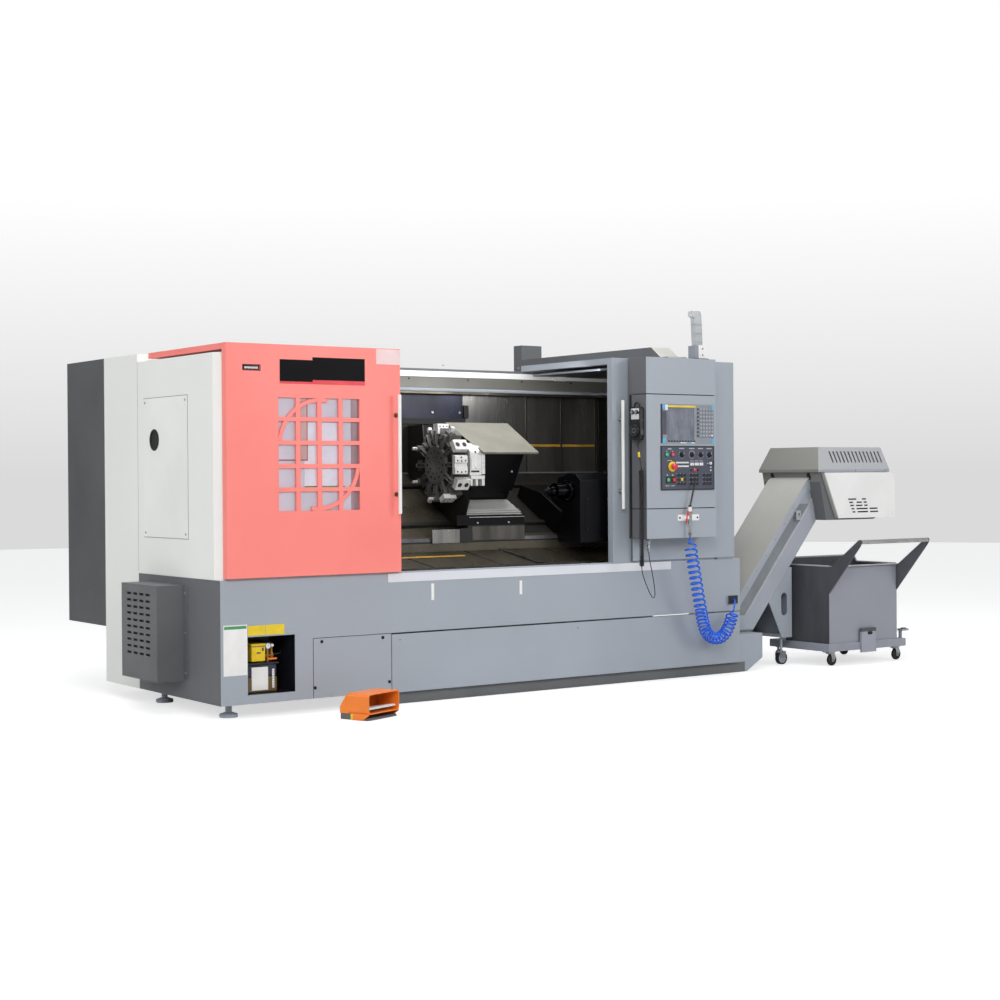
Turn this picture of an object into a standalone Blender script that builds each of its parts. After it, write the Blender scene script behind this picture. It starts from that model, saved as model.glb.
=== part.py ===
"""Slant-bed CNC turning lathe with chip conveyor, chip cart and foot pedal.

Metres, Z up. Pieces are placed from the front left lower corner of the base enclosure:
X runs along the machine, Y runs back from the operator, Z runs up from the shop floor.
The empty machine_frame then centres the whole set on the world origin.
"""

import math

import bmesh
import bpy
from mathutils import Matrix, Vector

# Fits
FIT_GAP = 0.0003  # between pieces that touch, seat or slide
RUNNING_GAP = 0.006  # between a sliding door and the sheet metal that it passes

# Body
BODY_LENGTH = 3.397
BASE_BOTTOM = 0.070
BASE_TOP = 0.678
BASE_DEPTH = 0.950
BODY_DEPTH = 1.390
COVER_TOP = 1.786
REAR_TOP = 1.830
SHEET = 0.012
FOOT_RADIUS = 0.045
FOOT_STEM = 0.016
FOOT_INSET = 0.100
CHAMBER_LEFT = 0.800
CHAMBER_RIGHT = 3.090
ENCLOSURE_RIGHT = 3.335

# Base details
LUBE_BAY = (0.146, 0.407, 0.114, 0.397)  # left, right, bottom, top
LUBE_BAY_DEPTH = 0.260
SERVICE_PANEL = (0.509, 0.965, 0.372)  # left, right, top
PANEL_SEAM = 0.003
TANK_BAY_LEFT = 0.967
TANK_BAY_TOP = 0.372
TANK_BAY_DEPTH = 0.800
SILL_STRIP = (0.949, 2.859, 0.632)
SILL_PROUD = 0.002
TRACK_HEIGHT = 0.0077
TRACK_FRONT = 0.002
TRACK_BACK = 0.016
CHIP_SLOT = (1.000, 2.480, 0.050, 0.137)  # left, right, front, back
HOSE_PORT = (3.290, 3.368, 0.411, 0.462)  # left, right, bottom, top
HOSE_PORT_PROUD = 0.012

# Slanted bed, in slant coordinates: u up the slope, n square to it, from the spindle axis
SLANT = math.radians(30.0)
SPINDLE_Y = 0.186
SPINDLE_Z = 1.088
WAY_N = -0.272
PAN_SHEET = 0.008
PAN_FRONT = (0.140, 0.684)
PAN_KNEE = (0.300, 0.765)
BACK_WALL_Y = BASE_DEPTH - 0.050
BED_FRONT_Y = 0.325
RAIL_HEIGHT = 0.018
RAIL_WIDTH = 0.030
LOWER_RAIL = 0.100
UPPER_RAIL = (BACK_WALL_Y - 0.1277 - SPINDLE_Y + WAY_N * math.sin(SLANT)) / math.cos(SLANT)
RAIL_PLACES = (LOWER_RAIL, UPPER_RAIL)
RAIL_START = 0.950
RAIL_END = 2.980

# Rear beam and door rail
BEAM_FRONT = BACK_WALL_Y - 0.055
BEAM_BOTTOM = 1.654
RAIL_Y = BEAM_FRONT + 0.005
RAIL_Z = 1.800
RAIL_THICKNESS = 0.012

# Doors
LEFT_DOOR = (0.026, 1.016)
LEFT_DOOR_FRONT = -0.026
LEFT_DOOR_BACK = 0.018
LEFT_DOOR_TOP = 1.830
RIGHT_DOOR = (2.434, 3.200)
RIGHT_DOOR_FRONT = 0.0
RIGHT_DOOR_BACK = 0.044
RIGHT_DOOR_TOP = 1.835
DOOR_BOTTOM = 0.686
DOOR_ROOF_END = RAIL_Y + RAIL_THICKNESS + 0.004
DOOR_SKIN = 0.012
DOOR_FLANGE = 0.040
WINDOW_LEFT = 0.310
WINDOW_BOTTOM = 1.009
CELL_WIDTH = 0.097
CELL_HEIGHT = 0.0955
CELL_BAR_X = 0.0247
CELL_BAR_Z = 0.0206
CELL_COLUMNS = 4
CELL_ROWS = 5
ARC_RADIUS = 0.230
ARC_BAR = 0.020
ARC_SHIFT = (0.006, 0.041)
PANE_MARGIN = 0.014
PANE_THICKNESS = 0.0055
HANDLE_RADIUS = 0.0095
HANDLE_STANDOFF = 0.036
HANDLE_LOW = 0.985
HANDLE_HIGH = 1.595
HANDLE_POSTS = (1.085, 1.490)
POST_RADIUS = 0.006
LEFT_HANDLE_X = 0.989
RIGHT_HANDLE_X = 2.482

# Operator station
STATION_LEFT = 2.542
STATION_RIGHT = 3.061
STATION_FRONT = -0.167
STATION_BOTTOM = 0.818
STATION_PLATE = 0.014
STATION_SEAMS = (0.986, 1.628)
SEAM_HEIGHT = 0.005
SEAM_DEPTH = 0.012
DISPLAY = (2.646, 3.046, 1.353, 1.573)
DISPLAY_PROUD = 0.002
SCREEN = (2.690, 2.895, 1.372, 1.554)
SCREEN_DEPTH = 0.004
CONTROLS = (2.644, 3.042, 1.089, 1.338)
CONTROLS_PROUD = 0.006
INSERT_DEPTH = 0.020
KEY_GROUPS = (2.794, 2.888, 2.986)
KEY_ROW_Z = 1.149
KEY_PITCH = 0.024
KEY_SIZE = 0.016
KEY_PROUD = 0.004
KNOB_PLACES = (2.796, 2.872, 2.938, 3.003)
KNOB_Z = 1.289
KNOB_RADIUS = 0.0125
KNOB_HEIGHT = 0.018
BUTTONS = {
    "power_on_button": (2.684, 1.290),
    "power_off_button": (2.727, 1.290),
    "start_button": (2.694, 1.147),
    "hold_button": (2.736, 1.147),
}
BUTTON_RADIUS = 0.011
BUTTON_PROUD = 0.008
BUTTON_SOCKET = 0.012
BUTTON_TRAVEL = 0.003
STOP_PLACE = (2.724, 1.222)
STOP_RADIUS = 0.020
STOP_HEIGHT = 0.032
STOP_COLLAR = 0.027
STOP_TRAVEL = 0.005

# Handwheel pendant
PENDANT = (0.150, 0.060, 1.372, 1.557)  # front and back distance, bottom, top
PENDANT_DEPTH = 0.030
WHEEL_RADIUS = 0.036
WHEEL_DEPTH = 0.012
WHEEL_Y = -0.108
WHEEL_Z = 1.425
CORD_X = 2.519
CORD_Y = -0.148
CURL_TOP = 1.205
CURL_BOTTOM = 0.665
CURL_RADIUS = 0.014
LEAD_RADIUS = 0.003
CONNECTOR = (2.594, -0.120, 0.745)
CONNECTOR_RADIUS = 0.010

# Air gun
GUN_X = 2.834
GUN_Y = -0.196
GUN_BOTTOM = 0.834
GUN_TOP = 1.004
GUN_RADIUS = 0.012
NOZZLE_TIP = (2.878, -0.200, 1.157)
HOSE_RADIUS = 0.0375

# Signal tower
TOWER_X = 2.987
TOWER_Y = -0.090
TOWER_HEIGHT = 0.278

# Coolant tank
TANK_LEFT = 0.990
TANK_RIGHT = 3.606
TANK_FRONT = 0.030
TANK_TOP = 0.222
TANK_WALL = 0.010
TANK_CHAMFER_X = 0.130
TANK_CHAMFER_Z = 0.076
TANK_OPEN_RIGHT = 3.300
TANK_PANEL = (0.972, 3.394, 0.063, 0.364)

# Chip conveyor
TRUNK_ANGLE = math.radians(50.4)
TRUNK_FOOT_X = 3.354
TRUNK_THICKNESS = 0.216
TRUNK_FRONT = 0.150
TRUNK_BACK = 0.490
LEG_RIGHT = 3.969
HEAD_LEFT = 4.115
HEAD_RIGHT = 4.735
HEAD_FRONT = 0.060
HEAD_BACK = 0.560
HEAD_TOP = 1.195
HEAD_BOTTOM = 0.888
HEAD_LEAN = 0.064
HOOD_OVERHANG = 0.014
HOOD_SLOPE = 0.052
HOOD_TOP = 1.342
VENT_SLOTS = 14
SIDE_COVER_DEPTH = 0.024
SIDE_COVER_REACH = 0.039  # past the head's right side

# Chip cart
BIN_LEFT = 4.039
BIN_RIGHT = 4.636
BIN_FRONT = -0.100
BIN_BACK = 0.274
BIN_TOP = 0.611
BIN_BACK_TOP = 0.652
BIN_SHEET = 0.006
CART_LEFT = 4.020
CART_RIGHT = 4.700
CART_FRONT = -0.115
CART_BACK = 0.400
CART_RAIL = 0.040
CART_DECK = 0.1365
CART_RAIL_HEIGHT = 0.046
GRIP_Y = -0.355
GRIP_Z = 0.765
GRIP_RADIUS = 0.0125
CART_WHEEL_RADIUS = 0.036
CART_WHEEL_WIDTH = 0.024
CASTER_X = (4.075, 4.648)
CASTER_FRONT_Y = -0.060
CASTER_BACK_Y = 0.345
CASTER_TRAIL = 0.022

# Foot pedal, in its own frame
PEDAL_PLACE = (0.640, -0.322)
PEDAL_TURN = math.radians(22.0)
PEDAL_WIDTH = 0.250
PEDAL_DEPTH = 0.180
PEDAL_HEIGHT = 0.130
PEDAL_WALL = 0.012
PEDAL_BARREL = 0.006

# Electrical cabinet, cable duct, vent cover
CABINET_RIGHT = 3.100
CABINET_BACK = 1.918
CABINET_BOTTOM = 0.370
DUCT_LEFT = 2.816
DUCT_WIDTH = 0.141
DUCT_TOP = 1.914
DUCT_FOOT = -0.036
DUCT_STEP = -0.007
VENT_BOX = (0.405, 0.835, 0.160, 0.640)  # front, back, bottom, top
VENT_DEPTH = 0.147
VENT_SHEET = 0.006
VENT_FLANGE = 0.045
VENT_COLUMNS = 4
VENT_ROWS = 10
ACCESS = (0.346, 0.870, 0.872, 1.589)
ACCESS_HOLE = (0.734, 1.373, 0.053)

# Chuck and turret
NOSE_END = CHAMBER_LEFT + 0.045
CHUCK_RADIUS = 0.125
CHUCK_LENGTH = 0.140
CHUCK_BORE = 0.035
JAW_WIDTH = 0.030
JAW_SLOT_DEPTH = 0.030
TURRET_U = 0.300
TURRET_FACE = 1.550
TURRET_LENGTH = 0.088
TURRET_RADIUS = 0.165
TURRET_STATIONS = 12
TOOL_REACH = 0.240
HOLDER_REACH = 0.205
SADDLE_LEFT = 1.640
SADDLE_RIGHT = 2.030
SADDLE_TOP_N = -0.172
SADDLE_FRONT = 0.285
SADDLE_END = UPPER_RAIL + 0.120
SADDLE_SKIRT = 0.823
SLIDE_RIGHT = SADDLE_RIGHT + 0.070
SLIDE_COVER_N = 0.166
TAILSTOCK_LEFT = SLIDE_RIGHT + 0.150
TAILSTOCK_RIGHT = TAILSTOCK_LEFT + 0.350
QUILL_RADIUS = 0.045
QUILL_LEFT = TAILSTOCK_LEFT - 0.120
QUILL_BORE_END = 0.050
QUILL_ROOM = 0.050  # behind the quill, for its travel inwards

for leftover in list(bpy.data.objects):
    bpy.data.objects.remove(leftover, do_unlink=True)


def slant(u, n):
    """Y and Z of a point u up the slope and n above it, seen from the spindle axis."""
    return (
        SPINDLE_Y + u * math.cos(SLANT) - n * math.sin(SLANT),
        SPINDLE_Z + u * math.sin(SLANT) + n * math.cos(SLANT),
    )


def empty(name, place, parent=None):
    node = bpy.data.objects.new(name, None)
    node.location = place
    node.parent = parent
    bpy.context.scene.collection.objects.link(node)
    return node


# The set reaches from the vent cover to the cart, and from the pedal to the cabinet
PEDAL_REACH = (PEDAL_WIDTH * math.sin(PEDAL_TURN) + PEDAL_DEPTH * math.cos(PEDAL_TURN)) / 2
SET_LEFT = -VENT_DEPTH
SET_RIGHT = HEAD_RIGHT + SIDE_COVER_REACH
SET_FRONT = PEDAL_PLACE[1] - PEDAL_REACH
SET_BACK = CABINET_BACK
machine_frame = empty(
    "machine_frame", (-(SET_LEFT + SET_RIGHT) / 2, -(SET_FRONT + SET_BACK) / 2, 0.0)
)


def paint(name, colour, roughness, metallic):
    """A Principled material from an sRGB hex colour."""
    values = [int(colour[i : i + 2], 16) / 255 for i in (0, 2, 4)]
    linear = [v / 12.92 if v <= 0.04045 else ((v + 0.055) / 1.055) ** 2.4 for v in values]
    material = bpy.data.materials.new(name)
    material.use_nodes = True
    shader = material.node_tree.nodes["Principled BSDF"]
    shader.inputs["Base Color"].default_value = (*linear, 1.0)
    shader.inputs["Roughness"].default_value = roughness
    shader.inputs["Metallic"].default_value = metallic
    material.diffuse_color = (*linear, 1.0)
    return material


GREY = ("9AA1A9", 0.45, 0.0)
DARK_GREY = ("5F6162", 0.5, 0.0)
WHITE = ("D8D9D4", 0.45, 0.0)
CORAL = ("F08078", 0.4, 0.0)
STEEL = ("8C8C8A", 0.35, 1.0)
DARK_STEEL = ("3A3938", 0.45, 0.8)
BLACK = ("1C1D1F", 0.5, 0.0)
CAST = ("55585A", 0.6, 0.0)


# Shapes: each returns a function that draws the shape into a bmesh


def block(low, high):
    def draw(bm):
        centre = [(a + b) / 2 for a, b in zip(low, high)]
        size = [b - a for a, b in zip(low, high)]
        matrix = Matrix.Translation(centre) @ Matrix.Diagonal((*size, 1.0))
        bmesh.ops.create_cube(bm, size=1.0, matrix=matrix)

    return draw


def point_on(axis, along, a, b):
    """A 3-D point from a place along an axis and the two coordinates square to it."""
    if axis == "X":
        return (along, a, b)
    if axis == "Y":
        return (a, along, b)
    return (a, b, along)


def prism(axis, outline, start, end):
    """An outline in the plane square to the axis, carried from start to end."""

    def draw(bm):
        rings = [[bm.verts.new(point_on(axis, at, a, b)) for a, b in outline] for at in (start, end)]
        caps = [bm.faces.new(ring) for ring in rings]
        count = len(outline)
        sides = [
            bm.faces.new((rings[0][i], rings[0][(i + 1) % count], rings[1][(i + 1) % count], rings[1][i]))
            for i in range(count)
        ]
        bmesh.ops.recalc_face_normals(bm, faces=caps + sides)

    return draw


def turned(axis, centre, profile, segments=32):
    """A profile of (place along the axis, radius) turned round the axis through centre."""

    def draw(bm):
        rings = []
        for along, radius in profile:
            ring = []
            for step in range(segments if radius > 0 else 1):
                angle = 2 * math.pi * step / segments
                a = centre[0] + radius * math.cos(angle)
                b = centre[1] + radius * math.sin(angle)
                ring.append(bm.verts.new(point_on(axis, along, a, b)))
            rings.append(ring)
        faces = []
        for near, far in zip(rings, rings[1:]):
            for i in range(segments):
                j = (i + 1) % segments
                corners = [near[i % len(near)], near[j % len(near)], far[j % len(far)], far[i % len(far)]]
                unique = list(dict.fromkeys(corners))
                faces.append(bm.faces.new(unique))
        for ring in (rings[0], rings[-1]):
            if len(ring) > 1:
                faces.append(bm.faces.new(ring))
        bmesh.ops.recalc_face_normals(bm, faces=faces)

    return draw


def rod(axis, centre, radius, start, end, segments=20):
    return turned(axis, centre, [(start, radius), (end, radius)], segments)


def moved(shape, matrix):
    """The same shape, turned or shifted by a matrix."""

    def draw(bm):
        before = set(bm.verts)
        shape(bm)
        fresh = [v for v in bm.verts if v not in before]
        bmesh.ops.transform(bm, matrix=matrix, verts=fresh)

    return draw


def turned_about_x(angle, centre):
    """A turn about the X direction through a point given by Y and Z."""
    shift = Matrix.Translation((0.0, centre[0], centre[1]))
    return shift @ Matrix.Rotation(angle, 4, "X") @ shift.inverted()


def mesh_object(name, shapes, origin):
    bm = bmesh.new()
    for shape in shapes:
        shape(bm)
    bmesh.ops.translate(bm, verts=bm.verts, vec=-Vector(origin))
    mesh = bpy.data.meshes.new(name)
    bm.to_mesh(mesh)
    bm.free()
    made = bpy.data.objects.new(name, mesh)
    made.location = origin
    bpy.context.scene.collection.objects.link(made)
    return made


def boolean(target, operation, shapes, label):
    """Adds or cuts shapes, drawn as one tool object that stays out of the model."""
    tool = mesh_object(f"{target.name}_{label}", shapes, (0.0, 0.0, 0.0))
    tool.parent = target.parent
    tool.hide_render = True
    tool.display_type = "WIRE"
    modifier = target.modifiers.new(label, "BOOLEAN")
    modifier.operation = operation
    modifier.solver = "EXACT"
    modifier.object = tool


def solid(name, finish, shapes, cuts=(), origin=(0.0, 0.0, 0.0), parent=None, smooth=False):
    """One sub-part: the first shape, with each other one joined on and the cuts taken out.

    An entry of shapes or cuts may be a list of shapes that stay clear of each other.
    """
    groups = [entry if isinstance(entry, list) else [entry] for entry in shapes]
    made = mesh_object(name, groups[0], origin)
    made.parent = parent or machine_frame
    made.data.materials.append(paint(name, *finish))
    for index, group in enumerate(groups[1:]):
        boolean(made, "UNION", group, f"join_{index}")
    for index, entry in enumerate(cuts):
        boolean(made, "DIFFERENCE", entry if isinstance(entry, list) else [entry], f"cut_{index}")
    if smooth:
        made.data.shade_smooth()
        made.data.set_sharp_from_angle(angle=math.radians(35))
    return made


def make_base():
    """Sheet-metal base on levelling feet, with the bays for the lubricator and the tank."""
    corner = CHAMBER_LEFT + FIT_GAP
    outline = [
        (0.0, 0.0),
        (BODY_LENGTH, 0.0),
        (BODY_LENGTH, BODY_DEPTH),
        (corner, BODY_DEPTH),
        (corner, BASE_DEPTH),
        (0.0, BASE_DEPTH),
    ]
    foot = [(0.0, FOOT_RADIUS), (0.016, FOOT_RADIUS), (0.026, FOOT_STEM), (BASE_BOTTOM + 0.01, FOOT_STEM)]
    places = [
        (FOOT_INSET, 0.12),
        (FOOT_INSET, BASE_DEPTH - 0.09),
        (TANK_BAY_LEFT - 0.067, BASE_DEPTH - 0.09),
        (1.25, BODY_DEPTH - 0.13),
        (2.30, BODY_DEPTH - 0.13),
        (BODY_LENGTH - 0.117, BODY_DEPTH - 0.13),
        (BODY_LENGTH - 0.117, TANK_BAY_DEPTH + 0.08),
    ]
    feet = [turned("Z", place, foot, 16) for place in places]
    track = block(
        (LEFT_DOOR[0], TRACK_FRONT, BASE_TOP - 0.004), (RIGHT_DOOR[1], TRACK_BACK, BASE_TOP + TRACK_HEIGHT)
    )
    sill = block((SILL_STRIP[0], -SILL_PROUD, SILL_STRIP[2]), (SILL_STRIP[1], 0.010, BASE_TOP - 0.001))
    port = block((HOSE_PORT[0], -HOSE_PORT_PROUD, HOSE_PORT[2]), (HOSE_PORT[1], 0.010, HOSE_PORT[3]))
    left, right, bottom, top = LUBE_BAY
    lube_bay = block((left, -0.05, bottom), (right, LUBE_BAY_DEPTH, top))
    panel_left, panel_right, panel_top = SERVICE_PANEL
    seam = [
        (panel_left, BASE_BOTTOM - 0.01),
        (panel_left, panel_top),
        (panel_right - 0.004, panel_top),
        (panel_right - 0.004, panel_top - PANEL_SEAM),
        (panel_left + PANEL_SEAM, panel_top - PANEL_SEAM),
        (panel_left + PANEL_SEAM, BASE_BOTTOM - 0.01),
    ]
    tank_bay = block(
        (TANK_BAY_LEFT, -0.05, BASE_BOTTOM - 0.05), (BODY_LENGTH + 0.05, TANK_BAY_DEPTH, TANK_BAY_TOP)
    )
    chip_slot = block(
        (CHIP_SLOT[0], CHIP_SLOT[2], TANK_BAY_TOP - 0.05), (CHIP_SLOT[1], CHIP_SLOT[3], BASE_TOP + 0.05)
    )
    return solid(
        "base_enclosure",
        GREY,
        [prism("Z", outline, BASE_BOTTOM, BASE_TOP), feet, [track, sill, port]],
        [[lube_bay, prism("Y", seam, -0.01, PANEL_SEAM), tank_bay], chip_slot],
    )


def make_left_cover():
    """White casing round the headstock, with the side wall, the partition and the spindle opening."""
    front = LEFT_DOOR_BACK + 2 * RUNNING_GAP
    back = BASE_DEPTH + 0.01
    plan = [(0.0, 0.065), (0.036, front), (CHAMBER_LEFT, front), (CHAMBER_LEFT, back), (0.0, back)]
    inner = [
        (SHEET, 0.071),
        (0.042, front + SHEET),
        (CHAMBER_LEFT - SHEET, front + SHEET),
        (CHAMBER_LEFT - SHEET, BODY_DEPTH - SHEET),
        (SHEET, BODY_DEPTH - SHEET),
    ]
    rear = block((0.0, BASE_DEPTH + FIT_GAP, BASE_BOTTOM), (CHAMBER_LEFT, BODY_DEPTH, REAR_TOP))
    rear_inner = block(
        (SHEET, BASE_DEPTH + FIT_GAP + SHEET, BASE_BOTTOM - 0.05),
        (CHAMBER_LEFT - SHEET, BODY_DEPTH - SHEET, BASE_TOP + 0.05),
    )
    low, high, bottom, top = ACCESS
    access = block((-0.05, low + 0.03, bottom + 0.03), (0.05, high - 0.03, top - 0.03))
    bed_gap = prism(
        "X",
        [
            (BED_FRONT_Y - 0.18, BASE_TOP - 0.05),
            (BACK_WALL_Y + 0.005, BASE_TOP - 0.05),
            (BACK_WALL_Y + 0.005, 1.20),
            (SPINDLE_Y + 0.17, SPINDLE_Z - 0.02),
            (BED_FRONT_Y - 0.18, SPINDLE_Z - 0.16),
        ],
        CHAMBER_LEFT - 0.05,
        CHAMBER_LEFT + 0.05,
    )
    nose_hole = rod("X", (SPINDLE_Y, SPINDLE_Z), 0.118, CHAMBER_LEFT - 0.04, CHAMBER_LEFT + 0.04, 32)
    return solid(
        "left_cover",
        WHITE,
        [prism("Z", plan, BASE_TOP + FIT_GAP, COVER_TOP), rear],
        [prism("Z", inner, BASE_TOP - 0.05, COVER_TOP - SHEET), rear_inner, access, bed_gap, nose_hole],
    )


def make_access_panel():
    low, high, bottom, top = ACCESS
    hole_y, hole_z, hole_radius = ACCESS_HOLE
    plate = block((-0.0033, low, bottom), (-FIT_GAP, high, top))
    return solid("access_panel", WHITE, [plate], [rod("X", (hole_y, hole_z), hole_radius, -0.02, 0.02, 32)])


def make_vent_cover():
    """Louvred box on the base's left side, open towards the base."""
    front, back, bottom, top = VENT_BOX
    outer = block((-VENT_DEPTH, front, bottom), (-FIT_GAP, back, top))
    flange = block(
        (-0.004, front - VENT_FLANGE, bottom + 0.012), (-FIT_GAP, back + VENT_FLANGE, top - 0.012)
    )
    inner = block(
        (-VENT_DEPTH + VENT_SHEET, front + VENT_SHEET, bottom + VENT_SHEET),
        (0.02, back - VENT_SHEET, top - VENT_SHEET),
    )
    slots = [
        block(
            (-VENT_DEPTH - 0.02, 0.488 + 0.0758 * column, 0.283 + 0.0335 * row),
            (-VENT_DEPTH + 0.02, 0.541 + 0.0758 * column, 0.295 + 0.0335 * row),
        )
        for column in range(VENT_COLUMNS)
        for row in range(VENT_ROWS)
    ]
    return solid("vent_cover", DARK_GREY, [outer, flange], [inner, slots])


def make_cabinet():
    """Electrical cabinet across the back, with four flush doors marked by their seams."""
    front = BODY_DEPTH + FIT_GAP
    body = block((0.0, front, CABINET_BOTTOM), (CABINET_RIGHT, CABINET_BACK, REAR_TOP))
    door_low = CABINET_BOTTOM + 0.04
    door_high = REAR_TOP - 0.04
    door_width = (CABINET_RIGHT - 0.08) / 4
    seams = [
        block(
            (0.04 + door_width * i - 0.0015, CABINET_BACK - 0.003, door_low),
            (0.04 + door_width * i + 0.0015, CABINET_BACK + 0.02, door_high),
        )
        for i in range(5)
    ]
    handles = [
        block(
            (0.04 + door_width * i + side - 0.012, CABINET_BACK - 0.010, 1.05),
            (0.04 + door_width * i + side + 0.012, CABINET_BACK + 0.02, 1.19),
        )
        for i, side in ((1, -0.05), (1, 0.05), (3, -0.05), (3, 0.05))
    ]
    return solid("electrical_cabinet", DARK_GREY, [body], [seams, handles])


def make_right_enclosure():
    """Right casing: chamber wall, outer wall, front wall behind the right door, roof and corner post."""
    front = RIGHT_DOOR_BACK + 2 * RUNNING_GAP
    bottom = BASE_TOP + FIT_GAP
    start = RIGHT_DOOR[0] + 0.066
    case = block((CHAMBER_RIGHT, front, bottom), (ENCLOSURE_RIGHT, BODY_DEPTH, COVER_TOP))
    inner = block(
        (CHAMBER_RIGHT + SHEET, front + SHEET, bottom - 0.05),
        (ENCLOSURE_RIGHT - SHEET, BODY_DEPTH - SHEET, COVER_TOP - SHEET),
    )
    wall = block((start, front, bottom), (CHAMBER_RIGHT + 0.01, front + SHEET, COVER_TOP))
    roof = block((start, front, COVER_TOP - SHEET), (CHAMBER_RIGHT + 0.01, BEAM_FRONT - FIT_GAP, COVER_TOP))
    post = block(
        (RIGHT_DOOR[1] + 0.010, RIGHT_DOOR_FRONT - RUNNING_GAP + FIT_GAP, bottom),
        (ENCLOSURE_RIGHT, front + 0.02, RIGHT_DOOR_TOP - 0.001),
    )
    cap = block(
        (RIGHT_DOOR[1] + 0.010, front, COVER_TOP - 0.006), (ENCLOSURE_RIGHT, BODY_DEPTH, RIGHT_DOOR_TOP - 0.001)
    )
    return solid("right_enclosure", GREY, [case, wall, roof, post, cap], [inner])


def make_rear_cover():
    """Back wall of the chamber, the beam with the door rail, the roof and the rear sheet, folded as one."""
    bottom = BASE_TOP + FIT_GAP
    wall_foot = slant(0.0, WAY_N)[1] + (BACK_WALL_Y - slant(0.0, WAY_N)[0]) * math.tan(SLANT) + 0.004
    outline = [
        (BODY_DEPTH, bottom),
        (BODY_DEPTH, COVER_TOP),
        (RAIL_Y + RAIL_THICKNESS, COVER_TOP),
        (RAIL_Y + RAIL_THICKNESS, RAIL_Z - FIT_GAP),
        (RAIL_Y, RAIL_Z - FIT_GAP),
        (RAIL_Y, COVER_TOP),
        (BEAM_FRONT, COVER_TOP),
        (BEAM_FRONT, BEAM_BOTTOM),
        (BACK_WALL_Y, BEAM_BOTTOM),
        (BACK_WALL_Y, wall_foot),
        (BACK_WALL_Y + SHEET, wall_foot),
        (BACK_WALL_Y + SHEET, COVER_TOP - SHEET),
        (BODY_DEPTH - SHEET, COVER_TOP - SHEET),
        (BODY_DEPTH - SHEET, bottom),
    ]
    return solid(
        "rear_cover", DARK_GREY, [prism("X", outline, CHAMBER_LEFT + FIT_GAP, CHAMBER_RIGHT - FIT_GAP)]
    )


def make_duct():
    """Cable duct over the roof, from the cabinet's top to the operator station."""
    right = DUCT_LEFT + DUCT_WIDTH
    bottom = RIGHT_DOOR_TOP + 0.005
    rear = BODY_DEPTH + FIT_GAP
    outline = [
        (DUCT_FOOT, RIGHT_DOOR_TOP + FIT_GAP),
        (DUCT_STEP, RIGHT_DOOR_TOP + FIT_GAP),
        (DUCT_STEP, bottom),
        (rear, bottom),
        (rear, DUCT_TOP),
        (0.114, DUCT_TOP),
        (0.030, bottom + 0.012),
        (DUCT_FOOT, bottom + 0.012),
    ]
    riser = block(
        (DUCT_LEFT - 0.0005, rear - 0.004, REAR_TOP + FIT_GAP), (right + 0.017, rear + 0.081, DUCT_TOP + 0.092)
    )
    return solid("cable_duct", DARK_GREY, [prism("X", outline, DUCT_LEFT, right), riser])


def make_chip_pan():
    """Folded sheet: sloping pan, kneeboard and the cover over the slanted bed, slotted for the rails."""
    foot_y, foot_z = PAN_FRONT
    knee_y, knee_z = PAN_KNEE
    way_start = slant(0.0, WAY_N)
    way_z = way_start[1] + (knee_y - way_start[0]) * math.tan(SLANT)
    end_y = BACK_WALL_Y - FIT_GAP
    end_z = way_start[1] + (end_y - way_start[0]) * math.tan(SLANT)
    drop = PAN_SHEET / math.cos(SLANT)
    outline = [
        (foot_y, foot_z),
        (knee_y, knee_z),
        (knee_y, way_z),
        (end_y, end_z),
        (end_y, end_z - drop),
        (knee_y + PAN_SHEET, way_z - drop + PAN_SHEET * math.tan(SLANT)),
        (knee_y + PAN_SHEET, knee_z - 0.005),
        (foot_y + 0.002, foot_z - 0.0055),
    ]
    slots = [
        prism(
            "X",
            [
                slant(place - RAIL_WIDTH / 2 - FIT_GAP, WAY_N - 0.03),
                slant(place + RAIL_WIDTH / 2 + FIT_GAP, WAY_N - 0.03),
                slant(place + RAIL_WIDTH / 2 + FIT_GAP, WAY_N + 0.03),
                slant(place - RAIL_WIDTH / 2 - FIT_GAP, WAY_N + 0.03),
            ],
            RAIL_START - FIT_GAP,
            RAIL_END + FIT_GAP,
        )
        for place in RAIL_PLACES
    ]
    return solid(
        "chip_pan",
        DARK_STEEL,
        [prism("X", outline, CHAMBER_LEFT + FIT_GAP, CHAMBER_RIGHT - FIT_GAP)],
        [slots],
    )


def make_bed():
    """Cast slanted bed with its two guide rails."""
    top_n = WAY_N - PAN_SHEET - FIT_GAP
    start = slant(0.0, top_n)
    front_z = start[1] + (BED_FRONT_Y - start[0]) * math.tan(SLANT)
    back = BACK_WALL_Y - 0.010
    back_z = start[1] + (back - start[0]) * math.tan(SLANT)
    bottom = BASE_TOP + FIT_GAP
    outline = [(BED_FRONT_Y, bottom), (back, bottom), (back, back_z), (BED_FRONT_Y, front_z)]
    rails = [
        prism(
            "X",
            [
                slant(place - RAIL_WIDTH / 2, top_n - 0.010),
                slant(place + RAIL_WIDTH / 2, top_n - 0.010),
                slant(place + RAIL_WIDTH / 2, WAY_N + RAIL_HEIGHT),
                slant(place - RAIL_WIDTH / 2, WAY_N + RAIL_HEIGHT),
            ],
            RAIL_START,
            RAIL_END,
        )
        for place in RAIL_PLACES
    ]
    return solid("slant_bed", CAST, [prism("X", outline, 0.120, CHAMBER_RIGHT - 0.010), rails])


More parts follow.
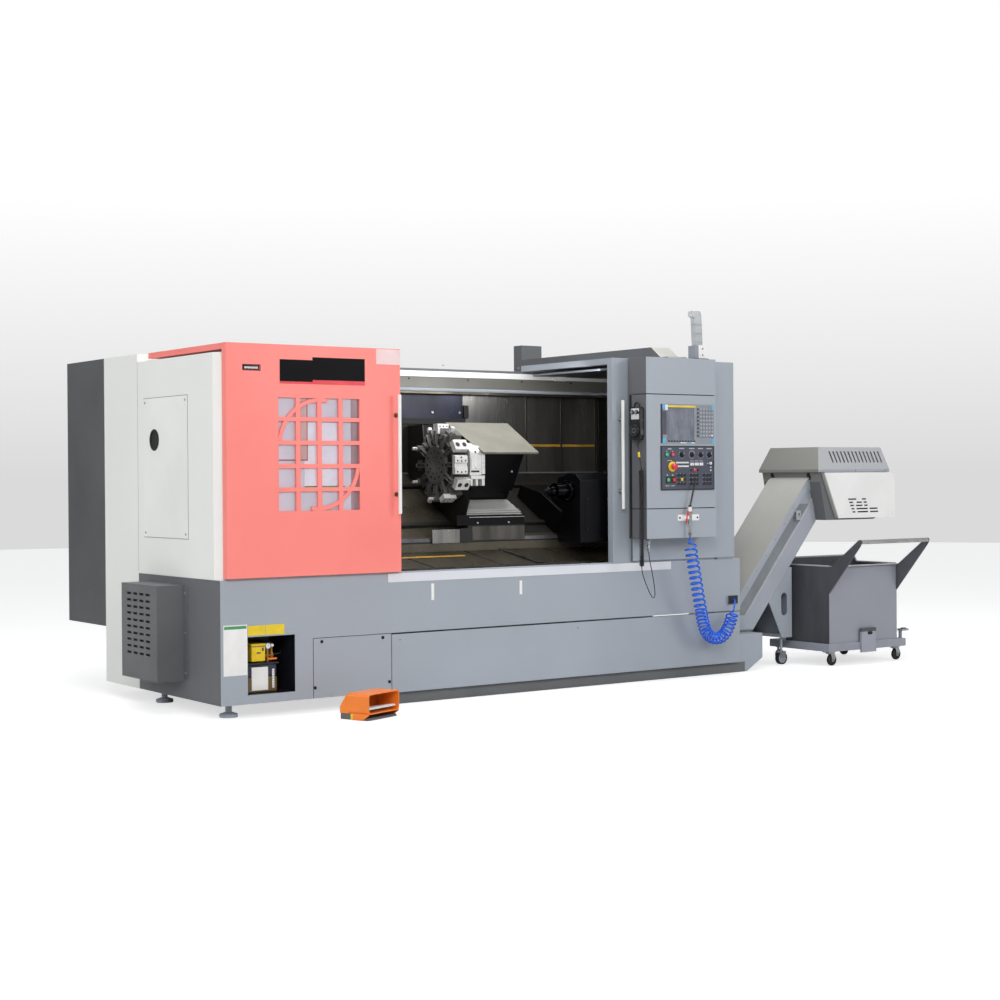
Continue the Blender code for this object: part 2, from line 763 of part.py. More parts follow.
def make_headstock():
    """Spindle housing on the bed, with its nose through the partition."""
    seat = WAY_N - PAN_SHEET
    outline = [
        slant(-0.070, -0.140),
        slant(0.100, seat),
        slant(0.420, seat),
        slant(0.420, -0.020),
        slant(0.140, 0.150),
        slant(-0.060, 0.110),
    ]
    axis = (SPINDLE_Y, SPINDLE_Z)
    wall = CHAMBER_LEFT
    profile = [(wall - 0.10, 0.112), (wall + 0.015, 0.112), (wall + 0.020, 0.095), (NOSE_END - FIT_GAP, 0.095)]
    nose = turned("X", axis, profile, 32)
    motor = rod("X", slant(0.20, 0.02), 0.10, 0.14, 0.25, 24)
    bore = rod("X", axis, CHUCK_BORE, 0.10, 0.90, 24)
    return solid("headstock", CAST, [prism("X", outline, 0.220, CHAMBER_LEFT - 0.030), nose, motor], [bore])


def make_lubricator():
    """Pump, gauge and oil reservoir in the base's open bay."""
    left, _, bottom, _ = LUBE_BAY
    back = LUBE_BAY_DEPTH - FIT_GAP
    reservoir = block((left + 0.028, 0.045, bottom + FIT_GAP), (left + 0.190, 0.200, bottom + 0.148))
    pump = block((left + 0.050, 0.055, bottom + 0.140), (left + 0.125, 0.200, bottom + 0.262))
    bracket = block((left + 0.040, 0.190, bottom + 0.120), (left + 0.220, back, bottom + 0.270))
    gauge = rod("Y", (left + 0.150, bottom + 0.240), 0.016, 0.070, 0.200, 16)
    valve = rod("Y", (left + 0.165, bottom + 0.190), 0.012, 0.075, 0.200, 12)
    cap = rod("Z", (left + 0.165, 0.110), 0.018, bottom + 0.140, bottom + 0.162, 16)
    return solid("lubricator", ("E8D020", 0.4, 0.0), [reservoir, bracket, pump, [gauge, valve, cap]])


def make_station():
    """Operator cabinet on the corner post: cap, control section and lower box, with the cord's plug."""
    plate_back = RIGHT_DOOR_FRONT - RUNNING_GAP
    plate = block(
        (STATION_LEFT + 0.018, plate_back - STATION_PLATE, DOOR_BOTTOM + 0.004),
        (ENCLOSURE_RIGHT, plate_back, RIGHT_DOOR_TOP - 0.001),
    )
    box = block(
        (STATION_LEFT, STATION_FRONT, STATION_BOTTOM), (STATION_RIGHT, plate_back - 0.004, RIGHT_DOOR_TOP)
    )
    seams = [
        prism(
            "Z",
            [
                (STATION_LEFT - 0.02, STATION_FRONT - 0.02),
                (STATION_RIGHT + 0.02, STATION_FRONT - 0.02),
                (STATION_RIGHT + 0.02, STATION_FRONT + SEAM_DEPTH),
                (STATION_LEFT + SEAM_DEPTH, STATION_FRONT + SEAM_DEPTH),
                (STATION_LEFT + SEAM_DEPTH, -0.035),
                (STATION_LEFT - 0.02, -0.035),
            ],
            height - SEAM_HEIGHT / 2,
            height + SEAM_HEIGHT / 2,
        )
        for height in STATION_SEAMS
    ]
    pockets = [
        block(
            (left - FIT_GAP, STATION_FRONT - 0.02, bottom - FIT_GAP),
            (right + FIT_GAP, STATION_FRONT + INSERT_DEPTH, top + FIT_GAP),
        )
        for left, right, bottom, top in (DISPLAY, CONTROLS)
    ]
    x, y, bottom = CONNECTOR
    plug = turned(
        "Z",
        (x, y),
        [
            (bottom, 0.006),
            (bottom + 0.016, CONNECTOR_RADIUS),
            (STATION_BOTTOM - 0.012, CONNECTOR_RADIUS),
            (STATION_BOTTOM - 0.010, 0.014),
            (STATION_BOTTOM + 0.010, 0.014),
        ],
        14,
    )
    return solid("operator_station", GREY, [plate, box, plug], [seams, pockets])


def make_display():
    left, right, bottom, top = DISPLAY
    front = STATION_FRONT - DISPLAY_PROUD
    body = block((left, front, bottom), (right, STATION_FRONT + INSERT_DEPTH - FIT_GAP, top))
    screen = block((SCREEN[0], front - 0.01, SCREEN[2]), (SCREEN[1], front + SCREEN_DEPTH, SCREEN[3]))
    keys = [
        block(
            (2.914 + 0.0215 * column, front - 0.003, 1.388 + 0.0215 * row),
            (2.930 + 0.0215 * column, front + 0.005, 1.404 + 0.0215 * row),
        )
        for column in range(6)
        for row in range(8)
    ]
    return solid("display_unit", ("6E737C", 0.4, 0.0), [body, keys], [screen])


def socket(place, radius, front, depth):
    """A blind hole in the control panel that a button's stem runs in."""
    return rod("Y", place, radius, front - 0.03, front + depth, 16)


def make_controls():
    """Control panel plate with its fixed keys, the stop button's collar and the button sockets."""
    left, right, bottom, top = CONTROLS
    front = STATION_FRONT - CONTROLS_PROUD
    body = block((left, front, bottom), (right, STATION_FRONT + INSERT_DEPTH - FIT_GAP, top))
    keys = [
        block(
            (x + KEY_PITCH * i - KEY_SIZE / 2, front - KEY_PROUD, KEY_ROW_Z + KEY_PITCH * j - KEY_SIZE / 2),
            (x + KEY_PITCH * i + KEY_SIZE / 2, front + 0.004, KEY_ROW_Z + KEY_PITCH * j + KEY_SIZE / 2),
        )
        for x in KEY_GROUPS
        for i in (-1, 0, 1)
        for j in (-1, 0, 1)
    ]
    rim = [(front + 0.004, STOP_COLLAR), (front - 0.002, STOP_COLLAR), (front - 0.005, STOP_COLLAR - 0.004)]
    collar = turned("Y", STOP_PLACE, rim, 24)
    sockets = [socket(place, BUTTON_RADIUS + FIT_GAP, front, BUTTON_SOCKET) for place in BUTTONS.values()]
    sockets.append(socket(STOP_PLACE, 0.010 + FIT_GAP, front, BUTTON_SOCKET + 0.004))
    return solid("control_panel", BLACK, [body, keys + [collar]], [sockets])


def make_buttons():
    """Four push buttons and the mushroom stop button, each on its own stroke line."""
    front = STATION_FRONT - CONTROLS_PROUD
    colours = ("30A070", "D04050", "30A060", "D03038")
    for (name, place), colour in zip(BUTTONS.items(), colours):
        tip = front - BUTTON_PROUD
        profile = [
            (front + BUTTON_SOCKET - BUTTON_TRAVEL - 0.001, BUTTON_RADIUS),
            (tip + 0.0015, BUTTON_RADIUS),
            (tip, BUTTON_RADIUS - 0.0015),
        ]
        shape = turned("Y", place, profile, 20)
        solid(name, (colour, 0.35, 0.0), [shape], origin=(place[0], front, place[1]), smooth=True)
    tip = front - STOP_HEIGHT
    profile = [
        (front + BUTTON_SOCKET - STOP_TRAVEL, 0.010),
        (tip + 0.020, 0.010),
        (tip + 0.018, STOP_RADIUS - 0.002),
        (tip + 0.006, STOP_RADIUS),
        (tip + 0.001, STOP_RADIUS - 0.004),
        (tip, STOP_RADIUS - 0.009),
    ]
    solid(
        "emergency_stop",
        ("D83A44", 0.3, 0.0),
        [turned("Y", STOP_PLACE, profile, 24)],
        origin=(STOP_PLACE[0], front, STOP_PLACE[1]),
        smooth=True,
    )


def make_knobs():
    """Four selector knobs with a pointer bar across the top."""
    front = STATION_FRONT - CONTROLS_PROUD - FIT_GAP
    for index, x in enumerate(KNOB_PLACES):
        tip = front - KNOB_HEIGHT
        profile = [(front, KNOB_RADIUS + 0.002), (front - 0.006, KNOB_RADIUS), (tip + 0.006, KNOB_RADIUS - 0.001)]
        body = turned("Y", (x, KNOB_Z), profile, 20)
        reach = KNOB_RADIUS - 0.001
        bar = block((x - 0.003, tip, KNOB_Z - reach), (x + 0.003, tip + 0.010, KNOB_Z + reach))
        solid(f"selector_knob_{index + 1}", BLACK, [body, bar], origin=(x, front, KNOB_Z))


def make_pendant():
    """Handwheel box hooked on the station's left side, and its turning wheel."""
    front, back, bottom, top = PENDANT
    seat = STATION_LEFT - FIT_GAP
    face = seat - PENDANT_DEPTH
    outline = [
        (-front + 0.008, bottom),
        (-back - 0.008, bottom),
        (-back, bottom + 0.03),
        (-back, top - 0.012),
        (-back - 0.012, top),
        (-front + 0.012, top),
        (-front, top - 0.012),
        (-front, bottom + 0.03),
    ]
    dials = [rod("X", (y, top - 0.030), 0.012, face - 0.010, face + 0.010, 14) for y in (-0.086, -0.122)]
    gland = rod("Z", (CORD_X, CORD_Y + 0.028), 0.007, bottom - 0.018, bottom + 0.010, 12)
    solid("handwheel_pendant", BLACK, [prism("X", outline, face, seat), dials, gland])
    wheel_face = face - FIT_GAP
    wheel = turned(
        "X",
        (WHEEL_Y, WHEEL_Z),
        [
            (wheel_face, WHEEL_RADIUS - 0.004),
            (wheel_face - 0.003, WHEEL_RADIUS),
            (wheel_face - WHEEL_DEPTH + 0.003, WHEEL_RADIUS),
            (wheel_face - WHEEL_DEPTH, WHEEL_RADIUS - 0.006),
        ],
        28,
    )
    grip = rod("X", (WHEEL_Y, WHEEL_Z + 0.022), 0.005, wheel_face - WHEEL_DEPTH - 0.006, wheel_face - 0.004, 12)
    solid("handwheel", DARK_GREY, [wheel, grip], origin=(wheel_face, WHEEL_Y, WHEEL_Z), smooth=True)


def make_tower():
    """Clear signal lamp on its angle bracket, leaning a little to the left."""
    seat = RIGHT_DOOR_TOP + FIT_GAP
    plate = block((TOWER_X - 0.057, TOWER_Y - 0.040, seat), (TOWER_X + 0.058, TOWER_Y + 0.045, seat + 0.006))
    bracket = block(
        (TOWER_X - 0.039, TOWER_Y - 0.030, seat + 0.003), (TOWER_X + 0.041, TOWER_Y + 0.030, seat + 0.082)
    )
    outline = [
        (TOWER_X - 0.023, seat + 0.070),
        (TOWER_X + 0.031, seat + 0.070),
        (TOWER_X + 0.021, seat + 0.262),
        (TOWER_X + 0.013, seat + TOWER_HEIGHT),
        (TOWER_X - 0.049, seat + TOWER_HEIGHT),
        (TOWER_X - 0.051, seat + 0.250),
        (TOWER_X - 0.031, seat + 0.240),
    ]
    lens = prism("Y", outline, TOWER_Y - 0.018, TOWER_Y + 0.018)
    return solid("signal_tower", ("E8EAEA", 0.2, 0.0), [plate, bracket, lens])


def make_gun():
    """Air gun in its wall bracket: bracket plate, body, lever and long nozzle."""
    seat = STATION_FRONT - FIT_GAP
    plate = block((2.768, seat - 0.004, 0.915), (2.925, seat, 0.950))
    hook = block((GUN_X - 0.020, GUN_Y - 0.006, 0.920), (GUN_X + 0.020, seat - 0.002, 0.944))
    profile = [(GUN_BOTTOM, 0.008), (GUN_BOTTOM + 0.012, GUN_RADIUS), (GUN_TOP - 0.030, GUN_RADIUS), (GUN_TOP, 0.006)]
    body = turned("Z", (GUN_X, GUN_Y), profile, 16)
    lever = block((GUN_X - 0.030, GUN_Y - 0.004, 0.900), (GUN_X - 0.008, GUN_Y + 0.004, 0.975))
    start = Vector((GUN_X, GUN_Y, GUN_TOP - 0.010))
    tip = Vector(NOZZLE_TIP)
    reach = tip - start
    turn = Vector((0, 0, 1)).rotation_difference(reach).to_matrix().to_4x4()
    nozzle = moved(rod("Z", (0.0, 0.0), 0.0045, 0.0, reach.length, 10), Matrix.Translation(start) @ turn)
    return solid("air_gun", STEEL, [body, plate, hook, lever, nozzle])


def make_cord(name, colour, points, rings):
    """A plain tube through points of x, y, z and radius."""
    curve = bpy.data.curves.new(name, "CURVE")
    curve.dimensions = "3D"
    curve.bevel_depth = 1.0
    curve.bevel_resolution = rings
    curve.render_resolution_u = 0
    curve.use_fill_caps = True
    spline = curve.splines.new("POLY")
    spline.points.add(len(points) - 1)
    for target, (x, y, z, radius) in zip(spline.points, points):
        target.co = (x, y, z, 1.0)
        target.radius = radius
    made = bpy.data.objects.new(name, curve)
    curve.materials.append(paint(name, colour, 0.4, 0.0))
    made.parent = machine_frame
    bpy.context.scene.collection.objects.link(made)
    return made


# The air hose with the radius at each point: thin leads, and the coil as a tube of its outer size
AIR_HOSE_ROUTE = [
    (2.834, -0.196, 0.8337, 0.005),
    (2.834, -0.196, 0.815, 0.005),
    (2.834, -0.196, 0.798, 0.005),
    (2.834, -0.196, 0.795, HOSE_RADIUS),
    (2.844, -0.192, 0.750, HOSE_RADIUS),
    (2.862, -0.184, 0.690, HOSE_RADIUS),
    (2.884, -0.175, 0.625, HOSE_RADIUS),
    (2.908, -0.164, 0.555, HOSE_RADIUS),
    (2.934, -0.152, 0.480, HOSE_RADIUS),
    (2.960, -0.141, 0.405, HOSE_RADIUS),
    (2.986, -0.130, 0.335, HOSE_RADIUS),
    (3.016, -0.120, 0.278, HOSE_RADIUS),
    (3.062, -0.110, 0.240, HOSE_RADIUS),
    (3.118, -0.102, 0.228, HOSE_RADIUS),
    (3.172, -0.095, 0.240, HOSE_RADIUS),
    (3.216, -0.088, 0.276, HOSE_RADIUS),
    (3.248, -0.080, 0.322, HOSE_RADIUS),
    (3.274, -0.070, 0.368, HOSE_RADIUS),
    (3.276, -0.0695, 0.3715, 0.005),
    (3.290, -0.063, 0.392, 0.005),
    (3.306, -0.052, 0.412, 0.005),
    (3.320, -0.038, 0.428, 0.005),
    (3.329, -0.026, 0.4365, 0.005),
    (3.329, -0.0125, 0.4365, 0.005),
]
# The pendant's cord with the radius at each point: thin lead, curled part, thin loop
PENDANT_CORD_ROUTE = [
    (2.519, -0.120, 1.3535, LEAD_RADIUS),
    (2.519, -0.121, 1.338, LEAD_RADIUS),
    (2.519, -0.124, 1.320, LEAD_RADIUS),
    (2.518, -0.129, 1.295, LEAD_RADIUS),
    (2.517, -0.136, 1.270, LEAD_RADIUS),
    (2.518, -0.142, 1.248, LEAD_RADIUS),
    (2.519, -0.147, 1.225, LEAD_RADIUS),
    (CORD_X, CORD_Y, CURL_TOP + 0.003, LEAD_RADIUS),
    (CORD_X, CORD_Y, CURL_TOP, CURL_RADIUS),
    (CORD_X, CORD_Y, CURL_BOTTOM, CURL_RADIUS),
    (CORD_X, CORD_Y, CURL_BOTTOM - 0.003, LEAD_RADIUS),
    (2.520, -0.148, 0.645, LEAD_RADIUS),
    (2.526, -0.148, 0.620, LEAD_RADIUS),
    (2.538, -0.146, 0.593, LEAD_RADIUS),
    (2.554, -0.144, 0.562, LEAD_RADIUS),
    (2.572, -0.141, 0.532, LEAD_RADIUS),
    (2.590, -0.137, 0.506, LEAD_RADIUS),
    (2.606, -0.133, 0.490, LEAD_RADIUS),
    (2.620, -0.129, 0.485, LEAD_RADIUS),
    (2.630, -0.126, 0.493, LEAD_RADIUS),
    (2.634, -0.124, 0.512, LEAD_RADIUS),
    (2.632, -0.122, 0.545, LEAD_RADIUS),
    (2.625, -0.121, 0.590, LEAD_RADIUS),
    (2.614, -0.120, 0.640, LEAD_RADIUS),
    (2.603, -0.120, 0.685, LEAD_RADIUS),
    (2.596, -0.120, 0.718, LEAD_RADIUS),
    (2.594, -0.120, 0.7447, LEAD_RADIUS),
]


def make_cords():
    """The coiled air hose as a tube of its outer size, and the pendant's cord with its curled part."""
    make_cord("air_hose", "1E78F0", AIR_HOSE_ROUTE, 3)
    make_cord("pendant_cord", "1A1A1A", PENDANT_CORD_ROUTE, 2)


def make_tank():
    """Coolant tank with chamfered ends, its open top under the chip slot and its front panel."""
    outline = [
        (TANK_LEFT, TANK_CHAMFER_Z),
        (TANK_LEFT + TANK_CHAMFER_X, 0.0),
        (TANK_RIGHT - TANK_CHAMFER_X, 0.0),
        (TANK_RIGHT, TANK_CHAMFER_Z),
        (TANK_RIGHT, TANK_TOP),
        (TANK_LEFT, TANK_TOP),
    ]
    left, right, bottom, top = TANK_PANEL
    panel = block((left, 0.0, bottom), (right, TANK_FRONT + 0.004, top))
    inner = block(
        (TANK_LEFT + TANK_CHAMFER_X, TANK_FRONT + TANK_WALL, TANK_WALL),
        (TANK_OPEN_RIGHT, TANK_BAY_DEPTH - FIT_GAP - TANK_WALL, TANK_TOP + 0.3),
    )
    body = prism("Y", outline, TANK_FRONT, TANK_BAY_DEPTH - FIT_GAP)
    return solid("coolant_tank", GREY, [body, panel], [inner])


def trunk_line(z, offset):
    """X on the trunk's upper line at a height, moved square to it by offset."""
    return TRUNK_FOOT_X + (z - TANK_TOP) / math.tan(TRUNK_ANGLE) + offset / math.sin(TRUNK_ANGLE)


def head_line(z):
    """X of the head's leaning left side at a height."""
    return HEAD_LEFT + (HEAD_TOP - z) / (HEAD_TOP - HEAD_BOTTOM) * HEAD_LEAN


def crossing(offset):
    """Height where a trunk line meets the head's leaning side."""
    low, high = TANK_TOP, HEAD_TOP
    for _ in range(40):
        middle = (low + high) / 2
        if trunk_line(middle, offset) < head_line(middle):
            low = middle
        else:
            high = middle
    return low


def make_trunk():
    """Inclined conveyor trunk with a channel along its front side and a lifting eye."""
    foot = TANK_TOP + FIT_GAP
    top_z = crossing(0.0)
    low_z = crossing(TRUNK_THICKNESS)
    outline = [
        (trunk_line(foot, 0.0), foot),
        (trunk_line(foot, TRUNK_THICKNESS), foot),
        (head_line(low_z) - FIT_GAP, low_z),
        (head_line(top_z) - FIT_GAP, top_z),
    ]
    channel_low, channel_high = foot + 0.10, top_z - 0.08
    channel = [
        (trunk_line(channel_low, 0.040), channel_low),
        (trunk_line(channel_low, 0.105), channel_low),
        (trunk_line(channel_high, 0.105), channel_high),
        (trunk_line(channel_high, 0.040), channel_high),
    ]
    eye_x, eye_z = trunk_line(0.92, 0.060), 0.92
    eye = block(
        (eye_x - 0.010, TRUNK_FRONT - 0.020, eye_z - 0.030), (eye_x + 0.022, TRUNK_FRONT + 0.020, eye_z + 0.030)
    )
    eye_hole = rod("Y", (eye_x + 0.006, eye_z + 0.006), 0.010, TRUNK_FRONT - 0.03, TRUNK_FRONT - 0.004, 12)
    ribs = [
        prism(
            "Y",
            [
                (trunk_line(height, 0.0) - 0.006, height + 0.004),
                (trunk_line(height, 0.0) + 0.020, height),
                (trunk_line(height + 0.012, 0.0) + 0.020, height + 0.012),
                (trunk_line(height + 0.012, 0.0) - 0.006, height + 0.016),
            ],
            TRUNK_FRONT + 0.004,
            TRUNK_BACK - 0.004,
        )
        for height in (0.46, 0.72, 0.98)
    ]
    return solid(
        "conveyor_trunk",
        GREY,
        [prism("Y", outline, TRUNK_FRONT, TRUNK_BACK), eye, ribs],
        [prism("Y", channel, TRUNK_FRONT - 0.01, TRUNK_FRONT + 0.008), eye_hole],
    )


def make_head():
    """Discharge head: leaning body, drive hole and hipped hood with its slanted vents."""
    body = prism(
        "Y",
        [
            (head_line(HEAD_TOP), HEAD_TOP),
            (head_line(HEAD_BOTTOM), HEAD_BOTTOM),
            (HEAD_RIGHT - 0.133, HEAD_BOTTOM),
            (HEAD_RIGHT - 0.010, HEAD_BOTTOM + 0.052),
            (HEAD_RIGHT - 0.010, HEAD_TOP),
        ],
        HEAD_FRONT,
        HEAD_BACK,
    )
    left, right = HEAD_LEFT - HOOD_OVERHANG, HEAD_RIGHT
    front, back = HEAD_FRONT - HOOD_OVERHANG, HEAD_BACK + HOOD_OVERHANG

    def hood(bm):
        base = [(left, front), (right, front), (right, back), (left, back)]
        near_x, far_x = left + HOOD_SLOPE, right - 0.025
        near_y, far_y = front + HOOD_SLOPE, back - HOOD_SLOPE
        top = [(near_x, near_y), (far_x, near_y), (far_x, far_y), (near_x, far_y)]
        levels = [(base, HEAD_TOP - 0.010), (base, HEAD_TOP + 0.008), (top, HOOD_TOP)]
        rings = [[bm.verts.new((x, y, z)) for x, y in ring] for ring, z in levels]
        faces = [bm.faces.new(rings[0]), bm.faces.new(rings[-1])]
        for near, far in zip(rings, rings[1:]):
            for i in range(4):
                faces.append(bm.faces.new((near[i], near[(i + 1) % 4], far[(i + 1) % 4], far[i])))
        bmesh.ops.recalc_face_normals(bm, faces=faces)

    slots = []
    for i in range(VENT_SLOTS):
        low = left + 0.140 + 0.0335 * i
        foot, tip = HEAD_TOP + 0.050, HEAD_TOP + 0.120
        slot = [(low, foot), (low + 0.013, foot), (low + 0.003, tip), (low - 0.010, tip)]
        slots.append(prism("Y", slot, front - 0.02, front + 0.09))
    outlet = block(
        (HEAD_LEFT + 0.185, HEAD_FRONT + 0.040, HEAD_BOTTOM - 0.05),
        (HEAD_RIGHT - 0.175, HEAD_BACK - 0.040, HEAD_BOTTOM + 0.120),
    )
    holes = [
        rod("X", (y, HEAD_TOP - 0.040), 0.013, HEAD_LEFT - 0.025, HEAD_LEFT + 0.045, 14)
        for y in (HEAD_FRONT + 0.090, HEAD_BACK - 0.090)
    ]
    return solid("conveyor_head", DARK_GREY, [body, hood], [slots, outlet, holes])


def make_side_cover():
    """White drive cover on the head's front, with its broken rows of slots."""
    back = HEAD_FRONT - FIT_GAP
    front = back - SIDE_COVER_DEPTH
    top = HEAD_TOP - 0.012
    low = HEAD_BOTTOM + 0.010
    right = HEAD_RIGHT + SIDE_COVER_REACH
    left, left_low = HEAD_LEFT + 0.022, HEAD_LEFT + 0.144
    outline = [(left, top), (right, top), (right, low), (left_low, low)]
    rows = [
        (0.113, [(4.350, 4.425), (4.472, 4.512)]),
        (0.093, [(4.360, 4.395), (4.425, 4.475), (4.488, 4.518)]),
        (0.073, [(4.368, 4.403), (4.420, 4.480), (4.494, 4.526)]),
        (0.053, [(4.378, 4.408), (4.424, 4.528), (4.542, 4.616)]),
        (0.033, [(4.388, 4.416), (4.434, 4.530), (4.546, 4.622)]),
    ]
    slots = [
        block((a, front - 0.02, low + height), (b, back + 0.02, low + height + 0.009))
        for height, spans in rows
        for a, b in spans
    ]
    pocket = prism(
        "Y",
        [
            (left + 0.013, top - 0.006),
            (right - 0.006, top - 0.006),
            (right - 0.006, low + 0.006),
            (left_low + 0.007, low + 0.006),
        ],
        front + 0.004,
        back + 0.02,
    )
    plate = prism("Y", outline, front, back)
    return solid("conveyor_side_cover", ("F2F3F3", 0.3, 0.0), [plate], [pocket, slots])


def make_leg():
    """Support leg under the trunk: two gusset plates with an oval hole, back plate and two castors."""
    right = LEG_RIGHT
    foot = 0.168
    inner = right - 0.084
    stem_x = right - 0.054
    gap = TRUNK_THICKNESS + FIT_GAP * 2

    def under(z):
        return trunk_line(z, gap)

    gusset = [(under(0.392), 0.392), (inner, foot), (right, foot), (right, 0.600), (under(0.600), 0.600)]
    front = prism("Y", gusset, TRUNK_FRONT, TRUNK_FRONT + 0.008)
    rear = prism("Y", gusset, TRUNK_BACK - 0.008, TRUNK_BACK)
    back = block((right - 0.008, TRUNK_FRONT + 0.002, foot), (right, TRUNK_BACK - 0.002, 0.590))
    beam = block((inner, TRUNK_FRONT + 0.002, foot), (right - 0.002, TRUNK_BACK - 0.002, foot + 0.020))
    sides = (TRUNK_FRONT + 0.040, TRUNK_BACK - 0.040)
    stems = [rod("Z", (stem_x, y), 0.008, 0.070, foot + 0.010, 12) for y in sides]
    forks = [block((stem_x - 0.022, y - 0.018, 0.032), (stem_x + 0.022, y + 0.018, 0.082)) for y in sides]
    wheels = [rod("Y", (stem_x, 0.040), 0.040, y - 0.012, y + 0.012, 20) for y in sides]
    hole = [
        (right - 0.064 + 0.026 * math.cos(a), (0.418 if math.sin(a) >= 0 else 0.330) + 0.026 * math.sin(a))
        for a in [2 * math.pi * i / 20 for i in range(20)]
    ]
    oval = prism("Y", hole, TRUNK_FRONT - 0.02, TRUNK_FRONT + 0.03)
    return solid("conveyor_leg", GREY, [front, back, rear, beam, stems, forks, wheels], [oval])


def make_bin():
    """Open chip bin with its raised back, two handle arms and the push bar."""
    bottom = CART_DECK + FIT_GAP
    side = [
        (BIN_FRONT, bottom),
        (BIN_BACK, bottom),
        (BIN_BACK, BIN_BACK_TOP),
        (BIN_BACK - 0.012, BIN_BACK_TOP),
        (BIN_BACK - 0.040, BIN_TOP),
        (BIN_FRONT, BIN_TOP),
    ]
    outer = prism("X", side, BIN_LEFT, BIN_RIGHT)
    inner = block(
        (BIN_LEFT + BIN_SHEET, BIN_FRONT + BIN_SHEET, bottom + BIN_SHEET),
        (BIN_RIGHT - BIN_SHEET, BIN_BACK - BIN_SHEET, BIN_BACK_TOP + 0.05),
    )
    arm = [
        (BIN_FRONT + 0.004, BIN_TOP - 0.171),
        (BIN_FRONT + 0.004, BIN_TOP - 0.001),
        (BIN_FRONT - 0.020, BIN_TOP),
        (GRIP_Y + 0.010, GRIP_Z + 0.012),
        (GRIP_Y - 0.010, GRIP_Z),
        (GRIP_Y - 0.004, GRIP_Z - 0.022),
    ]
    arms = [prism("X", arm, x - 0.002, x + 0.006) for x in (BIN_LEFT, BIN_RIGHT - 0.004)]
    bar = rod("X", (GRIP_Y, GRIP_Z), GRIP_RADIUS, BIN_LEFT + 0.001, BIN_RIGHT - 0.001, 14)
    lip = block(
        (BIN_LEFT + 0.012, BIN_FRONT - 0.010, BIN_TOP - 0.010), (BIN_RIGHT - 0.012, BIN_FRONT + 0.004, BIN_TOP - 0.001)
    )
    return solid("cart_bin", CAST, [outer, lip, arms, bar], [inner])


def fork_shapes(x, y, axis):
    """Castor fork: mounting plate and two cheeks that hold the wheel's axle line."""
    top = CART_DECK - CART_RAIL_HEIGHT - FIT_GAP
    half = CART_WHEEL_WIDTH / 2 + 0.0005
    cheek = 0.004
    reach = CART_WHEEL_RADIUS * 0.35
    shapes = [block((x - 0.028, y - 0.028, top - 0.008), (x + 0.028, y + 0.028, top))]
    for side in (-1, 1):
        near, far = sorted((side * half, side * (half + cheek)))
        if axis == "Y":
            low = (x + CASTER_TRAIL - reach, y + near, CART_WHEEL_RADIUS - 0.010)
            high = (x + CASTER_TRAIL + reach - 0.006, y + far, top - 0.004)
        else:
            low = (x + near, y + CASTER_TRAIL - reach, CART_WHEEL_RADIUS - 0.010)
            high = (x + far, y + CASTER_TRAIL + reach - 0.006, top - 0.004)
        shapes.append(block(low, high))
    return shapes


def wheel_shape(x, y, axis):
    half = CART_WHEEL_WIDTH / 2
    r = CART_WHEEL_RADIUS
    if axis == "Y":
        centre, middle = (x + CASTER_TRAIL, r), y
    else:
        centre, middle = (y + CASTER_TRAIL, r), x
    one_side = [(1.0, 0.45), (0.8, 0.75), (0.7, 0.94), (0.4, 1.0)]
    profile = [(middle - half * a, r * b) for a, b in one_side]
    profile += [(middle + half * a, r * b) for a, b in reversed(one_side)]
    return turned(axis, centre, profile, 24)


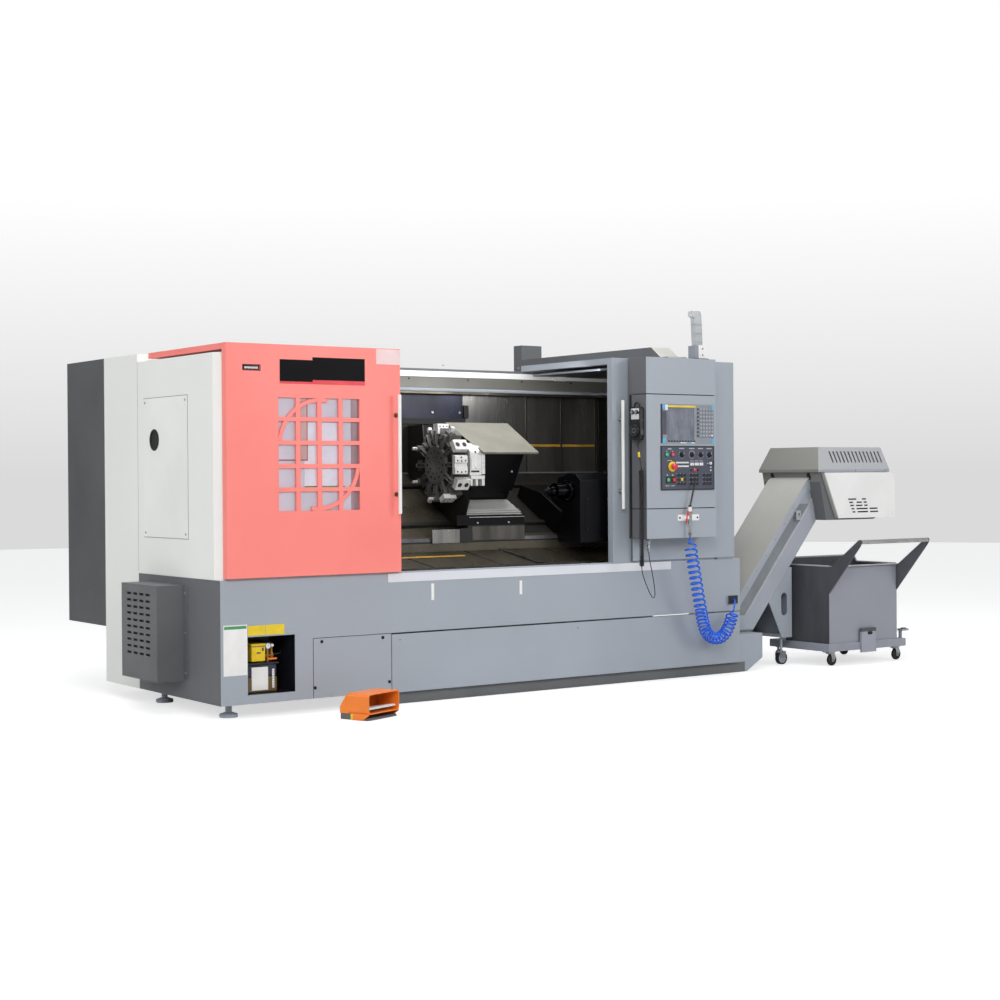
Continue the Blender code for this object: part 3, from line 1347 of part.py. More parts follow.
def make_cart():
    """Cart frame with fixed rear castors, swivel front castors, wheels, latch bracket and foot lever."""
    low = CART_DECK - CART_RAIL_HEIGHT
    ring = block((CART_LEFT, CART_FRONT, low), (CART_RIGHT, CART_BACK, CART_DECK))
    hole = block(
        (CART_LEFT + CART_RAIL, CART_FRONT + CART_RAIL, low - 0.05),
        (CART_RIGHT - CART_RAIL, CART_BACK - CART_RAIL, CART_DECK + 0.05),
    )
    pads = [
        block((x - 0.030, y - 0.030, low), (x + 0.030, y + 0.030, low + 0.006))
        for x in CASTER_X
        for y in (CASTER_FRONT_Y, CASTER_BACK_Y)
    ]
    bracket = block((4.292, CART_FRONT - 0.012, 0.073), (4.420, CART_FRONT + 0.002, 0.222))
    hole_outline = [
        (4.366 + (0.012 if math.cos(a) > 0 else -0.012) + 0.010 * math.cos(a), 0.190 + 0.010 * math.sin(a))
        for a in [2 * math.pi * (i + 0.5) / 16 for i in range(16)]
    ]
    bracket_hole = prism("Y", hole_outline, CART_FRONT - 0.05, CART_FRONT - 0.006)
    lever = block((CART_RIGHT - 0.006, -0.064, 0.120), (CART_RIGHT + 0.024, -0.046, 0.132))
    lever_post = block((CART_RIGHT + 0.010, -0.064, 0.122), (CART_RIGHT + 0.024, -0.046, 0.190))
    lever_top = block((CART_RIGHT + 0.012, -0.078, 0.180), (CART_RIGHT + 0.070, -0.034, 0.192))
    raised = Matrix.Translation((0.0, 0.0, 0.002))
    rear_forks = [
        [moved(fork_shapes(x, CASTER_BACK_Y, "X")[part], raised) for x in CASTER_X] for part in range(3)
    ]
    frame = solid(
        "cart_frame", CAST, [ring, [*pads, lever], lever_post, lever_top, *rear_forks], [hole]
    )
    boolean(frame, "UNION", [bracket], "bracket")
    boolean(frame, "DIFFERENCE", [bracket_hole], "bracket_hole")
    for side, x in zip(("left", "right"), CASTER_X):
        forks = fork_shapes(x, CASTER_FRONT_Y, "Y")
        solid(f"front_{side}_castor_fork", DARK_GREY, forks, origin=(x, CASTER_FRONT_Y, low))
        solid(
            f"front_{side}_wheel",
            BLACK,
            [wheel_shape(x, CASTER_FRONT_Y, "Y")],
            origin=(x + CASTER_TRAIL, CASTER_FRONT_Y, CART_WHEEL_RADIUS),
            smooth=True,
        )
        solid(
            f"rear_{side}_wheel",
            BLACK,
            [wheel_shape(x, CASTER_BACK_Y, "X")],
            origin=(x, CASTER_BACK_Y + CASTER_TRAIL, CART_WHEEL_RADIUS),
            smooth=True,
        )


def make_pedal():
    """Twin foot switch: hooded guard on its base and two sprung pedals."""
    place = empty("pedal_place", (*PEDAL_PLACE, 0.0), machine_frame)
    place.rotation_euler = (0.0, 0.0, PEDAL_TURN)
    half, reach = PEDAL_WIDTH / 2, PEDAL_DEPTH / 2
    wall, height = PEDAL_WALL, PEDAL_HEIGHT
    outline = [
        (reach, 0.0),
        (reach, 0.055),
        (0.020, height - 0.008),
        (-0.010, height),
        (-reach + 0.010, height),
        (-reach, height - 0.012),
        (-reach, 0.014),
        (-reach + 0.012, 0.0),
    ]
    inner = [
        (reach - wall, wall),
        (reach - wall, 0.050),
        (0.014, height - 0.008 - wall),
        (-0.012, height - wall),
        (-reach - 0.02, height - wall),
        (-reach - 0.02, wall),
    ]
    solid(
        "pedal_guard",
        ("F08828", 0.4, 0.0),
        [prism("X", outline, -half, half)],
        [prism("X", inner, -half + PEDAL_WALL, half - PEDAL_WALL)],
        parent=place,
    )
    hinge_y = reach - PEDAL_WALL - 0.012
    hinge_z = PEDAL_WALL + FIT_GAP + PEDAL_BARREL
    high = hinge_z + 0.014
    wide = (PEDAL_WIDTH - 2 * PEDAL_WALL - 0.012) / 2
    outline = [
        (hinge_y + 0.004, high),
        (hinge_y + 0.004, high + 0.008),
        (hinge_y - 0.030, high + 0.012),
        (-reach + 0.016, high + 0.028),
        (-reach + 0.010, high + 0.020),
        (hinge_y - 0.030, high + 0.004),
    ]
    starts = {"left_pedal": -half + PEDAL_WALL + 0.004, "right_pedal": half - PEDAL_WALL - 0.004 - wide}
    for name, left in starts.items():
        barrel = rod("X", (hinge_y, hinge_z), PEDAL_BARREL, left + 0.006, left + wide - 0.006, 14)
        web = block((left + 0.010, hinge_y - 0.004, hinge_z), (left + wide - 0.010, hinge_y + 0.003, high + 0.004))
        solid(
            name,
            ("C8CACC", 0.5, 0.0),
            [prism("X", outline, left, left + wide), web, barrel],
            origin=(left + wide / 2, hinge_y, hinge_z),
            parent=place,
        )


def door_shapes(span, front, back, top):
    """L-shaped sliding door: front leaf and the roof that moves with it."""
    left, right = span
    leaf = block((left, front, DOOR_BOTTOM), (right, back, top))
    roof = block((left, front + 0.001, RAIL_Z), (right, DOOR_ROOF_END, top - 0.0005))
    leaf_pocket = block(
        (left + DOOR_FLANGE, front + DOOR_SKIN, DOOR_BOTTOM + DOOR_FLANGE),
        (right - DOOR_FLANGE, back + 0.05, RAIL_Z - 0.004),
    )
    roof_pocket = block(
        (left + DOOR_FLANGE, back + 0.02, RAIL_Z - 0.05), (right - DOOR_FLANGE, RAIL_Y - 0.020, RAIL_Z + 0.014)
    )
    return [leaf, roof], [leaf_pocket, roof_pocket]


def arc_bar(centre, start, end):
    """One curved bar of the window lattice, as an outline in X and Z."""
    steps = 14
    angles = [math.radians(start + (end - start) * i / steps) for i in range(steps + 1)]
    far, near = ARC_RADIUS + ARC_BAR / 2, ARC_RADIUS - ARC_BAR / 2
    outer = [(centre[0] + far * math.cos(a), centre[1] + far * math.sin(a)) for a in angles]
    inner = [(centre[0] + near * math.cos(a), centre[1] + near * math.sin(a)) for a in reversed(angles)]
    return prism("Y", outer + inner, LEFT_DOOR_FRONT + 0.001, LEFT_DOOR_FRONT + DOOR_SKIN - 0.001)


def handle_shapes(x, front):
    """Straight pull bar on two posts."""
    y = front - HANDLE_STANDOFF
    profile = [
        (HANDLE_LOW, HANDLE_RADIUS - 0.002),
        (HANDLE_LOW + 0.003, HANDLE_RADIUS),
        (HANDLE_HIGH - 0.003, HANDLE_RADIUS),
        (HANDLE_HIGH, HANDLE_RADIUS - 0.002),
    ]
    bar = turned("Z", (x, y), profile, 18)
    posts = [rod("Y", (x, z), POST_RADIUS, y, front - FIT_GAP, 12) for z in HANDLE_POSTS]
    return [bar, posts]


def make_left_door():
    """Coral door with its lattice window, pane, flush pull recess and handle."""
    shapes, cuts = door_shapes(LEFT_DOOR, LEFT_DOOR_FRONT, LEFT_DOOR_BACK, LEFT_DOOR_TOP)
    pitch_x = CELL_WIDTH + CELL_BAR_X
    pitch_z = CELL_HEIGHT + CELL_BAR_Z
    cells = [
        block(
            (WINDOW_LEFT + pitch_x * i, LEFT_DOOR_FRONT - 0.02, WINDOW_BOTTOM + pitch_z * j),
            (
                WINDOW_LEFT + pitch_x * i + CELL_WIDTH,
                LEFT_DOOR_FRONT + 0.03,
                WINDOW_BOTTOM + pitch_z * j + CELL_HEIGHT,
            ),
        )
        for i in range(CELL_COLUMNS)
        for j in range(CELL_ROWS)
    ]
    pull_left, pull_low = LEFT_DOOR[0] + 0.092, LEFT_DOOR_TOP - 0.130
    pull = block(
        (pull_left, LEFT_DOOR_FRONT - 0.02, pull_low), (pull_left + 0.092, LEFT_DOOR_FRONT + 0.007, pull_low + 0.024)
    )
    window_right = WINDOW_LEFT + pitch_x * CELL_COLUMNS - CELL_BAR_X
    window_top = WINDOW_BOTTOM + pitch_z * CELL_ROWS - CELL_BAR_Z
    middle = ((WINDOW_LEFT + window_right) / 2, (WINDOW_BOTTOM + window_top) / 2)
    door = solid("left_door", CORAL, shapes, [*cuts, [*cells, pull]])
    arcs = [
        arc_bar((middle[0] + ARC_SHIFT[0], middle[1] + ARC_SHIFT[1]), 80, 173),
        arc_bar((middle[0] - ARC_SHIFT[0], middle[1] - ARC_SHIFT[1]), 260, 353),
    ]
    boolean(door, "UNION", arcs, "arcs")
    pane_front = LEFT_DOOR_FRONT + DOOR_SKIN + FIT_GAP
    pane = block(
        (WINDOW_LEFT - PANE_MARGIN, pane_front, WINDOW_BOTTOM - PANE_MARGIN),
        (window_right + PANE_MARGIN, pane_front + PANE_THICKNESS, window_top + PANE_MARGIN),
    )
    solid("left_door_window", ("E8D8DC", 0.1, 0.0), [pane])
    solid("left_door_handle", ("ECECEC", 0.3, 0.0), handle_shapes(LEFT_HANDLE_X, LEFT_DOOR_FRONT))


def make_right_door():
    shapes, cuts = door_shapes(RIGHT_DOOR, RIGHT_DOOR_FRONT, RIGHT_DOOR_BACK, RIGHT_DOOR_TOP)
    solid("right_door", GREY, shapes, cuts)
    solid("right_door_handle", ("ECECEC", 0.3, 0.0), handle_shapes(RIGHT_HANDLE_X, RIGHT_DOOR_FRONT))


def make_chuck():
    """Three-jaw chuck on the spindle nose, with the jaws in their radial slots."""
    axis = (SPINDLE_Y, SPINDLE_Z)
    face = NOSE_END + CHUCK_LENGTH
    profile = [
        (NOSE_END, CHUCK_RADIUS - 0.015),
        (NOSE_END + 0.020, CHUCK_RADIUS),
        (face - 0.006, CHUCK_RADIUS),
        (face, CHUCK_RADIUS - 0.006),
    ]
    body = turned("X", axis, profile, 36)
    bore = rod("X", axis, CHUCK_BORE, NOSE_END - 0.02, face + 0.02, 24)
    half = JAW_WIDTH / 2
    slot = block(
        (face - JAW_SLOT_DEPTH, SPINDLE_Y - half, SPINDLE_Z + 0.020),
        (face + 0.02, SPINDLE_Y + half, SPINDLE_Z + CHUCK_RADIUS + 0.02),
    )
    angles = [math.radians(120 * i) for i in range(3)]
    slots = [moved(slot, turned_about_x(a, axis)) for a in angles]
    solid("chuck_body", STEEL, [body], [bore, *slots], origin=(NOSE_END, *axis), smooth=True)
    key = half - FIT_GAP
    jaw_low = block(
        (face - JAW_SLOT_DEPTH + FIT_GAP, SPINDLE_Y - key, SPINDLE_Z + 0.045),
        (face + 0.022, SPINDLE_Y + key, SPINDLE_Z + CHUCK_RADIUS - 0.010),
    )
    jaw_high = block(
        (face + 0.010, SPINDLE_Y - key + 0.001, SPINDLE_Z + 0.046),
        (face + 0.045, SPINDLE_Y + key - 0.001, SPINDLE_Z + 0.080),
    )
    for index, angle in enumerate(angles):
        turn = turned_about_x(angle, axis)
        solid(f"chuck_jaw_{index + 1}", STEEL, [moved(jaw_low, turn), moved(jaw_high, turn)], origin=(face, *axis))


def rail_groove(place, start, end):
    """Groove in a slide's underside that runs over a guide rail."""
    half = RAIL_WIDTH / 2 + FIT_GAP
    low, high = WAY_N - 0.02, WAY_N + RAIL_HEIGHT + FIT_GAP
    corners = ((place - half, low), (place + half, low), (place + half, high), (place - half, high))
    return prism("X", [slant(u, n) for u, n in corners], start - 0.02, end + 0.02)


def make_saddle():
    """Saddle on the guide rails, with its stepped front cover and left side sheet."""
    bottom_n = WAY_N + 0.004
    knee = SADDLE_FRONT + 0.012
    front_low = slant(0.0, bottom_n)[1] + (knee - slant(0.0, bottom_n)[0]) * math.tan(SLANT)
    top_front = slant(0.0, SADDLE_TOP_N)[1] + (SADDLE_FRONT - slant(0.0, SADDLE_TOP_N)[0]) * math.tan(SLANT)
    body = prism(
        "X",
        [
            (SADDLE_FRONT, SADDLE_SKIRT),
            (knee, SADDLE_SKIRT),
            (knee, front_low),
            slant(SADDLE_END, bottom_n),
            slant(SADDLE_END, SADDLE_TOP_N),
            (SADDLE_FRONT, top_front),
        ],
        SADDLE_LEFT + 0.004,
        SADDLE_RIGHT,
    )
    shelf = slant(SADDLE_END - 0.080, -0.080)
    sheet = prism(
        "X",
        [
            slant(0.030, bottom_n),
            slant(SADDLE_END + 0.005, bottom_n),
            (BACK_WALL_Y - 0.007, shelf[1] - 0.099),
            (BACK_WALL_Y - 0.007, shelf[1] + 0.171),
            (shelf[0] + 0.024, shelf[1] + 0.171),
            shelf,
            slant(0.050, -0.080),
        ],
        SADDLE_LEFT,
        SADDLE_LEFT + 0.008,
    )
    low, high = SADDLE_TOP_N - 0.006, SADDLE_TOP_N + 0.02
    step = [slant(0.050, low), slant(0.150, low), slant(0.150, high), slant(0.050, high)]
    steps = prism("X", step, SADDLE_LEFT + 0.012, SADDLE_RIGHT + 0.02)
    grooves = [rail_groove(place, SADDLE_LEFT, SADDLE_RIGHT) for place in RAIL_PLACES]
    return solid("saddle", DARK_STEEL, [body, sheet], [grooves, steps])


def make_cross_slide():
    """Cross slide up the slope: base, turret housing, drive box and its sloping cover sheet."""
    seat = SADDLE_TOP_N + FIT_GAP
    left = SADDLE_LEFT + 0.016

    def bar(u0, u1, n0, n1, x0, x1):
        return prism("X", [slant(u0, n0), slant(u1, n0), slant(u1, n1), slant(u0, n1)], x0, x1)

    base = bar(0.170, 0.520, seat, -0.110, left, SLIDE_RIGHT - 0.070)
    housing = prism(
        "X",
        [
            slant(u, n)
            for u, n in ((0.165, -0.120), (0.430, -0.120), (0.430, 0.150), (0.210, 0.150), (0.150, 0.060))
        ],
        left,
        SADDLE_LEFT + 0.122,
    )
    drive = bar(0.185, 0.470, -0.115, 0.155, SADDLE_LEFT + 0.110, SLIDE_RIGHT - 0.020)
    cover = bar(0.150, 0.492, SLIDE_COVER_N - 0.014, SLIDE_COVER_N, SADDLE_LEFT + 0.117, SLIDE_RIGHT)
    shaft = rod("X", slant(TURRET_U, 0.0), 0.060, TURRET_FACE + TURRET_LENGTH + FIT_GAP, left + 0.010, 28)
    return solid("cross_slide", CAST, [base, housing, drive, cover, shaft], origin=(left, *slant(TURRET_U, 0.0)))


def make_turret():
    """Twelve-station tool disc with a holder and a tool at each station."""
    centre = slant(TURRET_U, 0.0)
    end = TURRET_FACE + TURRET_LENGTH
    profile = [
        (TURRET_FACE, TURRET_RADIUS - 0.045),
        (TURRET_FACE + 0.008, TURRET_RADIUS),
        (end - 0.006, TURRET_RADIUS),
        (end, TURRET_RADIUS - 0.025),
    ]
    disc = turned("X", centre, profile, 24)
    holders = []
    tools = []
    for station in range(TURRET_STATIONS):
        turn = turned_about_x(math.radians(15 + 360 / TURRET_STATIONS * station), centre)
        y, z = centre
        wide = 0.030 if station % 2 == 0 else 0.024
        reach = HOLDER_REACH if station % 2 == 0 else HOLDER_REACH - 0.012
        holder = block((TURRET_FACE + 0.010, y + TURRET_RADIUS - 0.025, z - wide), (end - 0.008, y + reach, z + wide))
        holders.append(moved(holder, turn))
        if station % 3 == 2:
            tool = rod("X", (y + reach - 0.020, z), 0.011, TURRET_FACE - 0.060, TURRET_FACE + 0.030, 12)
        else:
            tool = block(
                (TURRET_FACE + 0.018, y + reach - 0.030, z - 0.011), (TURRET_FACE + 0.044, y + TOOL_REACH, z + 0.011)
            )
        tools.append(moved(tool, turn))
    return solid("turret_disc", DARK_STEEL, [disc, holders, tools], origin=(TURRET_FACE, *centre))


def make_tailstock():
    """Tailstock on the lower rail, with its quill and live centre."""
    bottom_n = WAY_N + 0.004
    ends = ((-0.010, bottom_n), (0.400, bottom_n), (0.400, -0.190), (0.200, -0.130), (-0.010, -0.130))
    foot = prism("X", [slant(u, n) for u, n in ends], TAILSTOCK_LEFT, TAILSTOCK_RIGHT)
    front = SPINDLE_Y - 0.104
    body = prism(
        "X",
        [
            (front, SPINDLE_Z - 0.288),
            (front + 0.200, SPINDLE_Z - 0.288),
            slant(0.120, -0.160),
            slant(0.120, 0.020),
            slant(0.060, 0.085),
            (front + 0.038, SPINDLE_Z + 0.096),
            (front, SPINDLE_Z + 0.062),
        ],
        TAILSTOCK_LEFT + 0.015,
        TAILSTOCK_RIGHT - 0.020,
    )
    axis = (SPINDLE_Y, SPINDLE_Z)
    bore_end = TAILSTOCK_RIGHT - QUILL_BORE_END
    bore = rod("X", axis, QUILL_RADIUS + FIT_GAP, TAILSTOCK_LEFT - 0.05, bore_end, 28)
    groove = rail_groove(LOWER_RAIL, TAILSTOCK_LEFT, TAILSTOCK_RIGHT)
    solid("tailstock", DARK_STEEL, [foot, body], [[groove], bore])
    profile = [
        (QUILL_LEFT - 0.040, 0.002),
        (QUILL_LEFT - 0.005, 0.022),
        (QUILL_LEFT, 0.030),
        (QUILL_LEFT + 0.030, 0.030),
        (QUILL_LEFT + 0.032, QUILL_RADIUS),
        (bore_end - QUILL_ROOM, QUILL_RADIUS),
    ]
    solid("quill", STEEL, [turned("X", axis, profile, 28)], origin=(QUILL_LEFT, *axis), smooth=True)


make_base()
make_left_cover()
make_access_panel()
make_vent_cover()
make_cabinet()
make_right_enclosure()
make_rear_cover()
make_duct()
make_chip_pan()
make_bed()
make_headstock()
make_lubricator()
make_station()
make_display()
make_controls()
make_buttons()
make_knobs()
make_pendant()
make_tower()
make_gun()
make_cords()
make_tank()
make_trunk()
make_head()
make_side_cover()
make_leg()
make_bin()
make_cart()
make_pedal()
make_left_door()
make_right_door()
make_chuck()
make_saddle()
make_cross_slide()
make_turret()
make_tailstock()
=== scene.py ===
import math

import bmesh
import bpy
from mathutils import Matrix, Vector


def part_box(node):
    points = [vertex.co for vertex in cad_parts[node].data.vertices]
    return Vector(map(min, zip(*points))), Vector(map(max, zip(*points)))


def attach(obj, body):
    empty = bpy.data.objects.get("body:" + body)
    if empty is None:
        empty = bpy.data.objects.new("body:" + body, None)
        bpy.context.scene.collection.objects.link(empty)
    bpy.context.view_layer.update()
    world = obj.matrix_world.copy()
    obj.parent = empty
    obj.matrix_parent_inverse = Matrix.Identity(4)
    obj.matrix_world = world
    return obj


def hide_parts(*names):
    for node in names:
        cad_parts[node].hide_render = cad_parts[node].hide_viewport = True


print("Loading the lathe")
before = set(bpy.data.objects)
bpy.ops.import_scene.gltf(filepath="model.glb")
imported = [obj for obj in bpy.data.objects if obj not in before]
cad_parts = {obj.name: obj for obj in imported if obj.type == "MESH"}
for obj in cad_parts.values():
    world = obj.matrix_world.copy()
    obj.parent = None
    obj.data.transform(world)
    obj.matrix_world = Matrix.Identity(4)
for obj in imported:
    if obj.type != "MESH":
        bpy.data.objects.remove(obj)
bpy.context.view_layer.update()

# everything below is measured from the front left lower corner of the base enclosure
shopOrigin = Vector((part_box("base_enclosure")[0].x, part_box("coolant_tank")[0].y, 0.0))


def linear(code):  # sRGB hex to the renderer's own linear numbers
    values = [int(code[i:i + 2], 16) / 255 for i in (0, 2, 4)]
    return (*[v / 12.92 if v <= 0.04045 else ((v + 0.055) / 1.055) ** 2.4 for v in values], 1.0)


print("Camera")
cameraView = {
    "place": (-3.8608, -7.7971, 1.1756),
    "yaw": 35.295,  # degrees to the right of straight at the machine
    "pitch": -0.394,
    "roll": -0.386,
    "lens": 64.15,
    "shiftY": -0.0118,
}


def aimCamera(view):
    yaw, pitch, roll = (math.radians(view[key]) for key in ("yaw", "pitch", "roll"))
    ahead = Vector((math.sin(yaw), math.cos(yaw), 0.0))
    right = Vector((math.cos(yaw), -math.sin(yaw), 0.0))
    up = Vector((0.0, 0.0, 1.0))
    forward = ahead * math.cos(pitch) + up * math.sin(pitch)
    upward = up * math.cos(pitch) - ahead * math.sin(pitch)
    side = right * math.cos(roll) + upward * math.sin(roll)
    top = upward * math.cos(roll) - right * math.sin(roll)
    turn = Matrix((side, top, -forward)).transposed().to_4x4()
    camera = bpy.data.objects.new("photoCamera", bpy.data.cameras.new("photoCamera"))
    camera.matrix_world = Matrix.Translation(shopOrigin + Vector(view["place"])) @ turn
    camera.data.lens = view["lens"]
    camera.data.sensor_width = 36.0
    camera.data.shift_y = view["shiftY"]
    camera.data.clip_end = 200.0
    bpy.context.scene.collection.objects.link(camera)
    bpy.context.scene.camera = camera


aimCamera(cameraView)
bpy.context.scene.view_settings.view_transform = "Standard"

print("Finishes")


def addNode(tree, kind, settings=None, links=None):
    made = tree.nodes.new("ShaderNode" + kind)
    for key, value in (settings or {}).items():
        if key in made.inputs:
            made.inputs[key].default_value = value
        else:
            setattr(made, key, value)
    for key, (source, output) in (links or {}).items():
        tree.links.new(source.outputs[output], made.inputs[key])
    return made


def addRelief(tree, place, scale, strength, depth):
    grain = addNode(tree, "TexNoise", {"Scale": scale, "Detail": 2.0}, {"Vector": place})
    relief = addNode(tree, "Bump", {"Strength": strength, "Distance": depth}, {"Height": (grain, "Fac")})
    tree.links.new(relief.outputs["Normal"], tree.nodes["Principled BSDF"].inputs["Normal"])


def mixColours(tree, factor, first, second):
    mix = addNode(tree, "Mix", {"data_type": "RGBA"}, {"Factor": factor})
    mix.inputs[6].default_value = first
    mix.inputs[7].default_value = second
    return mix


def surface(name, look):
    # colour drifting between two shades, a fine grain in relief and a gloss that varies a little
    material = bpy.data.materials.new(name)
    material.use_nodes = True
    tree = material.node_tree
    shader = tree.nodes["Principled BSDF"]
    for socket, value in look.get("shader", {}).items():
        shader.inputs[socket].default_value = value
    shader.inputs["Metallic"].default_value = look.get("metallic", 0.0)
    place = addNode(tree, "TexCoord")
    stretch = {"Scale": look.get("stretch", (1.0, 1.0, 1.0))}
    stretched = addNode(tree, "Mapping", stretch, {"Vector": (place, "Object")})
    broad = {"Scale": 1000.0 / look["patchMm"], "Detail": 4.0, "Roughness": 0.55}
    patches = addNode(tree, "TexNoise", broad, {"Vector": (stretched, "Vector")})
    first, second = linear(look["colour"]), linear(look["shade"])
    contrast = {"From Min": 0.32, "From Max": 0.68, "To Min": 0.0, "To Max": 1.0}
    spread = addNode(tree, "MapRange", contrast, {"Value": (patches, "Fac")})
    mix = mixColours(tree, (spread, "Result"), first, second)
    tree.links.new(mix.outputs[2], shader.inputs["Base Color"])
    rough, swing = look["rough"], look.get("swing", 0.05)
    glossRange = {"From Min": 0.3, "From Max": 0.7, "To Min": rough - swing, "To Max": rough + swing}
    gloss = addNode(tree, "MapRange", glossRange, {"Value": (patches, "Fac")})
    tree.links.new(gloss.outputs["Result"], shader.inputs["Roughness"])
    depth = look.get("depthMm", 0.4) / 1000.0
    addRelief(tree, (stretched, "Vector"), 1000.0 / look.get("grainMm", 9.0), look.get("relief", 0.12), depth)
    material.diffuse_color = first
    return material


def coat(colour, shade, rough, patchMm=260.0, **more):
    return {"colour": colour, "shade": shade, "rough": rough, "patchMm": patchMm, **more}


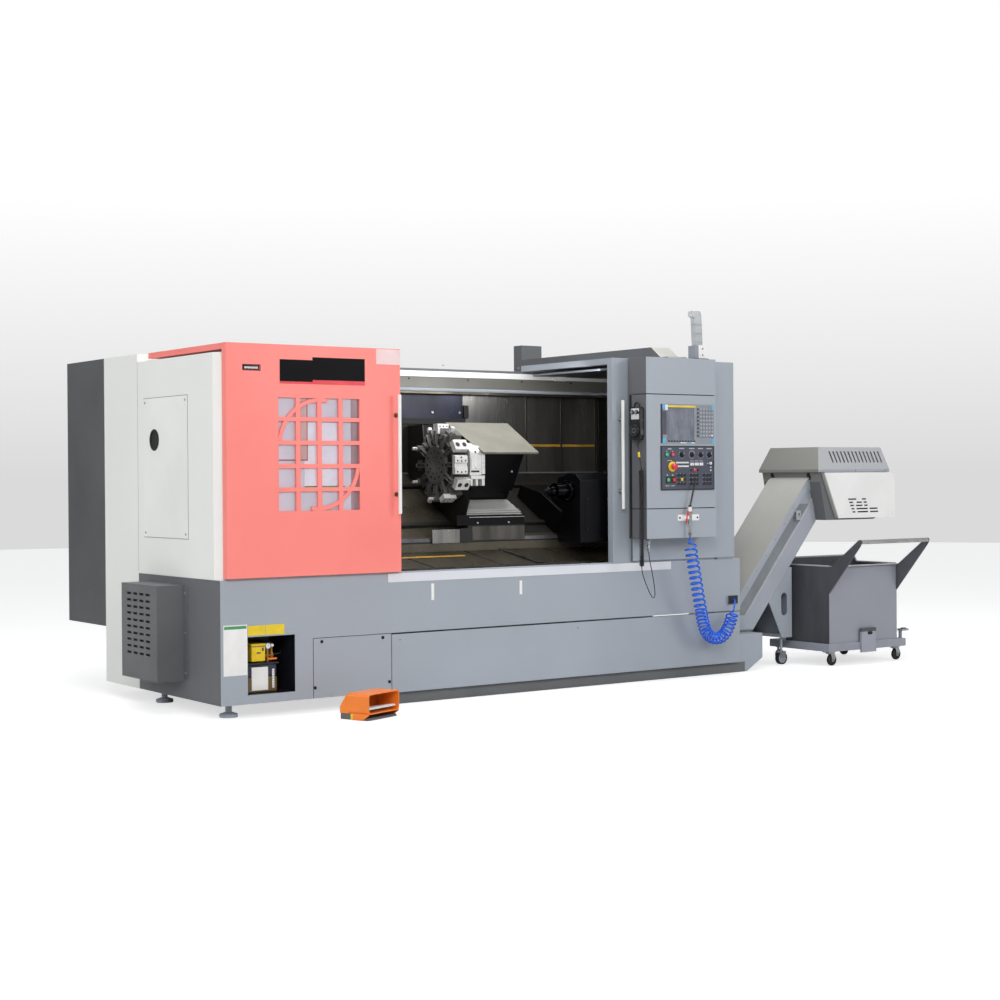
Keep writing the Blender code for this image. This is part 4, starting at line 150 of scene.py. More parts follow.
# Powder coat on sheet steel has an orange peel of 1 to 2 mm, drawn at about 9 mm so that it shows at all
looks = {
    # powder-coated sheet steel, light blue-grey: soft even sheen of the fronts
    "greyPowderCoat": coat("A4ABB4", "9CA3AC", 0.42, 620, relief=0.1),
    # faces that the photograph shows in shade carry this deeper grey
    "shadedPowderCoat": coat("66686B", "5C5E60", 0.5, 520, relief=0.1),
    # top of the sill: the same coat, drawn bright as a painted highlight
    "sillHighlightCoat": coat("DADCE1", "D2D4DA", 0.36, 520, relief=0.06),
    # warm grey sides of the conveyor's hood
    "hoodSideCoat": coat("8B8B86", "80807B", 0.48, 420, relief=0.08),
    # lower flanks of the conveyor's head, a deeper grey in shade
    "headShadeCoat": coat("66676A", "5A5B5D", 0.5, 420, relief=0.08),
    # the hood's front, which catches the light
    "hoodFrontCoat": coat("AEB0B3", "A4A6A9", 0.44, 420, relief=0.08),
    # the same coat a tone darker and flatter, on the vent and rear covers, the feet of tank and pedal and the
    # trunk's lower end
    "darkPowderCoat": coat("6C6E70", "5E6062", 0.5, 520, relief=0.12),
    # electrical cabinet: the darkest and calmest of the coats
    "cabinetCoat": coat("595B5D", "4C4E50", 0.46, 900, relief=0.1),
    # white coat of the headstock casing: matt with a warm cast
    "whitePowderCoat": coat("F3F4F1", "E9EAE6", 0.46, 540, relief=0.1),
    # coral lacquer of the left door: brighter and smoother than the powder coat
    "coralLacquer": coat(
        "FE8F87", "F8857C", 0.34, 700, swing=0.03, relief=0.04,
        shader={"Coat Weight": 0.1, "Coat Roughness": 0.2, "Specular IOR Level": 0.35},
    ),
    # warm light grey of the conveyor's top sheets
    "warmGreyPowderCoat": coat("B7B6B0", "ABAAA4", 0.44, 480, relief=0.1),
    # satin grey of the chip cart
    "cartEnamel": coat("9DA0AB", "8D9099", 0.4, 330, relief=0.14),
    # the cart's arms and far faces, the same satin in shade
    "cartDarkEnamel": coat("57585D", "4B4C50", 0.45, 330, relief=0.14),
    # gloss white plastic-coated covers, bars and brackets
    "glossWhiteEnamel": coat("F4F4F2", "ECECEA", 0.24, swing=0.03, relief=0.03),
    # machine orange, moulded and painted
    "orangeEnamel": coat(
        "F98A2E", "EE7A1F", 0.36, 120, relief=0.08, shader={"Coat Weight": 0.15, "Coat Roughness": 0.25}
    ),
    # brushed stainless sheet of the chamber, oil-tinted: streaks run up and down
    "brushedChamberSheet": coat(
        "6E6C68", "3E3D3A", 0.34, 120, metallic=0.85, swing=0.1, stretch=(1.0, 1.0, 0.12), grainMm=5.0,
        relief=0.1, depthMm=0.2,
    ),
    # brushed sheet drawn bright between the dark ones: a painted reflection on the back wall and under the
    # saddle
    "reflectionBrushedSheet": coat(
        "A9A8A4", "6C6B68", 0.3, 90, metallic=0.9, swing=0.08, stretch=(1.0, 1.0, 0.1), grainMm=4.0,
        relief=0.12, depthMm=0.2,
    ),
    # darkened sheet in the shade of the chamber
    "darkChamberSheet": coat(
        "33322F", "232220", 0.42, 240, metallic=0.55, swing=0.08, relief=0.1, depthMm=0.3
    ),
    # folded pan plates: brownish oil film on stainless
    "oiledPanSheet": coat("6B6558", "4B463C", 0.33, 210, metallic=0.75, swing=0.09, relief=0.1, depthMm=0.3),
    # bead-blasted cover over the cross slide: pale, nearly matt
    "blastedCoverSheet": coat(
        "7F7D73", "727066", 0.42, 160, metallic=0.25, swing=0.06, relief=0.1, depthMm=0.2
    ),
    # turned and ground steel of chuck, quill and rails
    "machinedSteel": coat(
        "B4B4B1", "8F8F8C", 0.26, 60, metallic=1.0, swing=0.06, stretch=(0.25, 1.0, 1.0), grainMm=3.0,
        relief=0.08, depthMm=0.1,
    ),
    # manganese-phosphated steel of the turret: dark grey, slightly oily
    "phosphatedSteel": coat(
        "666664", "535351", 0.42, 120, metallic=0.35, swing=0.06, relief=0.05, depthMm=0.2
    ),
    # bright ground tool blocks
    "groundToolSteel": coat("E2E2DF", "C9C9C6", 0.3, 40, metallic=0.35),
    # cast iron under machine enamel
    "enamelledCastIron": coat("3C3E40", "2F3133", 0.55, 90, relief=0.3, grainMm=7),
    # bright zinc of screws, castors and brackets
    "zincPlate": coat("C6C8CA", "A8AAAC", 0.28, 25, metallic=1.0, relief=0.05),
    # blackened screws: dark with small hard highlights
    "blackOxide": coat("1D1E20", "141517", 0.42, 25, metallic=0.4, relief=0.08),
    # fittings of the hose and the lubricator: warm and bright
    "brass": coat("C79A55", "A97E3C", 0.3, 20, metallic=1.0, relief=0.05),
    # moulded ABS: pendant, control panel bezel, knobs
    "blackAbs": coat("1B1C1F", "232428", 0.44, 40, grainMm=2.5, relief=0.15),
    # control panel: dark blue-grey moulding
    "slateAbs": coat("4A4E5C", "424654", 0.4, 120, grainMm=3.0, relief=0.1),
    # display surround and small caps: mid grey moulding
    "greyAbs": coat("8E939C", "858A93", 0.38, 120, grainMm=3.0, relief=0.1),
    # white keys and caps
    "paleAbs": coat("E9EAEC", "DADBDE", 0.36, 30, relief=0.06),
    # blue corners of the display
    "skyAbs": coat("62B8E6", "52A8DA", 0.34, 30, relief=0.06),
    # pump and wipers: clean machine yellow
    "yellowEnamel": coat("F2D21E", "E4BF12", 0.36, 60, relief=0.08),
    # woven yellow tape along the panel joints of the chamber
    "yellowSeamTape": coat("BE922F", "9C7722", 0.5, 60, relief=0.1),
    # red push buttons with a clear, wet gloss
    "redAbs": coat(
        "E0333B", "C92A33", 0.28, 30, swing=0.03, relief=0.04,
        shader={"Coat Weight": 0.4, "Coat Roughness": 0.12},
    ),
    # green push buttons with the same gloss
    "greenAbs": coat(
        "3FBF86", "2FA873", 0.28, 30, swing=0.03, relief=0.04,
        shader={"Coat Weight": 0.4, "Coat Roughness": 0.12},
    ),
    # the paler red of the power-off button
    "roseAbs": coat("E25A72", "D04A62", 0.28, 30, relief=0.04),
    # clear acrylic of the lamp
    "clearAcrylic": coat(
        "E2E6E8", "D4D8DB", 0.12, swing=0.03, relief=0.02, shader={"Transmission Weight": 0.45, "IOR": 1.49}
    ),
    # laminated safety pane with a faint rose film, dark and shiny from outside
    "rosePane": coat(
        "F2E8F6", "E0DEEA", 0.09, 420, swing=0.03, stretch=(3.0, 1.0, 0.35), relief=0.01,
        shader={"Transmission Weight": 0.35, "IOR": 1.5, "Coat Weight": 0.6, "Coat Roughness": 0.03},
    ),
    # display glass over a sleeping screen: grey with broad dull reflections
    "screenGlass": coat(
        "6A6E79", "8D919C", 0.12, 75, swing=0.04, relief=0.0, stretch=(1.0, 1.0, 0.6),
        shader={"Coat Weight": 0.8, "Coat Roughness": 0.04},
    ),
    # vulcanised rubber of wheels, grommets and feet
    "blackRubber": coat("17181A", "202123", 0.62, 30, relief=0.2),
    # openings and gaps that swallow the light
    "blackInterior": coat("131313", "1B1B1B", 0.6, 120),
    # extruded polyurethane hose, saturated blue with a waxy gloss
    "blueHose": coat(
        "1E6EF2", "1A64E0", 0.24, 60, swing=0.03, relief=0.02,
        shader={"Coat Weight": 0.3, "Coat Roughness": 0.15},
    ),
    # cord jacket: black with a soft gloss
    "blackCable": coat("151517", "1D1D20", 0.36, 60, relief=0.05),
    # lower half of the lubricator's reservoir: oil behind plastic
    "oilFilled": coat("6D5A34", "5A4A2B", 0.22, 60, relief=0.04),
    # the reservoir's upper half: smoked violet plastic
    "smokyReservoir": coat("2D2B45", "24233A", 0.2, 60, relief=0.04),
    # bare printed-plate stock, left plain
    "plainPlate": coat("EEEEEC", "E4E4E2", 0.35, 90, relief=0.04),
    # bare plate on the door: flat black without a highlight
    "blackPlate": coat("0A0A0D", "0E0E11", 0.45, 90, relief=0.04, shader={"Specular IOR Level": 0.1}),
    # red foot of that plate
    "redPlate": coat("F0404C", "E03A46", 0.34, 90, relief=0.04),
    # bare yellow plates over the lubricator bay
    "yellowPlate": coat("EBCF2A", "DDBF20", 0.36, 60, relief=0.04),
    # green edges of bare plates
    "greenPlate": coat("4E9A62", "458B57", 0.36, 60, relief=0.04),
    # tailstock: black machine enamel with a wet shine
    "blackGlossEnamel": coat(
        "08080B", "050508", 0.36, 180, swing=0.05, relief=0.06, shader={"Specular IOR Level": 0.15}
    ),
    # left wall panel: near black with a broad violet bloom, a painted reflection
    "violetReflectionSheet": coat(
        "32364A", "0C0C10", 0.3, 300, metallic=0.5, swing=0.08, stretch=(1.0, 1.0, 0.6), relief=0.05
    ),
    # warm grey enamel of the beam over the chamber
    "beamEnamel": coat("6F6E68", "64635D", 0.4, 400, relief=0.08),
    # side plate behind the turret: dull grey steel
    "slideSteel": coat("6A6A68", "565654", 0.45, 160, metallic=0.3, relief=0.08),
    # kneeboard over the pan: brushed, dull
    "kneeSteel": coat(
        "85858A", "5C5C60", 0.36, 160, metallic=0.75, swing=0.08, stretch=(1.0, 1.0, 0.15), grainMm=5.0,
        relief=0.1, depthMm=0.2,
    ),
    # ribbed sheet over the saddle: the brightest steel in the chamber
    "saddleSheet": coat(
        "D8D8D6", "B4B3B0", 0.4, 110, metallic=0.35, swing=0.06, stretch=(0.2, 1.0, 1.0), grainMm=5.0,
        relief=0.08, depthMm=0.2,
    ),
    # the shaded stainless sheets: streaks run up and down, oil-dark
    "brushedDarkSheet": coat(
        "7A7873", "4E4C48", 0.34, 150, metallic=0.75, swing=0.09, stretch=(1.0, 1.0, 0.15), grainMm=5.0,
        relief=0.1, depthMm=0.2,
    ),
    # quill and its collar: steel drawn almost black as painted shade, with sharp bright edges
    "shadedQuillSteel": coat("1C1C20", "121215", 0.2, 60, metallic=1.0, swing=0.04, relief=0.03),
    # key caps: paler than their panel
    "greyCapAbs": coat("B4B8C2", "A9ADB8", 0.4, 40),
    # dull silk-screened marks, kept bare
    "paleMarkAbs": coat("BFC2CE", "B2B5C2", 0.42, 40),
    # handle posts: brown, tarnished
    "agedBrass": coat("7A5A3A", "5E432A", 0.34, 20, metallic=0.7),
    # bare printed-plate stock, pale rose
    "rosePlate": coat("EFD3D3", "E9C9C9", 0.4, 60),
    # bare plates behind the pane, tinted by it
    "lilacPlate": coat("DDD9E4", "CEC9D8", 0.3, 70),
    # shaded inner panel through the pane
    "pinkFilm": coat("C7A5A3", "B99491", 0.2, 90, stretch=(2.0, 1.0, 0.4)),
    # darker right edge of the pane
    "mauveFilm": coat("A58C93", "866E74", 0.16, 60, stretch=(3.0, 1.0, 0.2)),
    # red-brown rubber edge of the inner panel
    "rustEdge": coat("A24E44", "8F4239", 0.36, 60),
    # sill of the doors, drawn bright as a painted highlight
    "sillHighlightSheet": coat("E0E2E8", "D6D8DF", 0.32, 300, stretch=(0.3, 1.0, 1.0)),
    # lubricator bay: black with a blue cast
    "bayBlack": coat("14151B", "1D1E26", 0.4, 120),
    # shadow line of the casing's seams
    "seamGrey": coat("7E7E7C", "727270", 0.6, 120),
    # cooler coat of the trunk's sides
    "paleTrunkCoat": coat("A9ADB7", "A0A4AE", 0.4, 320),
    # bright folded lip catching the light
    "glossGreyEnamel": coat("C4C7CC", "B7BAC0", 0.26, 200),
    # bottom of the trunk's channel
    "channelGrey": coat("858A90", "777B81", 0.42, 120, stretch=(1.0, 1.0, 0.3)),
    # rounded rim, a lighter grey than the cart
    "rimEnamel": coat("B9BBC0", "A9ABB1", 0.3, 150),
    # stainless push bar
    "brushedTube": coat("D0D0CE", "B4B4B2", 0.3, 90, metallic=0.8),
    # bin's left side and inside: painted shade
    "binPaintedShade": coat("5A5B60", "45464B", 0.4, 300, stretch=(1.0, 2.0, 0.5)),
}
finishes = {name: surface(name, look) for name, look in looks.items()}


def zoned(name, base, zones):
    # one piece in several finishes: each zone is (finish, limits), later ones on top
    # a limit is (axis, from, to) in shop metres, or with an N before the axis the way the face looks
    material = bpy.data.materials.new(name)
    material.use_nodes = True
    tree = material.node_tree
    shader = tree.nodes["Principled BSDF"]
    place = addNode(tree, "TexCoord")
    apart = addNode(tree, "SeparateXYZ", links={"Vector": (place, "Object")})
    facing = addNode(tree, "SeparateXYZ", links={"Vector": (place, "Normal")})
    colour = linear(looks[base]["colour"])
    patches = addNode(tree, "TexNoise", {"Scale": 1.8, "Detail": 4.0}, {"Vector": (place, "Object")})
    tint = mixColours(tree, (patches, "Fac"), colour, linear(looks[base]["shade"]))
    current = (tint, 2)
    glossRange = {"To Min": looks[base]["rough"] - 0.05, "To Max": looks[base]["rough"] + 0.05}
    rough = addNode(tree, "MapRange", glossRange, {"Value": (patches, "Fac")})
    roughness = (rough, "Result")
    for finish, limits in zones:
        inside = None
        for axis, low, high in limits:
            source = facing if axis[0] == "N" else apart
            shift = 0.0 if axis[0] == "N" else shopOrigin["XYZ".index(axis)]
            for test, level in (("GREATER_THAN", low + shift), ("LESS_THAN", high + shift)):
                within = addNode(tree, "Math", {"operation": test}, {0: (source, axis[-1])})
                within.inputs[1].default_value = level
                if inside:
                    within = addNode(
                        tree, "Math", {"operation": "MULTIPLY"}, {0: (inside, 0), 1: (within, 0)}
                    )
                inside = within
        mix = mixColours(tree, (inside, 0), colour, linear(looks[finish]["colour"]))
        tree.links.new(current[0].outputs[current[1]], mix.inputs[6])
        current = (mix, 2)
        level = addNode(tree, "Mix", {}, {"Factor": (inside, 0)})
        tree.links.new(roughness[0].outputs[roughness[1]], level.inputs[2])
        level.inputs[3].default_value = looks[finish]["rough"]
        roughness = (level, 0)
    tree.links.new(current[0].outputs[current[1]], shader.inputs["Base Color"])
    tree.links.new(roughness[0].outputs[roughness[1]], shader.inputs["Roughness"])
    addRelief(tree, (place, "Object"), 110.0, 0.1, 0.0004)
    material.diffuse_color = colour
    return material


# coats that change over one piece: the base finish, then its zones
zonedLooks = {
    # the white casing, with painted shade on the chamber side of its partition
    "casingCoat": ("whitePowderCoat", [("darkChamberSheet", [("X", 0.789, 0.85), ("Y", 0.0, 0.95)])]),
    # the pedal's housing: orange hood over a grey foot
    "pedalHousing": ("orangeEnamel", [("darkPowderCoat", [("Z", -0.1, 0.018)])]),
    # the base: painted shade on its left end and a painted highlight on the top of the sill
    "baseCoat": ("greyPowderCoat", [
        ("shadedPowderCoat", [("NX", -1.1, -0.7), ("X", -0.2, 0.01)]),
        ("sillHighlightCoat", [("NZ", 0.7, 1.1), ("Z", 0.67, 0.7)]),
    ]),
    # the operator station: painted shade on its left faces
    "stationCoat": ("greyPowderCoat", [("shadedPowderCoat", [("NX", -1.1, -0.7)])]),
    # the duct in painted shade, with painted light in warm grey where its front faces the light
    "ductCoat": ("shadedPowderCoat", [("warmGreyPowderCoat", [("NY", -1.1, -0.3), ("Y", -0.1, 0.14)])]),
    # the conveyor's head: light front, shaded flanks below the hood
    "headCoat": ("hoodSideCoat", [
        ("headShadeCoat", [("Z", 0.8, 1.1865), ("NX", -0.7, 1.1)]),
        ("headShadeCoat", [("Z", 0.8, 1.125)]),
        ("hoodFrontCoat", [("NY", -1.1, -0.4), ("Z", 1.187, 1.4)]),
    ]),
    # the cart's bin: painted shade on its left side and on the front above the frame
    "binCoat": ("cartEnamel", [
        ("cartDarkEnamel", [("Y", -0.5, -0.1012), ("Z", 0.24, 1.0)]),
        ("cartDarkEnamel", [("NX", -1.1, -0.7), ("Z", 0.14, 1.0)]),
    ]),
    # the cart's frame: light deck, arms in painted shade
    "cartFrameCoat": ("cartDarkEnamel", [("cartEnamel", [("Z", 0.0, 0.2)])]),
    # the trunk: warm upper face over cooler sides, darker where it goes into the tank
    "trunkCoat": ("greyPowderCoat", [
        ("warmGreyPowderCoat", [("NX", -1.1, -0.5)]),
        ("darkPowderCoat", [("Z", 0.0, 0.235)]),
    ]),
}
finishes.update({name: zoned(name, *parts) for name, parts in zonedLooks.items()})

print("Solid pieces")
solidFinishes = {
    "base_enclosure": "baseCoat", "left_cover": "casingCoat", "access_panel": "whitePowderCoat",
    "vent_cover": "darkPowderCoat", "electrical_cabinet": "cabinetCoat", "right_enclosure": "greyPowderCoat",
    "rear_cover": "darkPowderCoat", "cable_duct": "ductCoat", "chip_pan": "oiledPanSheet",
    "slant_bed": "darkChamberSheet", "headstock": "enamelledCastIron", "lubricator": "yellowEnamel",
    "operator_station": "stationCoat", "display_unit": "greyAbs", "control_panel": "slateAbs",
    "power_on_button": "greenAbs", "power_off_button": "roseAbs", "start_button": "greenAbs",
    "hold_button": "redAbs", "emergency_stop": "redAbs",

    "handwheel_pendant": "blackAbs", "handwheel": "blackAbs", "signal_tower": "clearAcrylic",
    "air_gun": "zincPlate", "coolant_tank": "greyPowderCoat", "conveyor_trunk": "trunkCoat",
    "conveyor_head": "headCoat", "conveyor_side_cover": "glossWhiteEnamel", "conveyor_leg": "greyPowderCoat",
    "cart_bin": "binCoat", "cart_frame": "cartFrameCoat", "front_left_castor_fork": "zincPlate",
    "front_right_castor_fork": "zincPlate", "pedal_guard": "pedalHousing", "left_pedal": "paleAbs",
    "right_pedal": "paleAbs", "left_door": "coralLacquer", "left_door_window": "rosePane",
    "left_door_handle": "glossWhiteEnamel", "right_door": "greyPowderCoat",
    "right_door_handle": "glossWhiteEnamel", "chuck_body": "machinedSteel", "saddle": "darkChamberSheet",
    "cross_slide": "darkChamberSheet", "turret_disc": "phosphatedSteel", "tailstock": "enamelledCastIron",
    "quill": "machinedSteel",
}
solidFinishes |= {f"selector_knob_{n}": "blackAbs" for n in range(1, 5)}
solidFinishes |= {f"chuck_jaw_{n}": "machinedSteel" for n in range(1, 4)}
solidFinishes |= {
    f"{place}_wheel": "blackRubber" for place in ("front_left", "front_right", "rear_left", "rear_right")
}
edgeRounds = {  # radius of the folded and broken edges, in millimetres
    "base_enclosure": 2.0, "left_cover": 3.0, "access_panel": 0.8, "vent_cover": 1.0,
    "electrical_cabinet": 2.0, "right_enclosure": 2.0, "cable_duct": 2.0, "operator_station": 2.0,
    "display_unit": 0.8, "control_panel": 0.8, "coolant_tank": 2.0, "conveyor_trunk": 1.5,
    "conveyor_head": 1.2, "conveyor_side_cover": 0.8, "conveyor_leg": 1.0, "cart_bin": 1.2, "cart_frame": 1.2,
    "left_door": 1.5, "right_door": 2.0, "saddle": 1.5, "cross_slide": 1.5, "tailstock": 3.0,
    "headstock": 4.0, "handwheel_pendant": 2.0, "left_pedal": 1.5, "right_pedal": 1.5, "chip_pan": 0.8,
    "turret_disc": 0.8,
}


def bevelEdges(made, radiusMm):
    bevel = made.modifiers.new("edge", "BEVEL")
    bevel.width = radiusMm / 1000.0
    bevel.segments = 2
    bevel.limit_method = "ANGLE"
    bevel.angle_limit = math.radians(40)


def roundEdges(made, radiusMm):
    # welds and flattens the solid's facets first, so that only true edges are rounded
    weld = made.modifiers.new("weld", "WELD")
    weld.merge_threshold = 0.00005
    flat = made.modifiers.new("flat", "DECIMATE")
    flat.decimate_type = "DISSOLVE"
    flat.angle_limit = math.radians(0.5)
    bevelEdges(made, radiusMm)


def dressSolid(name, finish):
    node = bpy.data.objects[name]
    node.data.materials.clear()
    node.data.materials.append(finishes[finish])
    if name in edgeRounds:
        roundEdges(node, edgeRounds[name])


for nodeName, finishName in solidFinishes.items():
    dressSolid(nodeName, finishName)

print("Shapes for the added pieces")


def block(low, high):
    def draw(bm):
        middle = [(a + b) / 2 for a, b in zip(low, high)]
        size = [b - a for a, b in zip(low, high)]
        bmesh.ops.create_cube(bm, size=1.0, matrix=Matrix.Translation(middle) @ Matrix.Diagonal((*size, 1.0)))
    return draw


def pointOn(axis, along, a, b):
    return {"X": (along, a, b), "Y": (a, along, b), "Z": (a, b, along)}[axis]


def skin(bm, rings, joined=False):
    # faces from ring to ring; the ends are capped, or joined where the last ring meets the first
    faces = [] if joined else [bm.faces.new(rings[0]), bm.faces.new(rings[-1])]
    for near, far in zip(rings, rings[1:] + rings[:1] if joined else rings[1:]):
        for k in range(len(near)):
            j = (k + 1) % len(near)
            faces.append(bm.faces.new((near[k], near[j], far[j], far[k])))
    bmesh.ops.recalc_face_normals(bm, faces=faces)


def borderBars(axis, low, high, wide, near, far):
    # four bars round a rectangle that faces along the axis; low and high are its outer corners
    (a0, b0), (a1, b1) = low, high
    bars = [(a0, a1, b0, b0 + wide), (a0, a1, b1 - wide, b1)]
    bars += [(a, a + wide, b0 + wide, b1 - wide) for a in (a0, a1 - wide)]
    return [block(pointOn(axis, near, a, b), pointOn(axis, far, c, d)) for a, c, b, d in bars]


def prism(axis, outline, start, end):
    def draw(bm):
        skin(bm, [[bm.verts.new(pointOn(axis, at, a, b)) for a, b in outline] for at in (start, end)])
    return draw


def turned(axis, centre, profile, segments=28):
    def draw(bm):
        rings = []
        for along, radius in profile:
            count = segments if radius > 0 else 1
            angles = [2 * math.pi * step / segments for step in range(count)]
            rings.append([
                bm.verts.new(
                    pointOn(axis, along, centre[0] + radius * math.cos(a), centre[1] + radius * math.sin(a))
                )
                for a in angles
            ])
        faces = []
        for near, far in zip(rings, rings[1:]):
            for i in range(segments):
                j = (i + 1) % segments
                corners = [near[i % len(near)], near[j % len(near)], far[j % len(far)], far[i % len(far)]]
                faces.append(bm.faces.new(list(dict.fromkeys(corners))))
        for ring in (rings[0], rings[-1]):
            if len(ring) > 1:
                faces.append(bm.faces.new(ring))
        bmesh.ops.recalc_face_normals(bm, faces=faces)
    return draw


def rod(axis, centre, radius, start, end, segments=20):
    return turned(axis, centre, [(start, radius), (end, radius)], segments)


def ring(axis, centre, inner, outer, start, end, segments=32):
    def draw(bm):
        loops = []
        for radius, along in ((outer, start), (outer, end), (inner, end), (inner, start)):
            loops.append([
                bm.verts.new(pointOn(
                    axis, along,
                    centre[0] + radius * math.cos(2 * math.pi * i / segments),
                    centre[1] + radius * math.sin(2 * math.pi * i / segments),
                ))
                for i in range(segments)
            ])
        skin(bm, loops, joined=True)
    return draw


def tube(points, radius, segments=10):
    # a round bar bent through points, each ring square to the way it goes
    def draw(bm):
        line = [Vector(p) for p in points]
        rings = []
        side = None
        for i, p in enumerate(line):
            ahead = (line[min(i + 1, len(line) - 1)] - line[max(i - 1, 0)]).normalized()
            if side is None:
                side = ahead.orthogonal().normalized()
            side = (side - ahead * side.dot(ahead)).normalized()
            other = ahead.cross(side)
            rings.append([
                bm.verts.new(p + radius * (math.cos(a) * side + math.sin(a) * other))
                for a in [2 * math.pi * k / segments for k in range(segments)]
            ])
        skin(bm, rings)
    return draw


def moved(shape, matrix):
    def draw(bm):
        before = set(bm.verts)
        shape(bm)
        bmesh.ops.transform(bm, matrix=matrix, verts=[v for v in bm.verts if v not in before])
    return draw


def about(axis, angle, centre):
    shift = Matrix.Translation(centre)
    return shift @ Matrix.Rotation(angle, 4, axis) @ shift.inverted()


def screwHead(axis, place, radius, proud):
    # cap head with its hexagon socket; proud is signed along the axis, out of the face
    along = place["XYZ".index(axis)]
    centre = [place[i] for i in range(3) if "XYZ"[i] != axis]
    top = along + proud
    deep = along + proud * 0.45
    profile = [
        (along - proud * 0.3, radius), (along + proud * 0.8, radius), (top, radius * 0.86),
        (top, radius * 0.5), (deep, radius * 0.46),
    ]
    return turned(axis, centre, profile, 12)


def piece(name, shapes, finish, body="machine", edgeMm=0.0, smoothAngle=32, replaces=()):
    bm = bmesh.new()
    for shape in shapes:
        shape(bm)
    mesh = bpy.data.meshes.new(name)
    bm.to_mesh(mesh)
    bm.free()
    mesh.materials.append(finishes[finish])
    mesh.shade_smooth()
    mesh.set_sharp_from_angle(angle=math.radians(smoothAngle))
    made = bpy.data.objects.new(name, mesh)
    made.location = shopOrigin
    bpy.context.scene.collection.objects.link(made)
    if edgeMm:
        bevelEdges(made, edgeMm)
    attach(made, body)
    if replaces:
        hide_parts(*replaces)


def addScrews(name, axis, places, radius, proud, finish, body="machine"):
    piece(name, [screwHead(axis, place, radius, proud) for place in places], finish, body=body)


print("Cords")
airHose = {
    "diameter": 0.01,
    "coil": 0.0325,  # radius of the coil's centreline
    "openTurns": 12,
    "closeTurns": 21,
    "route": [
        (2.834, -0.196, 0.798), (2.844, -0.192, 0.75), (2.862, -0.184, 0.69), (2.884, -0.175, 0.625),
        (2.908, -0.164, 0.555), (2.934, -0.152, 0.48), (2.96, -0.141, 0.405), (2.986, -0.13, 0.335),
        (3.016, -0.12, 0.278), (3.062, -0.11, 0.24), (3.118, -0.102, 0.228), (3.172, -0.095, 0.24),
        (3.216, -0.088, 0.276), (3.248, -0.08, 0.322), (3.274, -0.07, 0.368),
    ],
    "first": [(2.834, -0.196, 0.8337), (2.834, -0.196, 0.825), (2.834, -0.196, 0.815)],
    "last": [
        (3.29, -0.063, 0.392), (3.306, -0.052, 0.412), (3.32, -0.038, 0.428), (3.329, -0.026, 0.4365),
        (3.329, -0.0125, 0.4365),
    ],
}
pendantCord = {
    "diameter": 0.005,
    "coil": 0.0112,
    "turns": 64,
    "first": [
        (2.519, -0.12, 1.3535), (2.519, -0.121, 1.338), (2.519, -0.124, 1.32), (2.518, -0.129, 1.295),
        (2.517, -0.136, 1.27), (2.518, -0.142, 1.248), (2.519, -0.147, 1.225),
    ],
    "curl": [(2.519, -0.148, 1.205), (2.519, -0.148, 0.665)],
    "last": [
        (2.52, -0.148, 0.645), (2.526, -0.148, 0.62), (2.538, -0.146, 0.593), (2.554, -0.144, 0.562),
        (2.572, -0.141, 0.532), (2.59, -0.137, 0.506), (2.606, -0.133, 0.49), (2.62, -0.129, 0.485),
        (2.63, -0.126, 0.493), (2.634, -0.124, 0.512), (2.632, -0.122, 0.545), (2.625, -0.121, 0.59),
        (2.614, -0.12, 0.64), (2.603, -0.12, 0.685), (2.596, -0.12, 0.718), (2.594, -0.12, 0.7447),
    ],
}


def alongRoute(points, share):
    # a place on a smooth line through the points, and the way it runs there
    line = [Vector(p) for p in points]
    lengths = [0.0]
    for a, b in zip(line, line[1:]):
        lengths.append(lengths[-1] + (b - a).length)
    target = share * lengths[-1]
    k = max(i for i in range(len(line) - 1) if lengths[i] <= target + 1e-9)
    t = (target - lengths[k]) / (lengths[k + 1] - lengths[k])
    p0, p1, p2, p3 = (line[min(max(k + d, 0), len(line) - 1)] for d in (-1, 0, 1, 2))
    place = 0.5 * (
        2 * p1 + (p2 - p0) * t + (
            2 * p0 - 5 * p1 + 4 * p2 - p3
        ) * t * t + (3 * p1 - p0 - 3 * p2 + p3) * t ** 3
    )
    slope = 0.5 * (
        (p2 - p0) + 2 * (2 * p0 - 5 * p1 + 4 * p2 - p3) * t + 3 * (3 * p1 - p0 - 3 * p2 + p3) * t * t
    )
    return place, slope.normalized()


def coilPoints(points, radius, turnsAt, count, settle, side):
    # the centreline of a coil round a route, growing from the route and back to it over the settling turns
    total = turnsAt(1.0)
    made = []
    for i in range(count + 1):
        share = i / count
        place, ahead = alongRoute(points, share)
        side = (side - ahead * side.dot(ahead)).normalized()
        other = ahead.cross(side)
        turns = turnsAt(share)
        grown = min(1.0, turns / settle, (total - turns) / settle)
        wide = radius * grown * grown * (3 - 2 * grown)
        angle = 2 * math.pi * turns
        made.append(place + wide * (math.cos(angle) * side + math.sin(angle) * other))
    return made


def lineLength(points):
    return sum((Vector(b) - Vector(a)).length for a, b in zip(points, points[1:]))


def smoothLine(points, steps):
    return [alongRoute(points, i / steps)[0] for i in range(steps + 1)]


def cordCurve(name, points, diameter, finish, node):
    curve = bpy.data.curves.new(name, "CURVE")
    curve.dimensions = "3D"
    curve.bevel_depth = diameter / 2
    curve.bevel_resolution = 2
    curve.use_fill_caps = True
    spline = curve.splines.new("POLY")
    spline.points.add(len(points) - 1)
    for target, place in zip(spline.points, points):
        target.co = (*place, 1.0)
    spline.use_smooth = True
    curve.materials.append(finishes[finish])
    made = bpy.data.objects.new(name, curve)
    made.location = shopOrigin
    bpy.context.scene.collection.objects.link(made)
    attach(made, "machine")
    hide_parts(node)
    print(name, "is", round(lineLength(points), 3), "m long")


def hoseTurns(share):  # few turns where the coil hangs stretched, close turns where it lies in the bend
    stretched = 0.46
    if share < stretched:
        return airHose["openTurns"] * share / stretched
    return airHose["openTurns"] + airHose["closeTurns"] * (share - stretched) / (1 - stretched)


